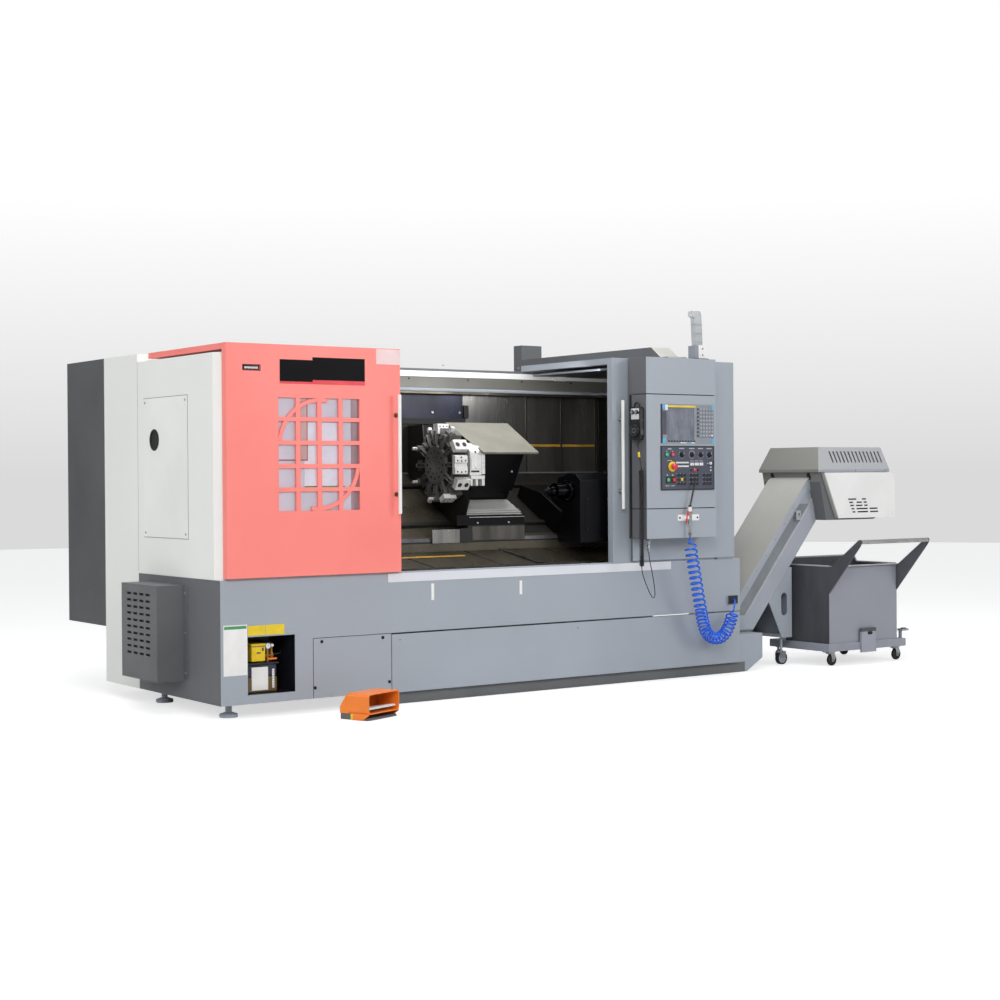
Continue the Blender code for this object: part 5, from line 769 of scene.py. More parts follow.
turnCount = airHose["openTurns"] + airHose["closeTurns"]
hoseCoil = coilPoints(
    airHose["route"], airHose["coil"], hoseTurns, turnCount * 22, 1.0, Vector((0.0, -1.0, 0.0))
)
hoseLine = [Vector(p) for p in airHose["first"]] + hoseCoil + smoothLine(airHose["last"], 16)
cordCurve("airHose", hoseLine, airHose["diameter"], "blueHose", "air_hose")

curlShape = pendantCord["curl"]
cordCoil = coilPoints(
    curlShape, pendantCord["coil"], lambda share: share * pendantCord["turns"], pendantCord["turns"] * 16,
    1.2, Vector((0.0, -1.0, 0.0))
)
cordLine = smoothLine(pendantCord["first"], 18) + cordCoil + smoothLine(pendantCord["last"], 48)
cordCurve("pendantCord", cordLine, pendantCord["diameter"], "blackCable", "pendant_cord")

print("Floor, backdrop and light")
stageLook = {
    "floorRadius": 21.0,
    "floor": "D2D2D2",
    "horizon": "DADADA",
    "zenith": "FFFFFF",
    "skyLevel": 0.4,
    "floorGlow": 0.62,
    "chamberWatts": 4.0,
    "leftWatts": 62.0,
    "keyWatts": 265.0,
    "fillWatts": 130.0,
    "topWatts": 190.0,
}


def softLight(name, place, target, size, watts):
    lamp = bpy.data.lights.new(name, "AREA")
    lamp.shape = "RECTANGLE"
    lamp.size, lamp.size_y = size
    lamp.energy = watts
    made = bpy.data.objects.new(name, lamp)
    away = Vector(target) - Vector(place)
    turn = away.to_track_quat("-Z", "Y").to_matrix().to_4x4()
    made.matrix_world = Matrix.Translation(shopOrigin + Vector(place)) @ turn
    bpy.context.scene.collection.objects.link(made)
    return made


def makeStage(look):
    bm = bmesh.new()
    bmesh.ops.create_circle(bm, cap_ends=True, segments=128, radius=look["floorRadius"])
    mesh = bpy.data.meshes.new("floor")
    bm.to_mesh(mesh)
    bm.free()
    floor = bpy.data.objects.new("floor", mesh)
    floor.location = (0.0, 0.0, -0.0005)
    bpy.context.scene.collection.objects.link(floor)
    material = bpy.data.materials.new("floorPaint")
    material.use_nodes = True
    shader = material.node_tree.nodes["Principled BSDF"]
    shader.inputs["Base Color"].default_value = linear(look["floor"])
    shader.inputs["Roughness"].default_value = 0.6
    tree = material.node_tree
    seenBy = addNode(tree, "LightPath")
    strength = addNode(tree, "Math", {"operation": "MULTIPLY"}, {0: (seenBy, "Is Camera Ray")})
    strength.inputs[1].default_value = look["floorGlow"]
    glow = addNode(tree, "Emission", links={"Strength": (strength, 0)})
    both = addNode(tree, "AddShader", links={0: (shader, 0), 1: (glow, 0)})
    tree.links.new(both.outputs[0], tree.nodes["Material Output"].inputs["Surface"])
    mesh.materials.append(material)
    lamps = [
        softLight("keyLight", (-3.0, -6.6, 4.4), (1.6, 0.2, 0.9), (3.6, 2.6), look["keyWatts"]),
        softLight("fillLight", (5.5, -6.0, 3.2), (2.0, 0.2, 0.9), (3.0, 2.4), look["fillWatts"]),
        softLight("topLight", (1.8, 0.2, 5.2), (1.8, 0.3, 0.0), (5.5, 3.0), look["topWatts"]),
        softLight("leftLight", (-4.5, 1.3, 2.2), (0.0, 0.9, 0.9), (2.5, 2.0), look["leftWatts"]),
        softLight("chamberLight", (2.0, 0.2, 1.74), (2.05, 0.86, 1.25), (1.3, 0.12), look["chamberWatts"]),
    ]
    world = bpy.data.worlds.new("studio")
    bpy.context.scene.world = world
    world.use_nodes = True
    tree = world.node_tree
    tree.nodes.clear()
    place = addNode(tree, "TexCoord")
    apart = addNode(tree, "SeparateXYZ", links={"Vector": (place, "Generated")})
    rise = addNode(tree, "MapRange", {"From Min": 0.0, "From Max": 0.15}, {"Value": (apart, "Z")})
    wall = mixColours(tree, (rise, "Result"), linear(look["horizon"]), linear(look["zenith"]))
    seen = addNode(tree, "Background", {"Strength": 1.0})
    tree.links.new(wall.outputs[2], seen.inputs["Color"])
    light = addNode(tree, "Background", {"Color": linear("F2F4F6"), "Strength": look["skyLevel"]})
    path = addNode(tree, "LightPath")
    direct = addNode(
        tree, "Math", {"operation": "MAXIMUM"}, {0: (path, "Is Camera Ray"), 1: (path, "Is Transmission Ray")}
    )
    mix = addNode(tree, "MixShader", links={0: (direct, 0), 1: (light, 0), 2: (seen, 0)})
    addNode(tree, "OutputWorld", links={"Surface": (mix, 0)})


makeStage(stageLook)

print("Chamber lining")
chamber = {
    "wallY": 0.9,
    "wallBottom": 0.9,
    "wallTop": 1.653,
    "sheetMm": 1.5,
    "beamY": 0.845,
    "seams": [2.492, 2.756, 3.024],
    "tapeZ": (1.352, 1.366),
    "left": 0.802,
    "right": 3.088,
}


def wallSheet(name, left, right, low, high, finish):
    thick = chamber["sheetMm"] / 1000.0
    y = chamber["wallY"]
    piece(name, [block((left, y - thick, low), (right, y - 0.0001, high))], finish, edgeMm=0.4)


def lineChamber():
    y, low, top = chamber["wallY"], chamber["wallBottom"] + 0.3, chamber["wallTop"]
    # the upper left sheet carries a painted violet reflection
    wallSheet("wallSheetLeft", chamber["left"], 2.028, 1.512, top, "violetReflectionSheet")
    wallSheet("wallSheetLower", chamber["left"], 2.028, low, 1.478, "darkChamberSheet")
    # the bright sheet is a painted reflection
    wallSheet("wallSheetBright", 2.03, chamber["seams"][0] - 0.001, low, top, "reflectionBrushedSheet")
    for i, (left, right) in enumerate(zip(chamber["seams"], chamber["seams"][1:])):
        wallSheet(f"wallSheetRight{i}", left + 0.001, right - 0.001, low, top, "brushedDarkSheet")
    piece(
        "wallLedge", [block((chamber["left"], y - 0.014, 1.479), (2.04, y - 0.0002, 1.511))], "blackInterior",
        edgeMm=1,
    )
    piece(
        "wallNotch", [block((2.029, y - 0.016, 1.515), (2.062, y - 0.0016, 1.592))], "blackInterior", edgeMm=1
    )
    seamCovers = [
        block((x - 0.006, y - 0.004, low), (x + 0.006, y - 0.0014, top)) for x in chamber["seams"]
    ]
    piece("wallSeamCovers", seamCovers, "brushedChamberSheet", edgeMm=0.8)
    tape = [
        block(
            (left + 0.008, y - 0.0026, chamber["tapeZ"][0]), (right - 0.008, y - 0.0014, chamber["tapeZ"][1])
        )
        for left, right in zip(chamber["seams"], chamber["seams"][1:])
    ]
    piece("wallTape", tape, "yellowSeamTape")
    piece(
        "wallColumn", [block((3.034, y - 0.02, low), (3.087, y - 0.0002, top))], "darkChamberSheet", edgeMm=2
    )
    addScrews(
        "wallScrewsLeft", "Y", [(x, y - 0.0015, 1.549) for x in (1.45, 1.815, 2.005)], 0.0075, -0.005,
        "zincPlate",
    )
    addScrews(
        "wallScrewsRight", "Y", [(x, y - 0.02, z) for x in (3.044, 3.076) for z in (1.632, 1.455, 1.27)],
        0.007, -0.005, "blackOxide",
    )
    # right side wall and roof of the chamber
    side = [(0.059, 0.765), (0.3, 0.79), (0.335, 0.88), (0.88, 1.192), (0.88, 1.765), (0.059, 1.765)]
    piece(
        "sideSheetRight", [prism("X", side, chamber["right"] - 0.0018, chamber["right"] - 0.0002)],
        "darkChamberSheet",
    )
    piece("roofLiner", [block((2.502, 0.06, 1.7725), (3.086, 0.842, 1.7737))], "darkChamberSheet")


def dressBeam():
    y = chamber["beamY"]
    left, right = chamber["left"] + 0.002, chamber["right"] - 0.002
    piece(
        "beamStrip", [block((left, y - 0.004, 1.752), (right, y - 0.0002, 1.785))], "glossWhiteEnamel",
        edgeMm=0.8,
    )
    piece(
        "beamFace", [block((left, y - 0.002, 1.6885), (right, y - 0.0002, 1.751))], "beamEnamel", edgeMm=0.5
    )
    lip = [
        (y - 0.0002, 1.668), (y - 0.01, 1.668), (y - 0.012, 1.672), (y - 0.012, 1.683), (y - 0.0002, 1.688)
    ]
    piece("beamLip", [prism("X", lip, left, right)], "greyPowderCoat", edgeMm=0.8)
    piece(
        "beamUnderLip", [block((left, y - 0.005, 1.6542), (right, y - 0.0002, 1.6675))], "oiledPanSheet",
        edgeMm=0.8,
    )
    # linear guide rods of the doors on their small blocks
    rods = [rod("X", (y + 0.011, 1.7925), 0.0045, a, b, 12) for a, b in ((1.05, 1.69), (1.955, 2.43))]
    piece("beamGuideRods", rods, "machinedSteel")
    piece("beamLamp", [block((2.655, y - 0.032, 1.748), (2.735, y - 0.0041, 1.784))], "plainPlate", edgeMm=3)
    addScrews(
        "beamScrews", "Y", [(x, y - 0.002, 1.738) for x in (1.2, 1.62, 2.03, 2.42, 2.79)], 0.005, -0.003,
        "blackOxide",
    )


lineChamber()
dressBeam()

print("Chip pan")
slopeAngle = math.radians(30.0)
spindle = (0.186, 1.088)  # Y and Z of the spindle line


def slant(u, n):  # Y and Z of a point u up the slope of the bed and n above it
    return (
        spindle[0] + u * math.cos(slopeAngle) - n * math.sin(slopeAngle),
        spindle[1] + u * math.sin(slopeAngle) + n * math.cos(slopeAngle),
    )


pan = {"foot": (0.14, 0.684), "knee": (0.3, 0.765), "seams": [1.34, 1.79, 2.33], "lean": 0.16}


def dressPan():
    foot, knee = pan["foot"], pan["knee"]

    def onPan(share, lift):
        rise = math.atan2(knee[1] - foot[1], knee[0] - foot[0])
        y = foot[0] + (knee[0] - foot[0]) * share - lift * math.sin(rise)
        return y, foot[1] + (knee[1] - foot[1]) * share + lift * math.cos(rise)

    def strip(x0, x1, share0, share1, lift0, lift1, lean=0.0):
        # a thin strip on the sloping plate; lean carries its upper end to the left
        def draw(bm):
            corners = []
            for lift in (lift0, lift1):
                for x, share in ((x0, share0), (x1, share0), (x1 - lean, share1), (x0 - lean, share1)):
                    corners.append(bm.verts.new((x, *onPan(share, lift))))
            skin(bm, [corners[:4], corners[4:]])
        return draw

    seams = [strip(x - 0.006, x + 0.006, 0.01, 0.99, 0.0002, 0.002, pan["lean"]) for x in pan["seams"]]
    piece("panSeams", seams, "blackInterior")
    piece("panTape", [strip(0.82, 1.6, 0.66, 0.74, 0.0015, 0.0026)], "yellowSeamTape")
    piece(
        "panRail", [strip(2.02, 2.055, 0.05, 0.98, 0.0016, 0.012, pan["lean"])], "brushedChamberSheet",
        edgeMm=1,
    )
    kneeTop = slant(0.0, -0.272)[1] + (0.3 - slant(0.0, -0.272)[0]) * math.tan(slopeAngle)
    kneeLine = 0.769 + 0.6 * (kneeTop - 0.769)
    piece("kneeFoot", [block((0.805, 0.298, 0.769), (3.085, 0.2998, kneeLine))], "oiledPanSheet", edgeMm=0.5)
    piece("kneeSeam", [block((0.805, 0.2972, kneeLine), (3.085, 0.2998, kneeLine + 0.008))], "blackInterior")
    piece(
        "kneeSheet", [block((0.805, 0.2975, kneeLine + 0.008), (3.085, 0.2998, kneeTop - 0.001))],
        "kneeSteel", edgeMm=0.5,
    )
    plates = {"oiledPanSheet": [], "darkChamberSheet": []}
    for left, right in ((0.806, 1.2), (1.204, 1.62), (1.624, 2.06), (2.064, 2.52), (2.524, 3.084)):
        for u0, u1 in ((0.0, 0.082), (0.118, 0.5), (0.538, 0.68)):
            corners = [slant(u0, -0.2719), slant(u1, -0.2719), slant(u1, -0.2705), slant(u0, -0.2705)]
            finish = "darkChamberSheet" if left > 1.3 else "oiledPanSheet"
            plates[finish].append(prism("X", corners, left, right))
    for i, finish in enumerate(plates):
        piece(f"wayPlates{i + 1}", plates[finish], finish, edgeMm=0.5)
    piece("chipSlotEdge", [block((1.0, 0.1375, 0.6785), (2.48, 0.1395, 0.69))], "brushedChamberSheet")


dressPan()

print("Turret")
turret = {
    "centre": slant(0.3, 0.0),
    "face": 1.55,
    "end": 1.638,
    "radius": 0.165,
    "stations": 12,
}


def makeTurret():
    y, z = turret["centre"]
    face, end, radius = turret["face"], turret["end"], turret["radius"]
    profile = [
        (face - 0.013, 0.0), (face - 0.013, 0.026), (face - 0.015, 0.03), (face - 0.015, 0.104),
        (face - 0.01, 0.11), (face, 0.111), (face, radius - 0.016), (face + 0.01, radius),
        (end - 0.006, radius), (end, radius - 0.02), (end, 0.0),
    ]
    disc = [turned("X", (y, z), profile, 48)]
    piece("turretDisc", disc, "phosphatedSteel", body="turret", replaces=("turret_disc",))
    holders, arms, bright, holes, screws = [], [], [], [], []
    axle = (0.0, y, z)
    for station in range(turret["stations"]):
        turn = about("X", math.radians(30.0 * station), axle)
        degrees = (30 * station) % 360

        def put(group, shape):
            group.append(moved(shape, turn))

        def lug(group, x0, x1, y0, y1, half, lift=0.0):
            # a block on the station: X from the disc's face, Y out from its axis, half its height in Z
            put(group, block((face + x0, y + y0, z + lift - half), (face + x1, y + y1, z + lift + half)))

        lug(arms, -0.014, 0.004, 0.105, 0.19, 0.013)
        for side in (-1, 1):
            lug(arms, -0.02, -0.012, 0.112, 0.186, 0.002, side * 0.01)
        put(holes, rod("X", (y + 0.076, z), 0.0075, face - 0.0156, face - 0.01, 16))
        put(
            holders, block((face + 0.006, y + radius - 0.006, z - 0.029), (end - 0.006, y + 0.204, z + 0.029))
        )
        for side in (-1, 1):
            put(screws, screwHead("X", (face - 0.0005, y + 0.132, z + side * 0.026), 0.0065, -0.007))
            put(screws, screwHead("X", (face - 0.014, y + 0.112 + 0.05 * (side > 0), z), 0.0055, -0.006))
        if degrees in (150, 210):  # boring-bar blocks with two bores, seen from the operator's side
            aside = 0.034 if degrees == 150 else 0.046
            lug(bright, aside - 0.048, aside + 0.04, 0.186, 0.222, 0.031)
            for x in (face - 0.026 + aside, face + 0.018 + aside):
                put(holes, rod("Y", (x, z), 0.0135, y + 0.218, y + 0.2226, 20))
        elif degrees == 180:  # clamped turning-tool block: two clamp bars with their screws
            lug(bright, -0.022, 0.06, 0.184, 0.206, 0.052)
            for side in (-1, 1):
                lug(bright, -0.028, 0.054, 0.206, 0.221, 0.019, side * 0.03)
                spots = ((-0.012, 0.008), (0.014, 0.01), (0.04, 0.008), (0.012, -0.01))
                for dx, dz in spots[: 4 if side < 0 else 3]:
                    put(
                        holes, rod("Y", (face + dx, z + side * 0.03 + dz), 0.0052, y + 0.2195, y + 0.2215, 12)
                    )
        elif degrees == 90:  # tall end block on top, its screws to the front
            lug(bright, -0.01, 0.062, 0.172, 0.228, 0.024)
            for dx, dy in ((0.004, 0.214), (0.027, 0.214), (0.05, 0.214), (0.027, 0.196)):
                put(holes, rod("Z", (face + dx, y + dy), 0.0042, z + 0.0225, z + 0.0246, 12))
        elif degrees == 240:  # end blocks with rows of screws
            lug(bright, -0.04, 0.04, 0.196, 0.224, 0.024)
            for dx in (-0.026, 0.0, 0.026):
                for dz in (-0.01, 0.01):
                    put(holes, rod("Y", (face + dx, z + dz), 0.0048, y + 0.2225, y + 0.2245, 12))
        else:  # square-shank turning tools and sleeves
            if station % 2:
                put(holders, rod("X", (y + 0.186, z), 0.018, face - 0.03, face + 0.06, 20))
                put(bright, rod("X", (y + 0.186, z), 0.009, face - 0.058, face - 0.029, 16))
            else:
                lug(bright, 0.014, 0.036, 0.176, 0.238, 0.01)
                lug(holders, 0.01, 0.04, 0.196, 0.214, 0.0075, 0.0185)
    for step in range(8):
        spot = moved(
            screwHead("X", (face - 0.015, y + 0.048, z), 0.004, -0.004),
            about("X", math.radians(45 * step + 22.5), axle)
        )
        screws.append(spot)
    gaps = [ring("X", turret["centre"], 0.1115, radius - 0.018, face - 0.0008, face + 0.001, 48)]
    piece("turretGaps", gaps, "darkChamberSheet", body="turret")
    piece("turretHolders", holders, "phosphatedSteel", body="turret", edgeMm=1.2)
    piece("turretArms", arms, "phosphatedSteel", body="turret", edgeMm=1.2)
    piece("turretBlocks", bright, "groundToolSteel", body="turret", edgeMm=1.0)
    piece("turretBores", holes, "blackInterior", body="turret")
    piece("turretScrews", screws, "blackOxide", body="turret")


makeTurret()

print("Cross slide and saddle")
slide = {
    "left": 1.656, "driveRight": 2.04, "coverN": 0.166, "coverRight": (2.092, 2.088),
    "coverLeft": (1.716, 1.662),
}


def bar(u0, u1, n0, n1, x0, x1):
    return prism("X", [slant(u0, n0), slant(u1, n0), slant(u1, n1), slant(u0, n1)], x0, x1)


def coverPlate(u0, u1, n0, n1, left, right):
    # left and right are each (X at the lower edge, X at the upper edge)
    def draw(bm):
        corners = []
        for n in (n0, n1):
            for x, u in ((left[0], u0), (right[0], u0), (right[1], u1), (left[1], u1)):
                corners.append(bm.verts.new((x, *slant(u, n))))
        skin(bm, [corners[:4], corners[4:]])
    return draw


def makeSlide():
    left, right, n = slide["left"], slide["driveRight"], slide["coverN"]
    housing = prism(
        "X", [slant(*c) for c in ((0.215, -0.12), (0.43, -0.12), (0.43, 0.15), (0.21, 0.15), (0.16, 0.06))],
        left, 1.762
    )
    base = bar(0.215, 0.52, -0.1717, -0.11, left, 2.03)
    piece(
        "crossSlideBody", [base, housing, bar(0.205, 0.47, -0.115, 0.148, 1.75, right)], "blackGlossEnamel",
        body="cross_slide", edgeMm=2, replaces=("cross_slide",),
    )
    side = [
        slant(*c) for c in ((0.219, -0.116), (0.426, -0.116), (0.426, 0.146), (0.214, 0.146), (0.166, 0.059))
    ]
    piece(
        "slideSidePlate", [prism("X", side, left - 0.003, left + 0.0005)], "slideSteel", body="cross_slide",
        edgeMm=1,
    )
    shaft = rod("X", slant(0.3, 0.0), 0.06, turret["end"] + 0.0005, left + 0.01, 32)
    piece("turretShaft", [shaft], "machinedSteel", body="cross_slide")
    cover = [
        coverPlate(0.15, 0.492, n - 0.004, n, slide["coverLeft"], slide["coverRight"]),
        coverPlate(0.15, 0.154, n - 0.012, n - 0.004, (1.716, 1.716), (2.092, 2.092)),
        coverPlate(0.154, 0.492, n - 0.014, n - 0.004, (2.088, 2.084), (2.092, 2.088)),
    ]
    piece("slideCover", cover, "blastedCoverSheet", body="cross_slide", edgeMm=0.8)
    # white drive housing in front of the turret's bearing, with its window, slot and sight hole
    outline = [(0.262, 1.18), (0.262, 1.312), (0.284, 1.338), (0.335, 1.36), (0.4, 1.36), (0.4, 1.18)]
    shell = [prism("X", outline, 1.644, 1.722)]
    wedge = [(0.262, 1.186), (0.262, 1.306), (0.284, 1.33), (0.33, 1.348), (0.33, 1.186)]
    shell.append(prism("X", wedge, 1.722, 1.746))
    piece("whiteHousing", shell, "groundToolSteel", body="cross_slide", edgeMm=3)
    frameBars = [
        block((1.65, 0.2595, 1.216), (1.738, 0.2622, 1.2205)),
        block((1.65, 0.2595, 1.2995), (1.738, 0.2622, 1.3035)),
        block((1.65, 0.2595, 1.2205), (1.654, 0.2622, 1.2995)),
        block((1.734, 0.2595, 1.2205), (1.738, 0.2622, 1.2995)),
    ]
    piece("whiteHousingFrame", frameBars, "groundToolSteel", body="cross_slide", edgeMm=0.8)
    marks = [
        block((1.652, 0.2612, 1.1965), (1.706, 0.2622, 1.2065)),
        rod("Y", (1.68, 1.3085), 0.006, 0.2595, 0.2622, 16),
    ]
    piece("whiteHousingSlot", marks, "blackInterior", body="cross_slide")
    fork = [
        block((1.65, 0.262, 1.158), (1.744, 0.3, 1.1795)), block((1.65, 0.264, 1.122), (1.664, 0.3, 1.158)),
        block((1.684, 0.264, 1.122), (1.7, 0.3, 1.158)), block((1.726, 0.264, 1.122), (1.744, 0.3, 1.158)),
    ]
    piece("coolantFork", fork, "groundToolSteel", body="cross_slide", edgeMm=2)
    addScrews(
        "slideScrews", "Y", [(x, slant(0.185, -0.02)[0] - 0.001, z) for x, z in ((1.79, 1.2), (1.99, 1.2))],
        0.006, -0.005, "zincPlate", body="cross_slide",
    )


def dressSaddle():
    left, right, n = 1.652, 2.026, -0.172
    ridges = []
    for u0, u1, lift in (
        (0.014, 0.046, 0.004), (0.056, 0.066, 0.01), (0.076, 0.086, 0.01), (0.096, 0.148, 0.004),
        (0.148, 0.206, 0.0002),
    ):
        ridges.append(bar(u0, u1, n - 0.0055 if u0 > 0.05 else n + 0.0002, n + lift, left, right))
    piece("saddleRidges", ridges, "saddleSheet", body="saddle", edgeMm=1.0)
    face = [block((left - 0.082, 0.2835, 0.905), (right, 0.2848, 0.962))]
    piece("saddleFace", face, "blackGlossEnamel", body="saddle", edgeMm=0.6)
    # the band's bright left part is a painted reflection
    piece(
        "saddleBand", [block((1.41, 0.2835, 0.812), (1.588, 0.2848, 0.886))], "reflectionBrushedSheet",
        body="saddle", edgeMm=0.6,
    )
    piece(
        "saddleBandRight", [block((1.672, 0.2835, 0.8235), (right, 0.2848, 0.898))], "brushedChamberSheet",
        body="saddle", edgeMm=0.6,
    )
    piece(
        "saddleBandDark", [block((1.589, 0.2837, 0.812), (1.671, 0.2848, 0.89))], "blackInterior",
        body="saddle",
    )
    addScrews(
        "saddleScrews", "Y", [(x, 0.2835, 0.918) for x in (1.705, 1.915)], 0.006, -0.006, "zincPlate",
        body="saddle",
    )
    wipers = [bar(u - 0.024, u + 0.024, -0.2534, -0.236, right + 0.004, right + 0.014) for u in (0.1, 0.52)]
    piece("saddleWipers", wipers, "yellowEnamel", body="saddle", edgeMm=1)


makeSlide()
dressSaddle()

print("Chuck and tailstock")


def dressChuck():
    y, z = spindle
    rings = [
        ring("X", spindle, 0.096, 0.1253, 0.9, 0.904, 48), ring("X", spindle, 0.036, 0.052, 0.9853, 0.99, 40)
    ]
    piece("chuckRings", rings, "phosphatedSteel", body="chuck", edgeMm=0.6)
    screws = []
    for k in range(3):
        for lean in (-26, 26):
            screws.append(moved(
                screwHead("X", (0.985, y, z + 0.098), 0.008, 0.004),
                about("X", math.radians(60 + 120 * k + lean), (0.0, y, z))
            ))
    piece("chuckScrews", screws, "blackOxide", body="chuck")
    for index in range(3):
        turn = about("X", math.radians(120 * index), (0.0, y, z))
        bolts = [moved(screwHead("X", (1.007, y, z + r), 0.006, 0.004), turn) for r in (0.09, 0.104)]
        steps = [moved(block((1.0295, y - 0.0125, z + 0.047), (1.0315, y + 0.0125, z + 0.062)), turn)]
        piece(f"jawBolts{index + 1}", bolts + steps, "blackOxide", body=f"jaw_{index + 1}")


def dressTailstock():
    # the collar in the same painted shade as the quill
    collar = ring("X", spindle, 0.0456, 0.062, 2.2535, 2.265, 40)
    piece("tailstockCollar", [collar], "shadedQuillSteel", body="tailstock", edgeMm=1)
    panel = [block((2.3, 0.0795, 0.86), (2.54, 0.0818, 1.06))]
    piece("tailstockPlate", panel, "blackGlossEnamel", body="tailstock", edgeMm=1)
    addScrews(
        "tailstockScrews", "Y", [(x, 0.0795, z) for x in (2.315, 2.525) for z in (0.875, 1.045)], 0.006,
        -0.005, "blackOxide", body="tailstock",
    )
    highlight = ring("X", spindle, 0.045, 0.049, 2.2515, 2.254, 40)
    piece("tailstockRing", [highlight], "machinedSteel", body="tailstock")


dressChuck()
dressTailstock()
bpy.data.objects["tailstock"].data.materials[0] = finishes["blackGlossEnamel"]
# the quill drawn almost black: painted shade
bpy.data.objects["quill"].data.materials[0] = finishes["shadedQuillSteel"]

print("Operator station")
display = {"front": -0.169, "keysX": 2.914, "keysZ": 1.388, "pitch": 0.0215, "proud": 0.003}
controls = {
    "front": -0.173,
    "groups": (2.794, 2.888, 2.986),
    "rowZ": 1.149,
    "pitch": 0.024,
    "knobs": (2.796, 2.872, 2.938, 3.003),
    "knobZ": 1.289,
    "stop": (2.724, 1.222),
    "buttons": ((2.684, 1.29), (2.727, 1.29), (2.694, 1.147), (2.736, 1.147)),
    "overrides": (2.872, 2.9065, 2.941),
}


def flush(x0, x1, z0, z1, y, thick=0.0006, sink=0.0004):
    # a thin plate lying on a front face at y, bedded a little into it
    return block((x0, y - thick, z0), (x1, y + sink, z1))


def dressDisplay():
    y = display["front"]
    glass = [block((2.6905, -0.1664, 1.3725), (2.8945, -0.1649, 1.5535))]
    piece("screenPane", glass, "screenGlass")
    piece("displayEdge", [flush(2.646, 2.659, 1.353, 1.573, y)], "blackAbs")
    piece("displayBand", [flush(2.661, 2.6885, 1.402, 1.536, y)], "slateAbs")
    corners = [
        flush(2.658, 2.678, 1.546, 1.571, y, 0.0012), flush(3.027, 3.045, 1.541, 1.571, y, 0.0012),
        flush(2.658, 2.682, 1.355, 1.38, y, 0.0012), flush(3.025, 3.045, 1.355, 1.379, y, 0.0012),
        flush(2.835, 2.872, 1.3535, 1.3595, y, 0.0012),
    ]
    piece("displayCorners", corners, "skyAbs", edgeMm=0.5)
    piece("displayTopBar", [flush(2.7, 2.905, 1.5565, 1.5665, y, 0.0015)], "yellowEnamel", edgeMm=0.4)
    piece(
        "displayPalePlates",
        [
            flush(2.6795, 2.6985, 1.54, 1.5705, y), flush(2.79, 2.8345, 1.3535, 1.3595, y),
            flush(2.8725, 2.897, 1.3535, 1.3595, y),
        ],
        "paleAbs",
    )
    top = y - display["proud"]
    darkKeys, paleCaps = [], []
    for row in range(8):
        z = display["keysZ"] + display["pitch"] * row
        for column in range(6):
            x = display["keysX"] + display["pitch"] * column
            if column == 0:
                darkKeys.append(flush(x + 0.0005, x + 0.0115, z + 0.002, z + 0.014, top))
            else:
                paleCaps.append(flush(x + 0.002, x + 0.014, z + 0.0085, z + 0.0135, top, 0.0005))
                darkKeys.append(flush(x + 0.0005, x + 0.0155, z - 0.0014, z + 0.0001, top + 0.002, 0.0005))
    for column in range(10):
        x = 2.697 + 0.0209 * column
        darkKeys.append(flush(x, x + 0.0145, 1.3605, 1.3695, y, 0.0018))
    piece("displayDarkKeys", darkKeys, "blackAbs")
    piece("displayKeyCaps", paleCaps, "greyCapAbs")
    piece("displayWhiteKey", [rod("Y", (3.026, 1.399), 0.006, top - 0.0012, top + 0.001, 16)], "paleAbs")


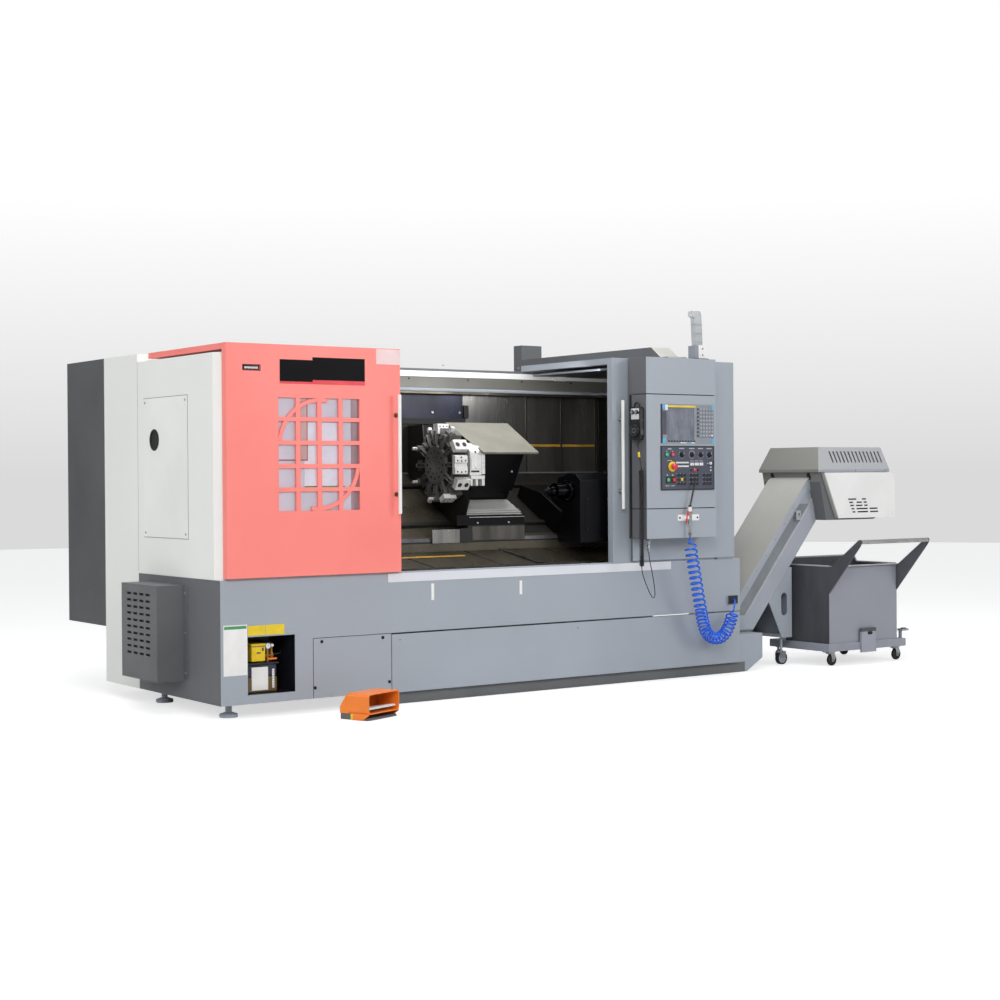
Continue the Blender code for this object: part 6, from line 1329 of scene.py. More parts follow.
def dressControls():
    y = controls["front"]
    border = [
        flush(2.644, 2.65, 1.089, 1.338, y), flush(3.036, 3.042, 1.089, 1.338, y),
        flush(2.65, 3.036, 1.089, 1.095, y), flush(2.65, 3.036, 1.332, 1.338, y),
    ]
    piece("controlsBorder", border, "blackAbs", edgeMm=0.3)
    pads = [flush(2.676, 2.754, 1.128, 1.166, y, 0.0008)]
    caps, marks, yellow = [], [], []
    for index, x in enumerate(controls["groups"]):
        for i in (-1, 0, 1):
            for j in (-1, 0, 1):
                kx, kz = x + controls["pitch"] * i, controls["rowZ"] + controls["pitch"] * j
                shape = block((kx - 0.0078, y - 0.005, kz - 0.0078), (kx + 0.0078, y - 0.0036, kz + 0.0078))
                (yellow if index == 0 and i == 0 and j == 0 else caps).append(shape)
                marks.append(flush(kx - 0.011, kx - 0.007, kz + 0.0066, kz + 0.0106, y, 0.0007))
    piece("keyCaps", caps, "blackAbs", edgeMm=0.6)
    piece("keyCapYellow", yellow, "yellowEnamel", edgeMm=0.6)
    for x in controls["knobs"]:
        steps = 24 if x == controls["knobs"][1] else 9
        for k in range(steps):
            a = 2 * math.pi * k / steps if steps == 24 else math.radians(-40 + 260 * k / (steps - 1))
            turn = about("Y", a, (x, y, controls["knobZ"]))
            marks.append(
                moved(
                    flush(
                        x + 0.0195, x + 0.024, controls["knobZ"] - 0.0012, controls["knobZ"] + 0.0012, y,
                        0.0005,
                    ),
                    turn,
                )
            )
        marks.append(flush(x - 0.02, x + 0.018, 1.3215, 1.3265, y, 0.0005))
    for x in (2.684, 2.727):
        marks.append(flush(x - 0.005, x + 0.005, 1.3065, 1.311, y, 0.0005))
    marks += [
        flush(2.693, 2.719, 1.3185, 1.3245, y, 0.0005), flush(2.689, 2.722, 1.2545, 1.258, y, 0.0005),
        flush(2.683, 2.693, 1.17, 1.178, y, 0.0005), flush(2.723, 2.733, 1.17, 1.178, y, 0.0005),
        flush(2.674, 2.704, 1.112, 1.1155, y, 0.0005), flush(2.716, 2.742, 1.112, 1.1155, y, 0.0005),
    ]
    marks += [flush(x - 0.013, x + 0.013, 1.252, 1.255, y, 0.0005) for x in (2.872, 2.907, 2.941)]
    piece("panelMarks", marks, "paleMarkAbs")
    paleKeys = [
        block((2.7515 + 0.016 * i, y - 0.004, z - 0.0045), (2.7645 + 0.016 * i, y + 0.0003, z + 0.0045))
        for i in range(6)
        for z in (1.244, 1.2235)
    ]
    paleKeys += [
        block((x - 0.0135, y - 0.004, 1.2275), (x + 0.0135, y + 0.0003, 1.2435))
        for x in controls["overrides"]
    ]
    piece("paleKeys", paleKeys, "paleAbs", edgeMm=0.6)
    gaps = [
        flush(x - 0.0006, x + 0.0006, 1.2285, 1.2425, y - 0.004, 0.0003, 0.001) for x in controls["overrides"]
    ]
    pads += gaps + [rod("Y", (x, 1.201), 0.007, y - 0.003, y + 0.0003, 14) for x in (2.868, 2.918)]
    pads.append(rod("Y", (3.019, 1.24), 0.0105, y - 0.015, y + 0.0003, 16))
    piece("panelPads", pads, "blackAbs", edgeMm=0.4)
    piece(
        "panelLamp",
        [
            turned(
                "Y", (2.892, 1.2015),
                [(y + 0.0003, 0.0105), (y - 0.004, 0.0105), (y - 0.007, 0.008), (y - 0.0085, 0.0)], 20,
            )
        ],
        "redAbs",
    )
    switch = [
        block((3.002, y - 0.0165, 1.233), (3.01, y + 0.0003, 1.248)),
        rod("Y", (3.013, 1.218), 0.0045, y - 0.003, y + 0.0003, 12),
        rod("Y", (3.013, 1.2), 0.0045, y - 0.003, y + 0.0003, 12),
        flush(2.988, 2.996, 1.2375, 1.242, y, 0.0008),
    ]
    piece("panelKeySwitch", switch, "paleAbs", edgeMm=0.6)
    stop = controls["stop"]
    collar = [
        (y + 0.0003, 0.0282), (y - 0.005, 0.0282), (y - 0.0066, 0.0245), (y - 0.0066, 0.0118),
        (y + 0.0003, 0.0118),
    ]
    piece("stopCollar", [turned("Y", stop, collar, 36)], "yellowEnamel")
    rims = [ring("Y", place, 0.0114, 0.014, y - 0.0028, y + 0.0003, 24) for place in controls["buttons"]]
    piece("buttonRims", rims, "blackAbs")
    for index, x in enumerate(controls["knobs"]):
        tip = y - 0.0003 - 0.018
        line = [
            block(
                (x - 0.0009, tip - 0.0004, controls["knobZ"] + 0.002),
                (x + 0.0009, tip + 0.0005, controls["knobZ"] + 0.0108),
            )
        ]
        piece(f"knobLine{index + 1}", line, "paleAbs", body=f"knob_{index + 1}")
    capRing = [ring("Y", stop, 0.0085, 0.0115, -0.2056, -0.2049, 24)]
    piece("stopRing", capRing, "roseAbs", body="emergency_stop")


dressDisplay()
dressControls()


def dressStation():
    left = 2.542
    gap = [
        block((left - 0.0004, -0.04, 0.822), (left + 0.003, -0.0205, 1.6252)),
        block((left - 0.0004, -0.033, 1.6255), (left + 0.004, -0.0208, 1.6305)),
    ]
    piece("stationGap", gap, "blackInterior")
    seamFill = [
        block((left + 0.0105, -0.156, z - 0.0022), (3.058, -0.1556, z + 0.0022)) for z in (0.986, 1.628)
    ]
    piece("seamGasket", seamFill, "blackRubber")
    # painted shade under the station
    under = [block((left + 0.004, -0.16, 0.8165), (3.057, -0.03, 0.8185))]
    piece("stationUnderShade", under, "blackInterior")
    plug = [
        turned(
            "Z", pendantCord["last"][-1][:2],
            [
                (0.7615, 0.0062), (0.762, 0.0106), (0.769, 0.0112), (0.772, 0.0104), (0.7985, 0.0104),
                (0.801, 0.0114), (0.805, 0.0114), (0.8052, 0.01),
            ],
            20,
        )
    ]
    piece("plugSleeve", plug, "zincPlate")
    # pendant: silver dial plate in two bands, wheel rim, hook and the yellow tag on its cord
    face = 2.5117
    plates = [
        block((face - 0.0008, -0.14, 1.53), (face + 0.0002, -0.072, 1.548)),
        block((face - 0.0008, -0.14, 1.487), (face + 0.0002, -0.072, 1.517)),
    ]
    piece("pendantPlates", plates, "paleAbs", edgeMm=0.3)
    dialCaps = [rod("X", (y, 1.527), 0.0095, face - 0.0106, face - 0.0099, 16) for y in (-0.086, -0.122)]
    piece("pendantDialCaps", dialCaps, "greyAbs")
    piece(
        "pendantSide",
        [
            block((face + 0.008, -0.1503, 1.4), (face + 0.024, -0.1499, 1.43)),
            block((face + 0.006, -0.1503, 1.478), (face + 0.026, -0.1499, 1.482)),
        ],
        "slateAbs",
    )
    hook = [
        (face + 0.014, -0.128, 1.556), (face + 0.014, -0.125, 1.571), (face + 0.014, -0.108, 1.58),
        (face + 0.014, -0.09, 1.573), (face + 0.014, -0.086, 1.556),
    ]
    piece("pendantHook", [tube(smoothLine(hook, 18), 0.004, 10)], "blackRubber")
    wheel, wheelFace = (-0.108, 1.425), face - 0.0003 - 0.012  # Y and Z of the handwheel, X of its face
    marks = [
        moved(
            block((wheelFace - 0.0004, -0.1088, 1.4515), (wheelFace + 0.0004, -0.1072, 1.456)),
            about("X", math.radians(36 * k), (0, *wheel)),
        )
        for k in range(10)
    ]
    marks.append(ring("X", wheel, 0.0125, 0.015, wheelFace - 0.0004, wheelFace + 0.0004, 28))
    piece("wheelMarks", marks, "greyAbs", body="handwheel")
    tag = smoothLine(pendantCord["first"], 18)[7:12]
    piece("cordTag", [tube(tag, 0.0062, 12)], "yellowEnamel")


def makeAirGun():
    x, y = airHose["first"][0][:2]
    stem = turned(
        "Z", (x, y), [(0.85, 0.0065), (0.89, 0.0065), (0.905, 0.0105), (0.96, 0.011), (0.9605, 0.0088)], 20
    )
    piece("airGunBody", [stem], "zincPlate", replaces=("air_gun",))
    piece(
        "airGunNut",
        [
            turned("Z", (x, y), [(0.834, 0.006), (0.8345, 0.0092), (0.848, 0.0092), (0.85, 0.007)], 6),
            turned("Z", (x, y), [(0.9605, 0.0105), (0.964, 0.0115), (0.968, 0.0105)], 20),
        ],
        "brass",
    )
    piece(
        "airGunTop",
        [turned("Z", (x, y), [(0.967, 0.01), (0.969, 0.0122), (0.99, 0.0122), (0.9935, 0.0095)], 20)],
        "paleAbs",
    )
    start, tip = Vector((x, y, 0.993)), Vector((2.878, -0.2, 1.157))
    turn = Vector((0, 0, 1)).rotation_difference(tip - start).to_matrix().to_4x4()
    barrel = turned(
        "Z", (0.0, 0.0),
        [
            (0.0, 0.0085), (0.01, 0.0085), (0.015, 0.0046), ((tip - start).length - 0.001, 0.0046),
            ((tip - start).length, 0.0038),
        ],
        14,
    )
    piece("airGunNozzle", [moved(barrel, Matrix.Translation(start) @ turn)], "blackAbs")
    lever = [
        (x - 0.0088, 0.974), (x - 0.015, 0.974), (x - 0.029, 0.906), (x - 0.027, 0.9), (x - 0.0235, 0.901),
        (x - 0.01, 0.956),
    ]
    piece("airGunLever", [prism("Y", lever, y - 0.004, y + 0.004)], "redAbs", edgeMm=0.8)
    hookRing = [
        (x - 0.01 + 0.0095 * math.cos(a), y, 1.024 + 0.0095 * math.sin(a))
        for a in [2 * math.pi * k / 20 for k in range(20)]
    ]
    link = [(x - 0.004, y, 1.0), (x - 0.004, y - 0.004, 1.008), (x - 0.006, y, 1.0155)]
    piece("airGunRing", [tube(hookRing + hookRing[:2], 0.0012, 8), tube(link, 0.0012, 8)], "zincPlate")
    plate = [
        block((2.768, -0.1713, 0.915), (2.925, -0.1673, 0.95)),
        block((x - 0.02, y - 0.006, 0.924), (x - 0.0112, -0.17, 0.943)),
        block((x + 0.0112, y - 0.006, 0.924), (x + 0.02, -0.17, 0.943)),
    ]
    piece("airGunBracket", plate, "glossWhiteEnamel", edgeMm=0.8)
    addScrews(
        "airGunScrews", "Y", [(sx, -0.1713, 0.9325) for sx in (2.78, 2.912)], 0.0055, -0.003, "blackOxide"
    )


def makeTower():
    x, y, seat = 2.987, -0.09, 1.8353
    plate = block((x - 0.057, y - 0.04, seat), (x + 0.058, y + 0.045, seat + 0.006))
    piece(
        "towerPlate", [plate, rod("Z", (x + 0.046, y - 0.02), 0.006, seat + 0.006, seat + 0.0095, 12)],
        "blackAbs", edgeMm=0.8, replaces=("signal_tower",),
    )
    piece(
        "towerBracketSide", [block((x - 0.039, y - 0.03, seat + 0.006), (x - 0.012, y + 0.03, seat + 0.08))],
        "greyAbs", edgeMm=1,
    )
    piece(
        "towerBracket", [block((x - 0.0115, y - 0.03, seat + 0.006), (x + 0.041, y + 0.03, seat + 0.082))],
        "glossWhiteEnamel", edgeMm=1,
    )
    addScrews(
        "towerBracketScrews", "Y", [(x + 0.018, y - 0.03, seat + h) for h in (0.026, 0.062)], 0.0042, -0.003,
        "blackOxide",
    )
    outline = [
        (x - 0.023, seat + 0.0825), (x + 0.031, seat + 0.0825), (x + 0.021, seat + 0.262),
        (x + 0.013, seat + 0.278), (x - 0.049, seat + 0.278), (x - 0.051, seat + 0.25),
        (x - 0.031, seat + 0.24),
    ]
    piece("towerLens", [prism("Y", outline, y - 0.018, y + 0.018)], "clearAcrylic", edgeMm=2)
    core = [
        (x - 0.014, seat + 0.086), (x + 0.02, seat + 0.086), (x + 0.008, seat + 0.255),
        (x - 0.024, seat + 0.255),
    ]
    piece("towerCore", [prism("Y", core, y - 0.01, y + 0.01)], "plainPlate", edgeMm=1)
    bands = [
        block(
            (x - 0.0215 - 0.004 * k, y - 0.0186, seat + 0.098 + 0.05 * k),
            (x + 0.029 - 0.0026 * k, y + 0.0186, seat + 0.102 + 0.05 * k),
        )
        for k in range(3)
    ]
    piece("towerBands", bands, "greyAbs", edgeMm=0.4)
    cable = [
        (x + 0.03, y + 0.02, seat + 0.079), (x + 0.036, y + 0.034, seat + 0.064),
        (x + 0.04, y + 0.04, seat + 0.036), (x + 0.04, y + 0.04, seat + 0.006),
    ]
    piece("towerCable", [tube(smoothLine(cable, 14), 0.0025, 8)], "blackCable")


dressStation()
makeAirGun()
makeTower()

print("Doors")


def dressDoors():
    y = -0.026
    black = [
        flush(0.319, 0.503, 1.649, 1.757, y, 0.0012), flush(0.503, 0.805, 1.659, 1.772, y, 0.0012),
    ]
    piece("bareDoorPlate", black, "blackPlate", body="left_door", edgeMm=0.3)
    piece(
        "bareDoorPlateFoot",
        [flush(0.319, 0.503, 1.638, 1.6485, y, 0.0012), flush(0.503, 0.805, 1.638, 1.6585, y, 0.0012)],
        "redPlate", body="left_door", edgeMm=0.3,
    )
    piece(
        "bareCornerPlate", [flush(0.873, 1.0155, 1.749, 1.826, y, 0.0008)], "rosePlate", body="left_door",
        edgeMm=0.3,
    )
    piece(
        "pullPocket", [block((0.1195, -0.0202, 1.7015), (0.2085, -0.0188, 1.7225))], "blackInterior",
        body="left_door",
    )
    pull = [block((0.126, -0.025, 1.7055), (0.202, -0.0203, 1.717))]
    piece("pullLever", pull, "zincPlate", body="left_door", edgeMm=1.2)
    rim = borderBars("Y", (0.115, 1.697), (0.213, 1.727), 0.003, y - 0.0012, y + 0.0002)
    piece("pullRim", rim, "blackOxide", body="left_door", edgeMm=0.4)
    handleHeights = (1.085, 1.49)
    posts = [
        turned(
            "Y", (0.989, z),
            [(-0.053, 0.0064), (-0.052, 0.009), (-0.03, 0.009), (-0.0285, 0.012), (-0.0262, 0.012)], 20,
        )
        for z in handleHeights
    ]
    piece("leftHandlePosts", posts, "agedBrass", body="left_door")
    posts = [
        turned(
            "Y", (2.482, z),
            [(-0.027, 0.0064), (-0.026, 0.0085), (-0.0045, 0.0085), (-0.003, 0.012), (-0.0005, 0.012)], 20,
        )
        for z in handleHeights
    ]
    piece("rightHandlePosts", posts, "zincPlate", body="right_door")
    # behind the lattice: edge of the inner panel, bare plates and the shaded right edge, all on the pane
    pane = -0.01365
    piece(
        "paneInnerPanel", [block((0.4317, pane - 0.0009, 1.264), (0.474, pane - 0.0001, 1.586))], "pinkFilm",
        body="left_door",
    )
    edges = [
        block((0.306, pane - 0.0012, 1.2575), (0.479, pane - 0.0001, 1.2638)),
        block((0.4742, pane - 0.0012, 1.264), (0.479, pane - 0.0001, 1.586)),
    ]
    piece("paneInnerEdge", edges, "rustEdge", body="left_door")
    piece(
        "paneBarePlates",
        [
            block((0.46, pane - 0.0007, 1.132), (0.53, pane - 0.0001, 1.448)),
            block((0.542, pane - 0.0007, 1.132), (0.648, pane - 0.0001, 1.448)),
        ],
        "lilacPlate", body="left_door",
    )
    piece(
        "paneBareFeet", [block((0.46, pane - 0.0009, 1.124), (0.69, pane - 0.0001, 1.1318))], "greenPlate",
        body="left_door",
    )
    piece(
        "paneShade", [block((0.728, pane - 0.0007, 1.005), (0.775, pane - 0.0001, 1.585))], "mauveFilm",
        body="left_door",
    )
    gap = [block((0.03, 0.0, 0.6835), (1.012, 0.0005, 0.6858))]
    piece("doorGapShade", gap, "blackInterior", body="left_door")


dressDoors()

print("Base and left side")


def dressBase():
    # painted highlight: light strips on the front and the top of the sill
    piece("sillStrip", [block((0.9495, -0.0026, 0.6325), (2.8585, -0.0018, 0.6776))], "sillHighlightSheet")
    piece("sillTop", [block((1.018, -0.0015, 0.6779), (2.99, 0.0015, 0.6786))], "sillHighlightSheet")
    piece(
        "baseTabs",
        [
            block((1.214, -0.0035, 0.53), (1.231, 0.0005, 0.617)),
            block((1.783, -0.0035, 0.535), (1.799, 0.0005, 0.61)),
        ],
        "glossWhiteEnamel", edgeMm=0.5,
    )
    piece("bareWhitePlate", [flush(0.015, 0.143, 0.214, 0.46, 0.0, 0.001)], "plainPlate", edgeMm=0.3)
    piece("bareWhitePlateHead", [flush(0.019, 0.139, 0.44, 0.4545, -0.001, 0.0004)], "greenPlate")
    piece(
        "bareYellowPlates",
        [flush(0.1475, 0.243, 0.404, 0.452, 0.0, 0.001), flush(0.2465, 0.348, 0.404, 0.453, 0.0, 0.001)],
        "yellowPlate", edgeMm=0.3,
    )
    addScrews(
        "servicePanelScrews", "Y",
        [(x, 0.0, z) for x, z in ((0.559, 0.352), (0.917, 0.352), (0.519, 0.123), (0.955, 0.123))], 0.0085,
        -0.003, "blackOxide",
    )
    seam = [
        block((0.5095, -0.0004, 0.072), (0.5115, 0.0004, 0.372)),
        block((0.5095, -0.0004, 0.37), (0.965, 0.0004, 0.372)),
    ]
    piece("servicePanelSeam", seam, "blackInterior")
    left, right, low, high = 0.146, 0.407, 0.114, 0.397
    lining = [
        block((left + 0.0003, 0.0008, low), (left + 0.0013, 0.259, high)),
        block((right - 0.0013, 0.0008, low), (right - 0.0003, 0.259, high)),
        block((left, 0.0008, high - 0.0013), (right, 0.259, high - 0.0003)),
        block((left, 0.0008, low + 0.0003), (right, 0.259, low + 0.0013)),
        block((left, 0.2578, low), (right, 0.259, high)),
    ]
    piece("bayLining", lining, "bayBlack")
    portX, portZ = airHose["last"][-1][0], airHose["last"][-1][2]
    port = [
        turned(
            "Y", (portX, portZ),
            [
                (-0.012, 0.006), (-0.0121, 0.01), (-0.01, 0.0118), (-0.003, 0.0118), (-0.0005, 0.015),
                (0.0002, 0.015),
            ],
            6,
        )
    ]
    piece("hosePortPlate", [block((3.291, -0.0126, 0.412), (3.367, -0.0118, 0.461))], "blackAbs", edgeMm=0.3)
    piece("hosePortNut", port, "blackOxide")
    addScrews(
        "tankPanelScrews", "Y", [(x, 0.0, z) for x in (1.02, 2.18, 3.34) for z in (0.335,)], 0.0065, -0.0025,
        "zincPlate",
    )
    kick = [block((1.02, 0.0296, 0.0005), (3.46, 0.0299, 0.06))]
    piece("tankFoot", kick, "darkPowderCoat")


def dressRightSide():
    # the right side and the roof are out of the photograph's sight: flush panels with seams and screws, as on
    # the left
    x, front, back, low, high = 3.335, 0.18, 1.24, 0.76, 1.64
    seams = borderBars("X", (front, low), (back, high), 0.003, x - 0.0004, x + 0.0006)
    piece("rightPanelSeam", seams, "blackInterior")
    addScrews(
        "rightPanelScrews", "X",
        [
            (x + 0.0002, y, z)
            for y in (front + 0.03, 0.71, back - 0.03)
            for z in (low + 0.03, 1.2, high - 0.03)
        ],
        0.0075, 0.003, "zincPlate",
    )
    addScrews(
        "roofScrews", "Z", [(px, py, 1.83) for px in (0.86, 1.4, 1.95, 2.5, 3.04) for py in (0.985, 1.35)],
        0.008, 0.003, "zincPlate",
    )


def makeLubricator():
    left, low = 0.146, 0.114

    def bayBlock(x0, x1, y0, y1, z0, z1):  # X and Z from the bay's lower left corner
        return block((left + x0, y0, low + z0), (left + x1, y1, low + z1))

    brown = bayBlock(0.016, 0.186, 0.046, 0.2, 0.002, 0.08)
    violet = bayBlock(0.018, 0.184, 0.048, 0.198, 0.0805, 0.14)
    piece("lubricatorTank", [brown], "oilFilled", edgeMm=7, replaces=("lubricator",))
    piece("lubricatorTankTop", [violet], "smokyReservoir", edgeMm=5)
    piece("lubricatorLid", [bayBlock(0.01, 0.192, 0.04, 0.206, 0.1403, 0.15)], "blackAbs", edgeMm=2)
    piece("lubricatorLabel", [bayBlock(0.044, 0.134, 0.045, 0.0475, 0.014, 0.128)], "plainPlate", edgeMm=0.4)
    piece("lubricatorScale", [bayBlock(0.157, 0.169, 0.045, 0.0475, 0.022, 0.116)], "plainPlate", edgeMm=0.4)
    ticks = [
        block(
            (left + 0.16, 0.0444, low + 0.03 + 0.0125 * k), (left + 0.166, 0.0452, low + 0.033 + 0.0125 * k)
        )
        for k in range(7)
    ]
    piece("lubricatorTicks", ticks, "greyAbs")
    pump = [bayBlock(0.049, 0.125, 0.055, 0.19, 0.155, 0.228)]
    piece("lubricatorPump", pump, "yellowEnamel", edgeMm=3)
    piece("lubricatorPumpLid", [bayBlock(0.047, 0.127, 0.053, 0.192, 0.231, 0.243)], "yellowEnamel", edgeMm=3)
    piece(
        "lubricatorPumpBand",
        [
            bayBlock(0.05, 0.124, 0.056, 0.189, 0.2275, 0.2315),
            bayBlock(0.106, 0.116, 0.054, 0.0552, 0.206, 0.222),
            bayBlock(0.077, 0.098, 0.054, 0.0552, 0.194, 0.201),
        ],
        "slateAbs",
    )
    gauge = turned(
        "Y", (left + 0.141, low + 0.229), [(0.07, 0.0155), (0.056, 0.016), (0.0545, 0.0145), (0.0545, 0.0)],
        24,
    )
    small = turned("Y", (left + 0.165, low + 0.231), [(0.07, 0.007), (0.056, 0.0075), (0.055, 0.0)], 16)
    piece("lubricatorGauge", [gauge, small], "paleAbs")
    piece(
        "lubricatorNeedle",
        [
            bayBlock(0.1405, 0.1415, 0.054, 0.0546, 0.228, 0.239),
            ring("Y", (left + 0.141, low + 0.229), 0.0138, 0.016, 0.054, 0.056, 24),
        ],
        "blackOxide",
    )
    valves = [
        rod("Z", (left + 0.141, 0.064), 0.006, low + 0.15, low + 0.215, 12),
        rod("Z", (left + 0.163, 0.064), 0.006, low + 0.17, low + 0.225, 12),
        rod("X", (0.064, low + 0.18), 0.007, left + 0.126, left + 0.172, 6),
        turned("Z", (left + 0.163, 0.064), [(low + 0.183, 0.009), (low + 0.197, 0.009)], 6),
    ]
    piece("lubricatorValves", valves, "brass", smoothAngle=25)
    piece("lubricatorLever", [bayBlock(0.134, 0.186, 0.048, 0.06, 0.161, 0.17)], "orangeEnamel", edgeMm=2)
    piece(
        "lubricatorBracket",
        [bayBlock(0.03, 0.215, 0.2, 0.256, 0.145, 0.27), bayBlock(0.12, 0.18, 0.09, 0.2, 0.15, 0.245)],
        "blackAbs", edgeMm=1,
    )
    line = [
        (left + 0.176, 0.062, low + 0.186), (left + 0.206, 0.06, low + 0.19), (left + 0.222, 0.08, low + 0.2),
        (left + 0.226, 0.14, low + 0.215), (left + 0.226, 0.256, low + 0.22),
    ]
    piece("lubricatorLine", [tube(smoothLine(line, 24), 0.003, 8)], "blackCable")


def dressLeftSide():
    front, back, low, high = 0.346, 0.87, 0.872, 1.589
    addScrews(
        "accessScrews", "X",
        [(-0.0033, y, z) for y in (front + 0.022, back - 0.022) for z in (low + 0.022, high - 0.022)], 0.0065,
        -0.0025, "zincPlate",
    )
    outer = (front - 0.003, low - 0.003), (back + 0.003, high + 0.003)
    shadow = borderBars("X", *outer, 0.003, -0.001, -0.0003)
    piece("accessSeam", shadow, "seamGrey")
    grommetCentre = (0.734, 1.373)
    piece("grommetHole", [rod("X", grommetCentre, 0.05, -0.0012, -0.0004, 36)], "blackInterior")
    grommet = [
        ring("X", grommetCentre, 0.044, 0.056, -0.0062, -0.0034, 40),
        ring("X", grommetCentre, 0.044, 0.0526, -0.0036, -0.0006, 40),
    ]
    piece("grommet", grommet, "blackRubber", edgeMm=0.8)
    seams = [
        block((-0.0004, 0.24, 0.092), (0.0002, 0.2416, 0.672)),
        block((-0.0004, 0.948, 0.69), (0.0003, 0.95, 1.784)),
    ]
    piece("leftSideSeams", seams, "seamGrey")
    piece("ventBacking", [block((-0.137, 0.413, 0.169), (-0.136, 0.827, 0.631))], "blackInterior")
    addScrews(
        "ventScrews", "X", [(-0.004, y, z) for y in (0.383, 0.857) for z in (0.2, 0.4, 0.6)], 0.006, -0.003,
        "zincPlate",
    )


dressBase()
dressRightSide()
makeLubricator()
dressLeftSide()

print("Conveyor and cart")
trunk = {"foot": 3.354, "footZ": 0.222, "angle": math.radians(50.4), "front": 0.15, "back": 0.49}


def trunkPoint(z, offset):
    return trunk["foot"] + (z - trunk["footZ"]) / math.tan(trunk["angle"]) + offset / math.sin(trunk["angle"])


def alongTrunk(z0, z1, near, far, y0, y1):
    # a bar along the trunk between two heights; near and far measured square to its upper line
    outline = [
        (trunkPoint(z0, near), z0), (trunkPoint(z0, far), z0), (trunkPoint(z1, far), z1),
        (trunkPoint(z1, near), z1),
    ]
    return prism("Y", outline, y0, y1)


def dressConveyor():
    front, back = trunk["front"], trunk["back"]
    piece(
        "trunkCover", [alongTrunk(0.235, 1.14, -0.008, 0.0004, front + 0.0005, back - 0.0005)],
        "warmGreyPowderCoat", edgeMm=0.5,
    )
    edge = [
        alongTrunk(0.235, 1.075, -0.006, 0.03, front - 0.003, front - 0.0002),
        alongTrunk(0.235, 1.1, -0.006, 0.03, back + 0.0002, back + 0.003),
    ]
    piece("trunkEdges", edge, "paleTrunkCoat", edgeMm=0.8)
    lip = [alongTrunk(0.33, 0.96, 0.106, 0.112, front - 0.004, front - 0.0002)]
    piece("trunkLip", lip, "glossGreyEnamel", edgeMm=0.8)
    side = [alongTrunk(0.33, 1.0, 0.1125, 0.212, front - 0.0012, front - 0.0001)]
    piece("trunkSide", side, "paleTrunkCoat", edgeMm=0.4)
    channel = [alongTrunk(0.326, 0.99, 0.042, 0.103, front + 0.0066, front + 0.008)]
    piece("trunkChannel", channel, "channelGrey")
    screws = []
    for k in range(8):
        z = 0.3 + 0.095 * k
        screws.append(screwHead("Y", (trunkPoint(z, 0.012), front - 0.003, z), 0.0045, -0.0025))
        screws.append(screwHead("Y", (trunkPoint(z, 0.012), back + 0.003, z), 0.0045, 0.0025))
        if 0.36 < z < 0.94:
            screws.append(screwHead("Y", (trunkPoint(z, 0.074), front + 0.0066, z), 0.0045, -0.0025))
    piece("trunkScrews", screws, "zincPlate")
    eye = [
        ring("Y", (trunkPoint(0.92, 0.06) + 0.006, 0.926), 0.01, 0.0165, front - 0.023, front - 0.0196, 24)
    ]
    piece("trunkEyeRim", eye, "paleTrunkCoat", edgeMm=0.6)
    # discharge head: lighter hood front, lip with three screws, dark holes
    low, hoodFront = 1.195, 0.046
    lip = [block((4.108, hoodFront - 0.0012, low - 0.009), (4.733, hoodFront + 0.0002, low + 0.008))]
    piece("hoodLip", lip, "paleTrunkCoat", edgeMm=0.5)
    addScrews(
        "hoodScrews", "Y", [(x, hoodFront - 0.0012, low) for x in (4.15, 4.425, 4.695)], 0.0042, -0.0022,
        "zincPlate",
    )
    holeRows = (0.15, 0.47)
    rimX = 4.1135 + (low - 1.155) / 0.307 * 0.064  # the head's leaning left face at the height of the rims
    plugs = [ring("X", (y, 1.155), 0.0132, 0.0172, rimX, rimX + 0.005, 24) for y in holeRows]
    piece("headHoleRims", plugs, "blackRubber")
    leftEdge = [(4.136, 1.183), (4.144, 1.183), (4.266, 0.8985), (4.258, 0.8985)]
    piece("sideCoverEdge", [prism("Y", leftEdge, 0.035, 0.0595)], "warmGreyPowderCoat", edgeMm=0.4)
    addScrews(
        "sideCoverScrews", "Y",
        [(x, 0.0357, z) for x, z in ((4.17, 1.168), (4.75, 1.168), (4.28, 0.915), (4.75, 0.915))], 0.004,
        -0.0018, "paleAbs",
    )
    piece(
        "sideCoverShade", [prism("Y", [(4.33, 0.92), (4.64, 0.92), (4.64, 1.02), (4.33, 1.02)], 0.04, 0.041)],
        "blackInterior",
    )
    holes = [rod("X", (y, 1.17), 0.0125, 4.115, 4.1225, 24) for y in holeRows]
    piece("headHoles", holes, "blackInterior")
    # painted shade: a black panel where the leg's back lies in shadow
    shadowPanel = [
        (trunkPoint(0.232, 0.2185), 0.232), (trunkPoint(0.56, 0.2185), 0.56), (3.95, 0.56), (3.95, 0.18),
        (3.64, 0.18), (3.64, 0.232),
    ]
    piece("legShadowPanel", [prism("Y", shadowPanel, 0.476, 0.4785)], "blackInterior")
    # hubs, tyres and forks of the leg's wheels
    legAxle, wheelRows = (3.915, 0.04), (0.19, 0.45)  # X and Z of the axle, Y of each wheel
    hub = [rod("Y", legAxle, 0.02, y - 0.0128, y + 0.0128, 20) for y in wheelRows]
    piece("legWheelHubs", hub, "greyAbs")
    tyres = [ring("Y", legAxle, 0.03, 0.0402, y - 0.0124, y + 0.0124, 32) for y in wheelRows]
    piece("legTyres", tyres, "blackRubber", edgeMm=1)
    piece(
        "legForks", [block((3.892, y - 0.0184, 0.04), (3.938, y - 0.0178, 0.083)) for y in wheelRows],
        "zincPlate",
    )


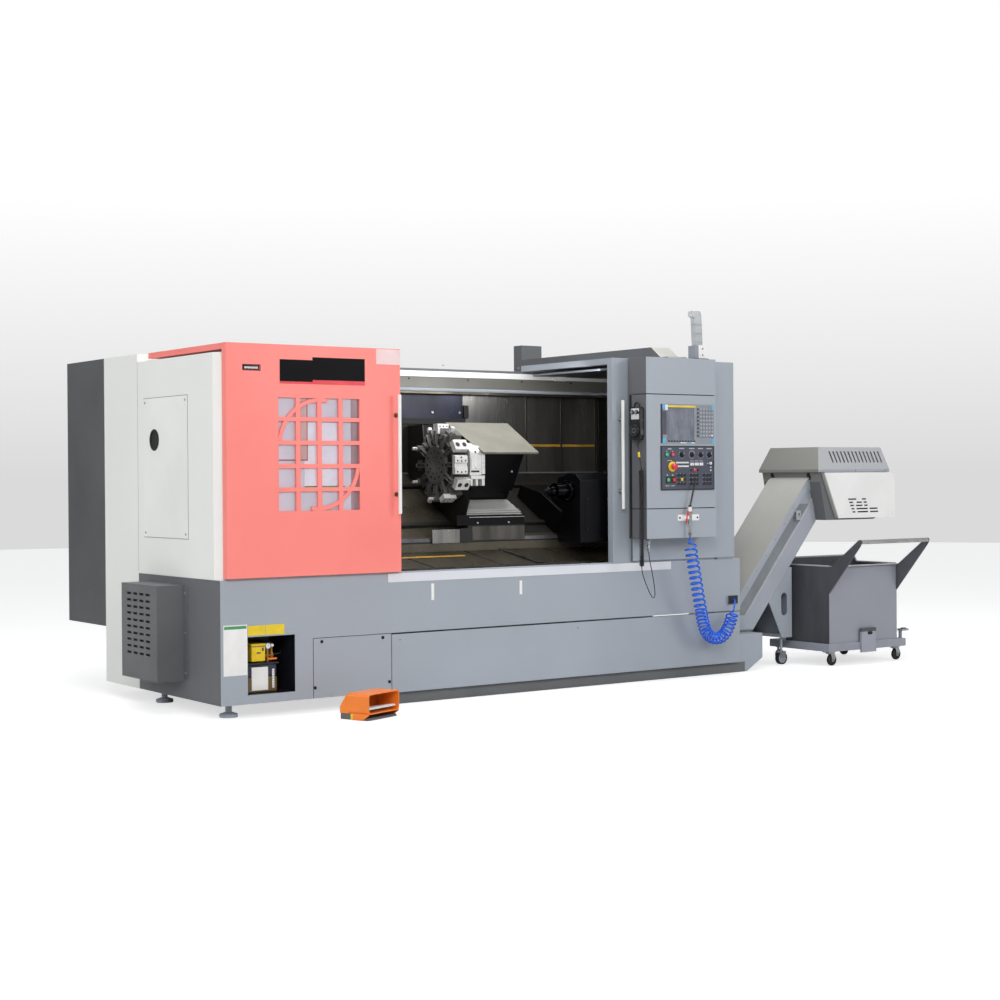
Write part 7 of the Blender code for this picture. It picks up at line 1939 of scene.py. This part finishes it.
def dressCart():
    left, right, front, back, top, backTop = 4.039, 4.636, -0.1, 0.274, 0.611, 0.652
    rim = [
        tube(
            [(left + 0.008, front - 0.004, top - 0.004), (right - 0.008, front - 0.004, top - 0.004)], 0.0066,
            12,
        ),
        tube([(left + 0.003, back - 0.004, backTop), (right - 0.003, back - 0.004, backTop)], 0.0058, 12),
    ]
    for x in (left + 0.003, right - 0.003):
        rise = [(x, back - 0.04, top + 0.001), (x, back - 0.012, backTop + 0.0005)]
        rim += [tube([(x, front + 0.003, top + 0.001), rise[0]], 0.0052, 12), tube(rise, 0.0052, 12)]
    piece("binRim", rim, "rimEnamel")
    grip = (-0.355, 0.765)  # Y and Z of the push bar
    piece("pushBar", [rod("X", grip, 0.013, left + 0.0065, right - 0.0065, 20)], "brushedTube")
    caps = [rod("X", grip, 0.0135, x, x + 0.007, 20) for x in (left - 0.0008, right - 0.0062)]
    piece("pushBarEnds", caps, "cartDarkEnamel")
    arms = []
    for x in (left, right - 0.004):
        outline = [
            (front + 0.0035, top - 0.17), (front + 0.0035, top - 0.015), (front - 0.02, top - 0.001),
            (grip[0] + 0.009, grip[1] + 0.0105), (grip[0] - 0.009, grip[1]),
            (grip[0] - 0.0035, grip[1] - 0.021),
        ]
        arms.append(prism("X", outline, x - 0.0024, x - 0.0019))
    piece("binArmSides", arms, "cartDarkEnamel")
    # painted shade on the bin's left side
    side = [block((left - 0.0006, front + 0.004, 0.1375), (left - 0.0001, back - 0.003, top - 0.006))]
    piece("binSide", side, "binPaintedShade")
    deck = 0.1365
    rails = [
        block((4.02, -0.115, deck), (4.7, -0.1095, deck + 0.001)),
        block((4.02, -0.1095, deck), (4.0255, 0.4, deck + 0.001)),
        block((4.6945, -0.1095, deck), (4.7, 0.4, deck + 0.001)),
    ]
    piece("frameEdges", rails, "rimEnamel")
    frontFace = [
        block((4.0205, -0.1156, 0.0915), (4.2915, -0.1149, deck - 0.0008)),
        block((4.4205, -0.1156, 0.0915), (4.6995, -0.1149, deck - 0.0008)),
    ]
    piece("frameFront", frontFace, "cartEnamel")
    slot = [
        (4.366 + (0.012 if math.cos(a) > 0 else -0.012) + 0.0095 * math.cos(a), 0.19 + 0.0095 * math.sin(a))
        for a in [2 * math.pi * (i + 0.5) / 16 for i in range(16)]
    ]
    piece("latchSlot", [prism("Y", slot, -0.1272, -0.1215)], "blackInterior")
    # painted shade: dark plates lining the bin's inside
    inside = [
        block((left + 0.0062, front + 0.007, 0.144), (left + 0.0072, back - 0.0065, top - 0.004)),
        block((right - 0.0072, front + 0.007, 0.144), (right - 0.0062, back - 0.0065, top - 0.004)),
        block((left + 0.0075, back - 0.0072, 0.144), (right - 0.0075, back - 0.0062, backTop - 0.004)),
        block((left + 0.0075, front + 0.0062, 0.144), (right - 0.0075, front + 0.0072, top - 0.004)),
    ]
    piece("binLining", inside, "binPaintedShade")
    lever = [(4.711, -0.056, 0.182), (4.722, -0.056, 0.194), (4.745, -0.056, 0.1945), (4.768, -0.056, 0.193)]
    piece("leverRod", [tube(smoothLine(lever, 14), 0.004, 10)], "blackOxide")
    half, trail, axleZ = 0.012, 0.022, 0.036  # half a wheel's width, the castors' trail, the axles' height
    frontY, rearY = -0.06, 0.345
    for side, x in (("left", 4.075), ("right", 4.648)):
        spots = [rod("Y", (x + trail, axleZ), 0.015, frontY - half * 0.8, frontY + half * 0.8, 20)]
        piece(f"frontHub{side.title()}", spots, "greyAbs", body=f"front_{side}_wheel")
        axle = [rod("Y", (x + trail, axleZ), 0.0055, frontY - 0.0185, frontY + 0.0185, 6)]
        piece(f"frontAxle{side.title()}", axle, "zincPlate", body=f"front_{side}_castor")
        cover = [
            ring("Z", (x, frontY), 0.01, 0.02, 0.0745, 0.0785, 24),
            prism(
                "Y",
                [
                    (x - 0.004, 0.08), (x + 0.03, 0.08), (x + 0.04, 0.056), (x + 0.032, 0.033),
                    (x + 0.012, 0.033), (x + 0.004, 0.06),
                ],
                -0.0785, -0.0775,
            ),
        ]
        piece(f"frontFork{side.title()}", cover, "zincPlate", body=f"front_{side}_castor", edgeMm=0.3)
        spots = [rod("X", (rearY + trail, axleZ), 0.015, x - half * 0.8, x + half * 0.8, 20)]
        piece(f"rearHub{side.title()}", spots, "greyAbs", body=f"rear_{side}_wheel")


dressConveyor()
dressCart()

print("Pedal")


def makePedal():
    place = Matrix.Translation((0.64, -0.322, 0.0)) @ Matrix.Rotation(math.radians(22.0), 4, "Z")
    half, reach, height = 0.125, 0.09, 0.13
    wall = 0.006
    # the hood: shell with rounded mouth, open towards the foot; the wedge at the back holds the switch
    steps = 7

    def mouth(inset):
        corners = [
            (half - inset, 0.03 + inset, -90), (half - inset, height - inset, 0),
            (-half + inset, height - inset, 90), (-half + inset, 0.03 + inset, 180),
        ]
        points = []
        for x, z, start in corners:
            radius = 0.016 - inset * 0.5
            cx, cz = x - math.copysign(radius, x), z - (radius if z > 0.08 else -radius)
            for k in range(steps):
                a = math.radians(start + 90 * k / (steps - 1))
                points.append((cx + radius * math.cos(a), cz + radius * math.sin(a)))
        return points

    def shell(bm):
        outer, inner = mouth(0.0), mouth(wall)
        loops = []
        for y, outline in ((0.04, outer), (-reach, outer), (-reach, inner), (0.034, inner)):
            loops.append([bm.verts.new((x, y, min(z, height - 0.0005))) for x, z in outline])
        skin(bm, loops)

    wedge = prism(
        "X", [(0.034, 0.03), (0.034, height - 0.006), (0.052, height - 0.01), (reach, 0.062), (reach, 0.03)],
        -half + 0.006, half - 0.006,
    )
    skirt = [
        prism(
            "X",
            [
                (-reach + 0.002, 0.034), (0.02, 0.034), (0.02, 0.014), (0.006, 0.001), (-reach + 0.04, 0.001),
                (-reach + 0.002, 0.026),
            ],
            x, x + wall,
        )
        for x in (-half, half - wall)
    ]
    piece(
        "pedalHood", [moved(s, place) for s in (shell, wedge, *skirt)], "orangeEnamel", edgeMm=1.2,
        replaces=("pedal_guard",),
    )
    foot = [
        block((-half + 0.01, 0.01, 0.0005), (half - 0.01, reach - 0.001, 0.03)),
        block((-half + 0.008, -reach + 0.012, 0.0005), (half - 0.008, 0.012, 0.011)),
    ]
    piece("pedalFoot", [moved(s, place) for s in foot], "darkPowderCoat", edgeMm=1)
    trim = [block((-half + 0.012, -reach + 0.003, 0.001), (half - 0.012, -reach + 0.012, 0.0035))]
    piece("pedalFootEdge", [moved(s, place) for s in trim], "greyAbs", edgeMm=0.5)
    mark = [block((-half - 0.0003, 0.006, 0.003), (-half + 0.004, 0.02, 0.03))]
    piece("pedalBareMark", [moved(s, place) for s in mark], "yellowPlate", edgeMm=0.5)
    hinge, high, wide = 0.066, 0.0323, 0.107  # Y and Z of the hinge pin, width of one pedal
    for name, left in (("left_pedal", -half + 0.016), ("right_pedal", half - 0.016 - wide)):
        ribs = []
        for k in range(9):
            y0 = hinge - 0.036 - 0.012 * k
            share = (hinge - 0.03 - y0) / (hinge - 0.03 - (-reach + 0.016))
            z0 = high + 0.012 + 0.016 * share
            ribs.append(block((left + 0.006, y0 - 0.003, z0 - 0.001), (left + wide - 0.006, y0, z0 + 0.0022)))
        piece(f"{name.split('_')[0]}PedalRibs", [moved(s, place) for s in ribs], "paleAbs", body=name)


makePedal()
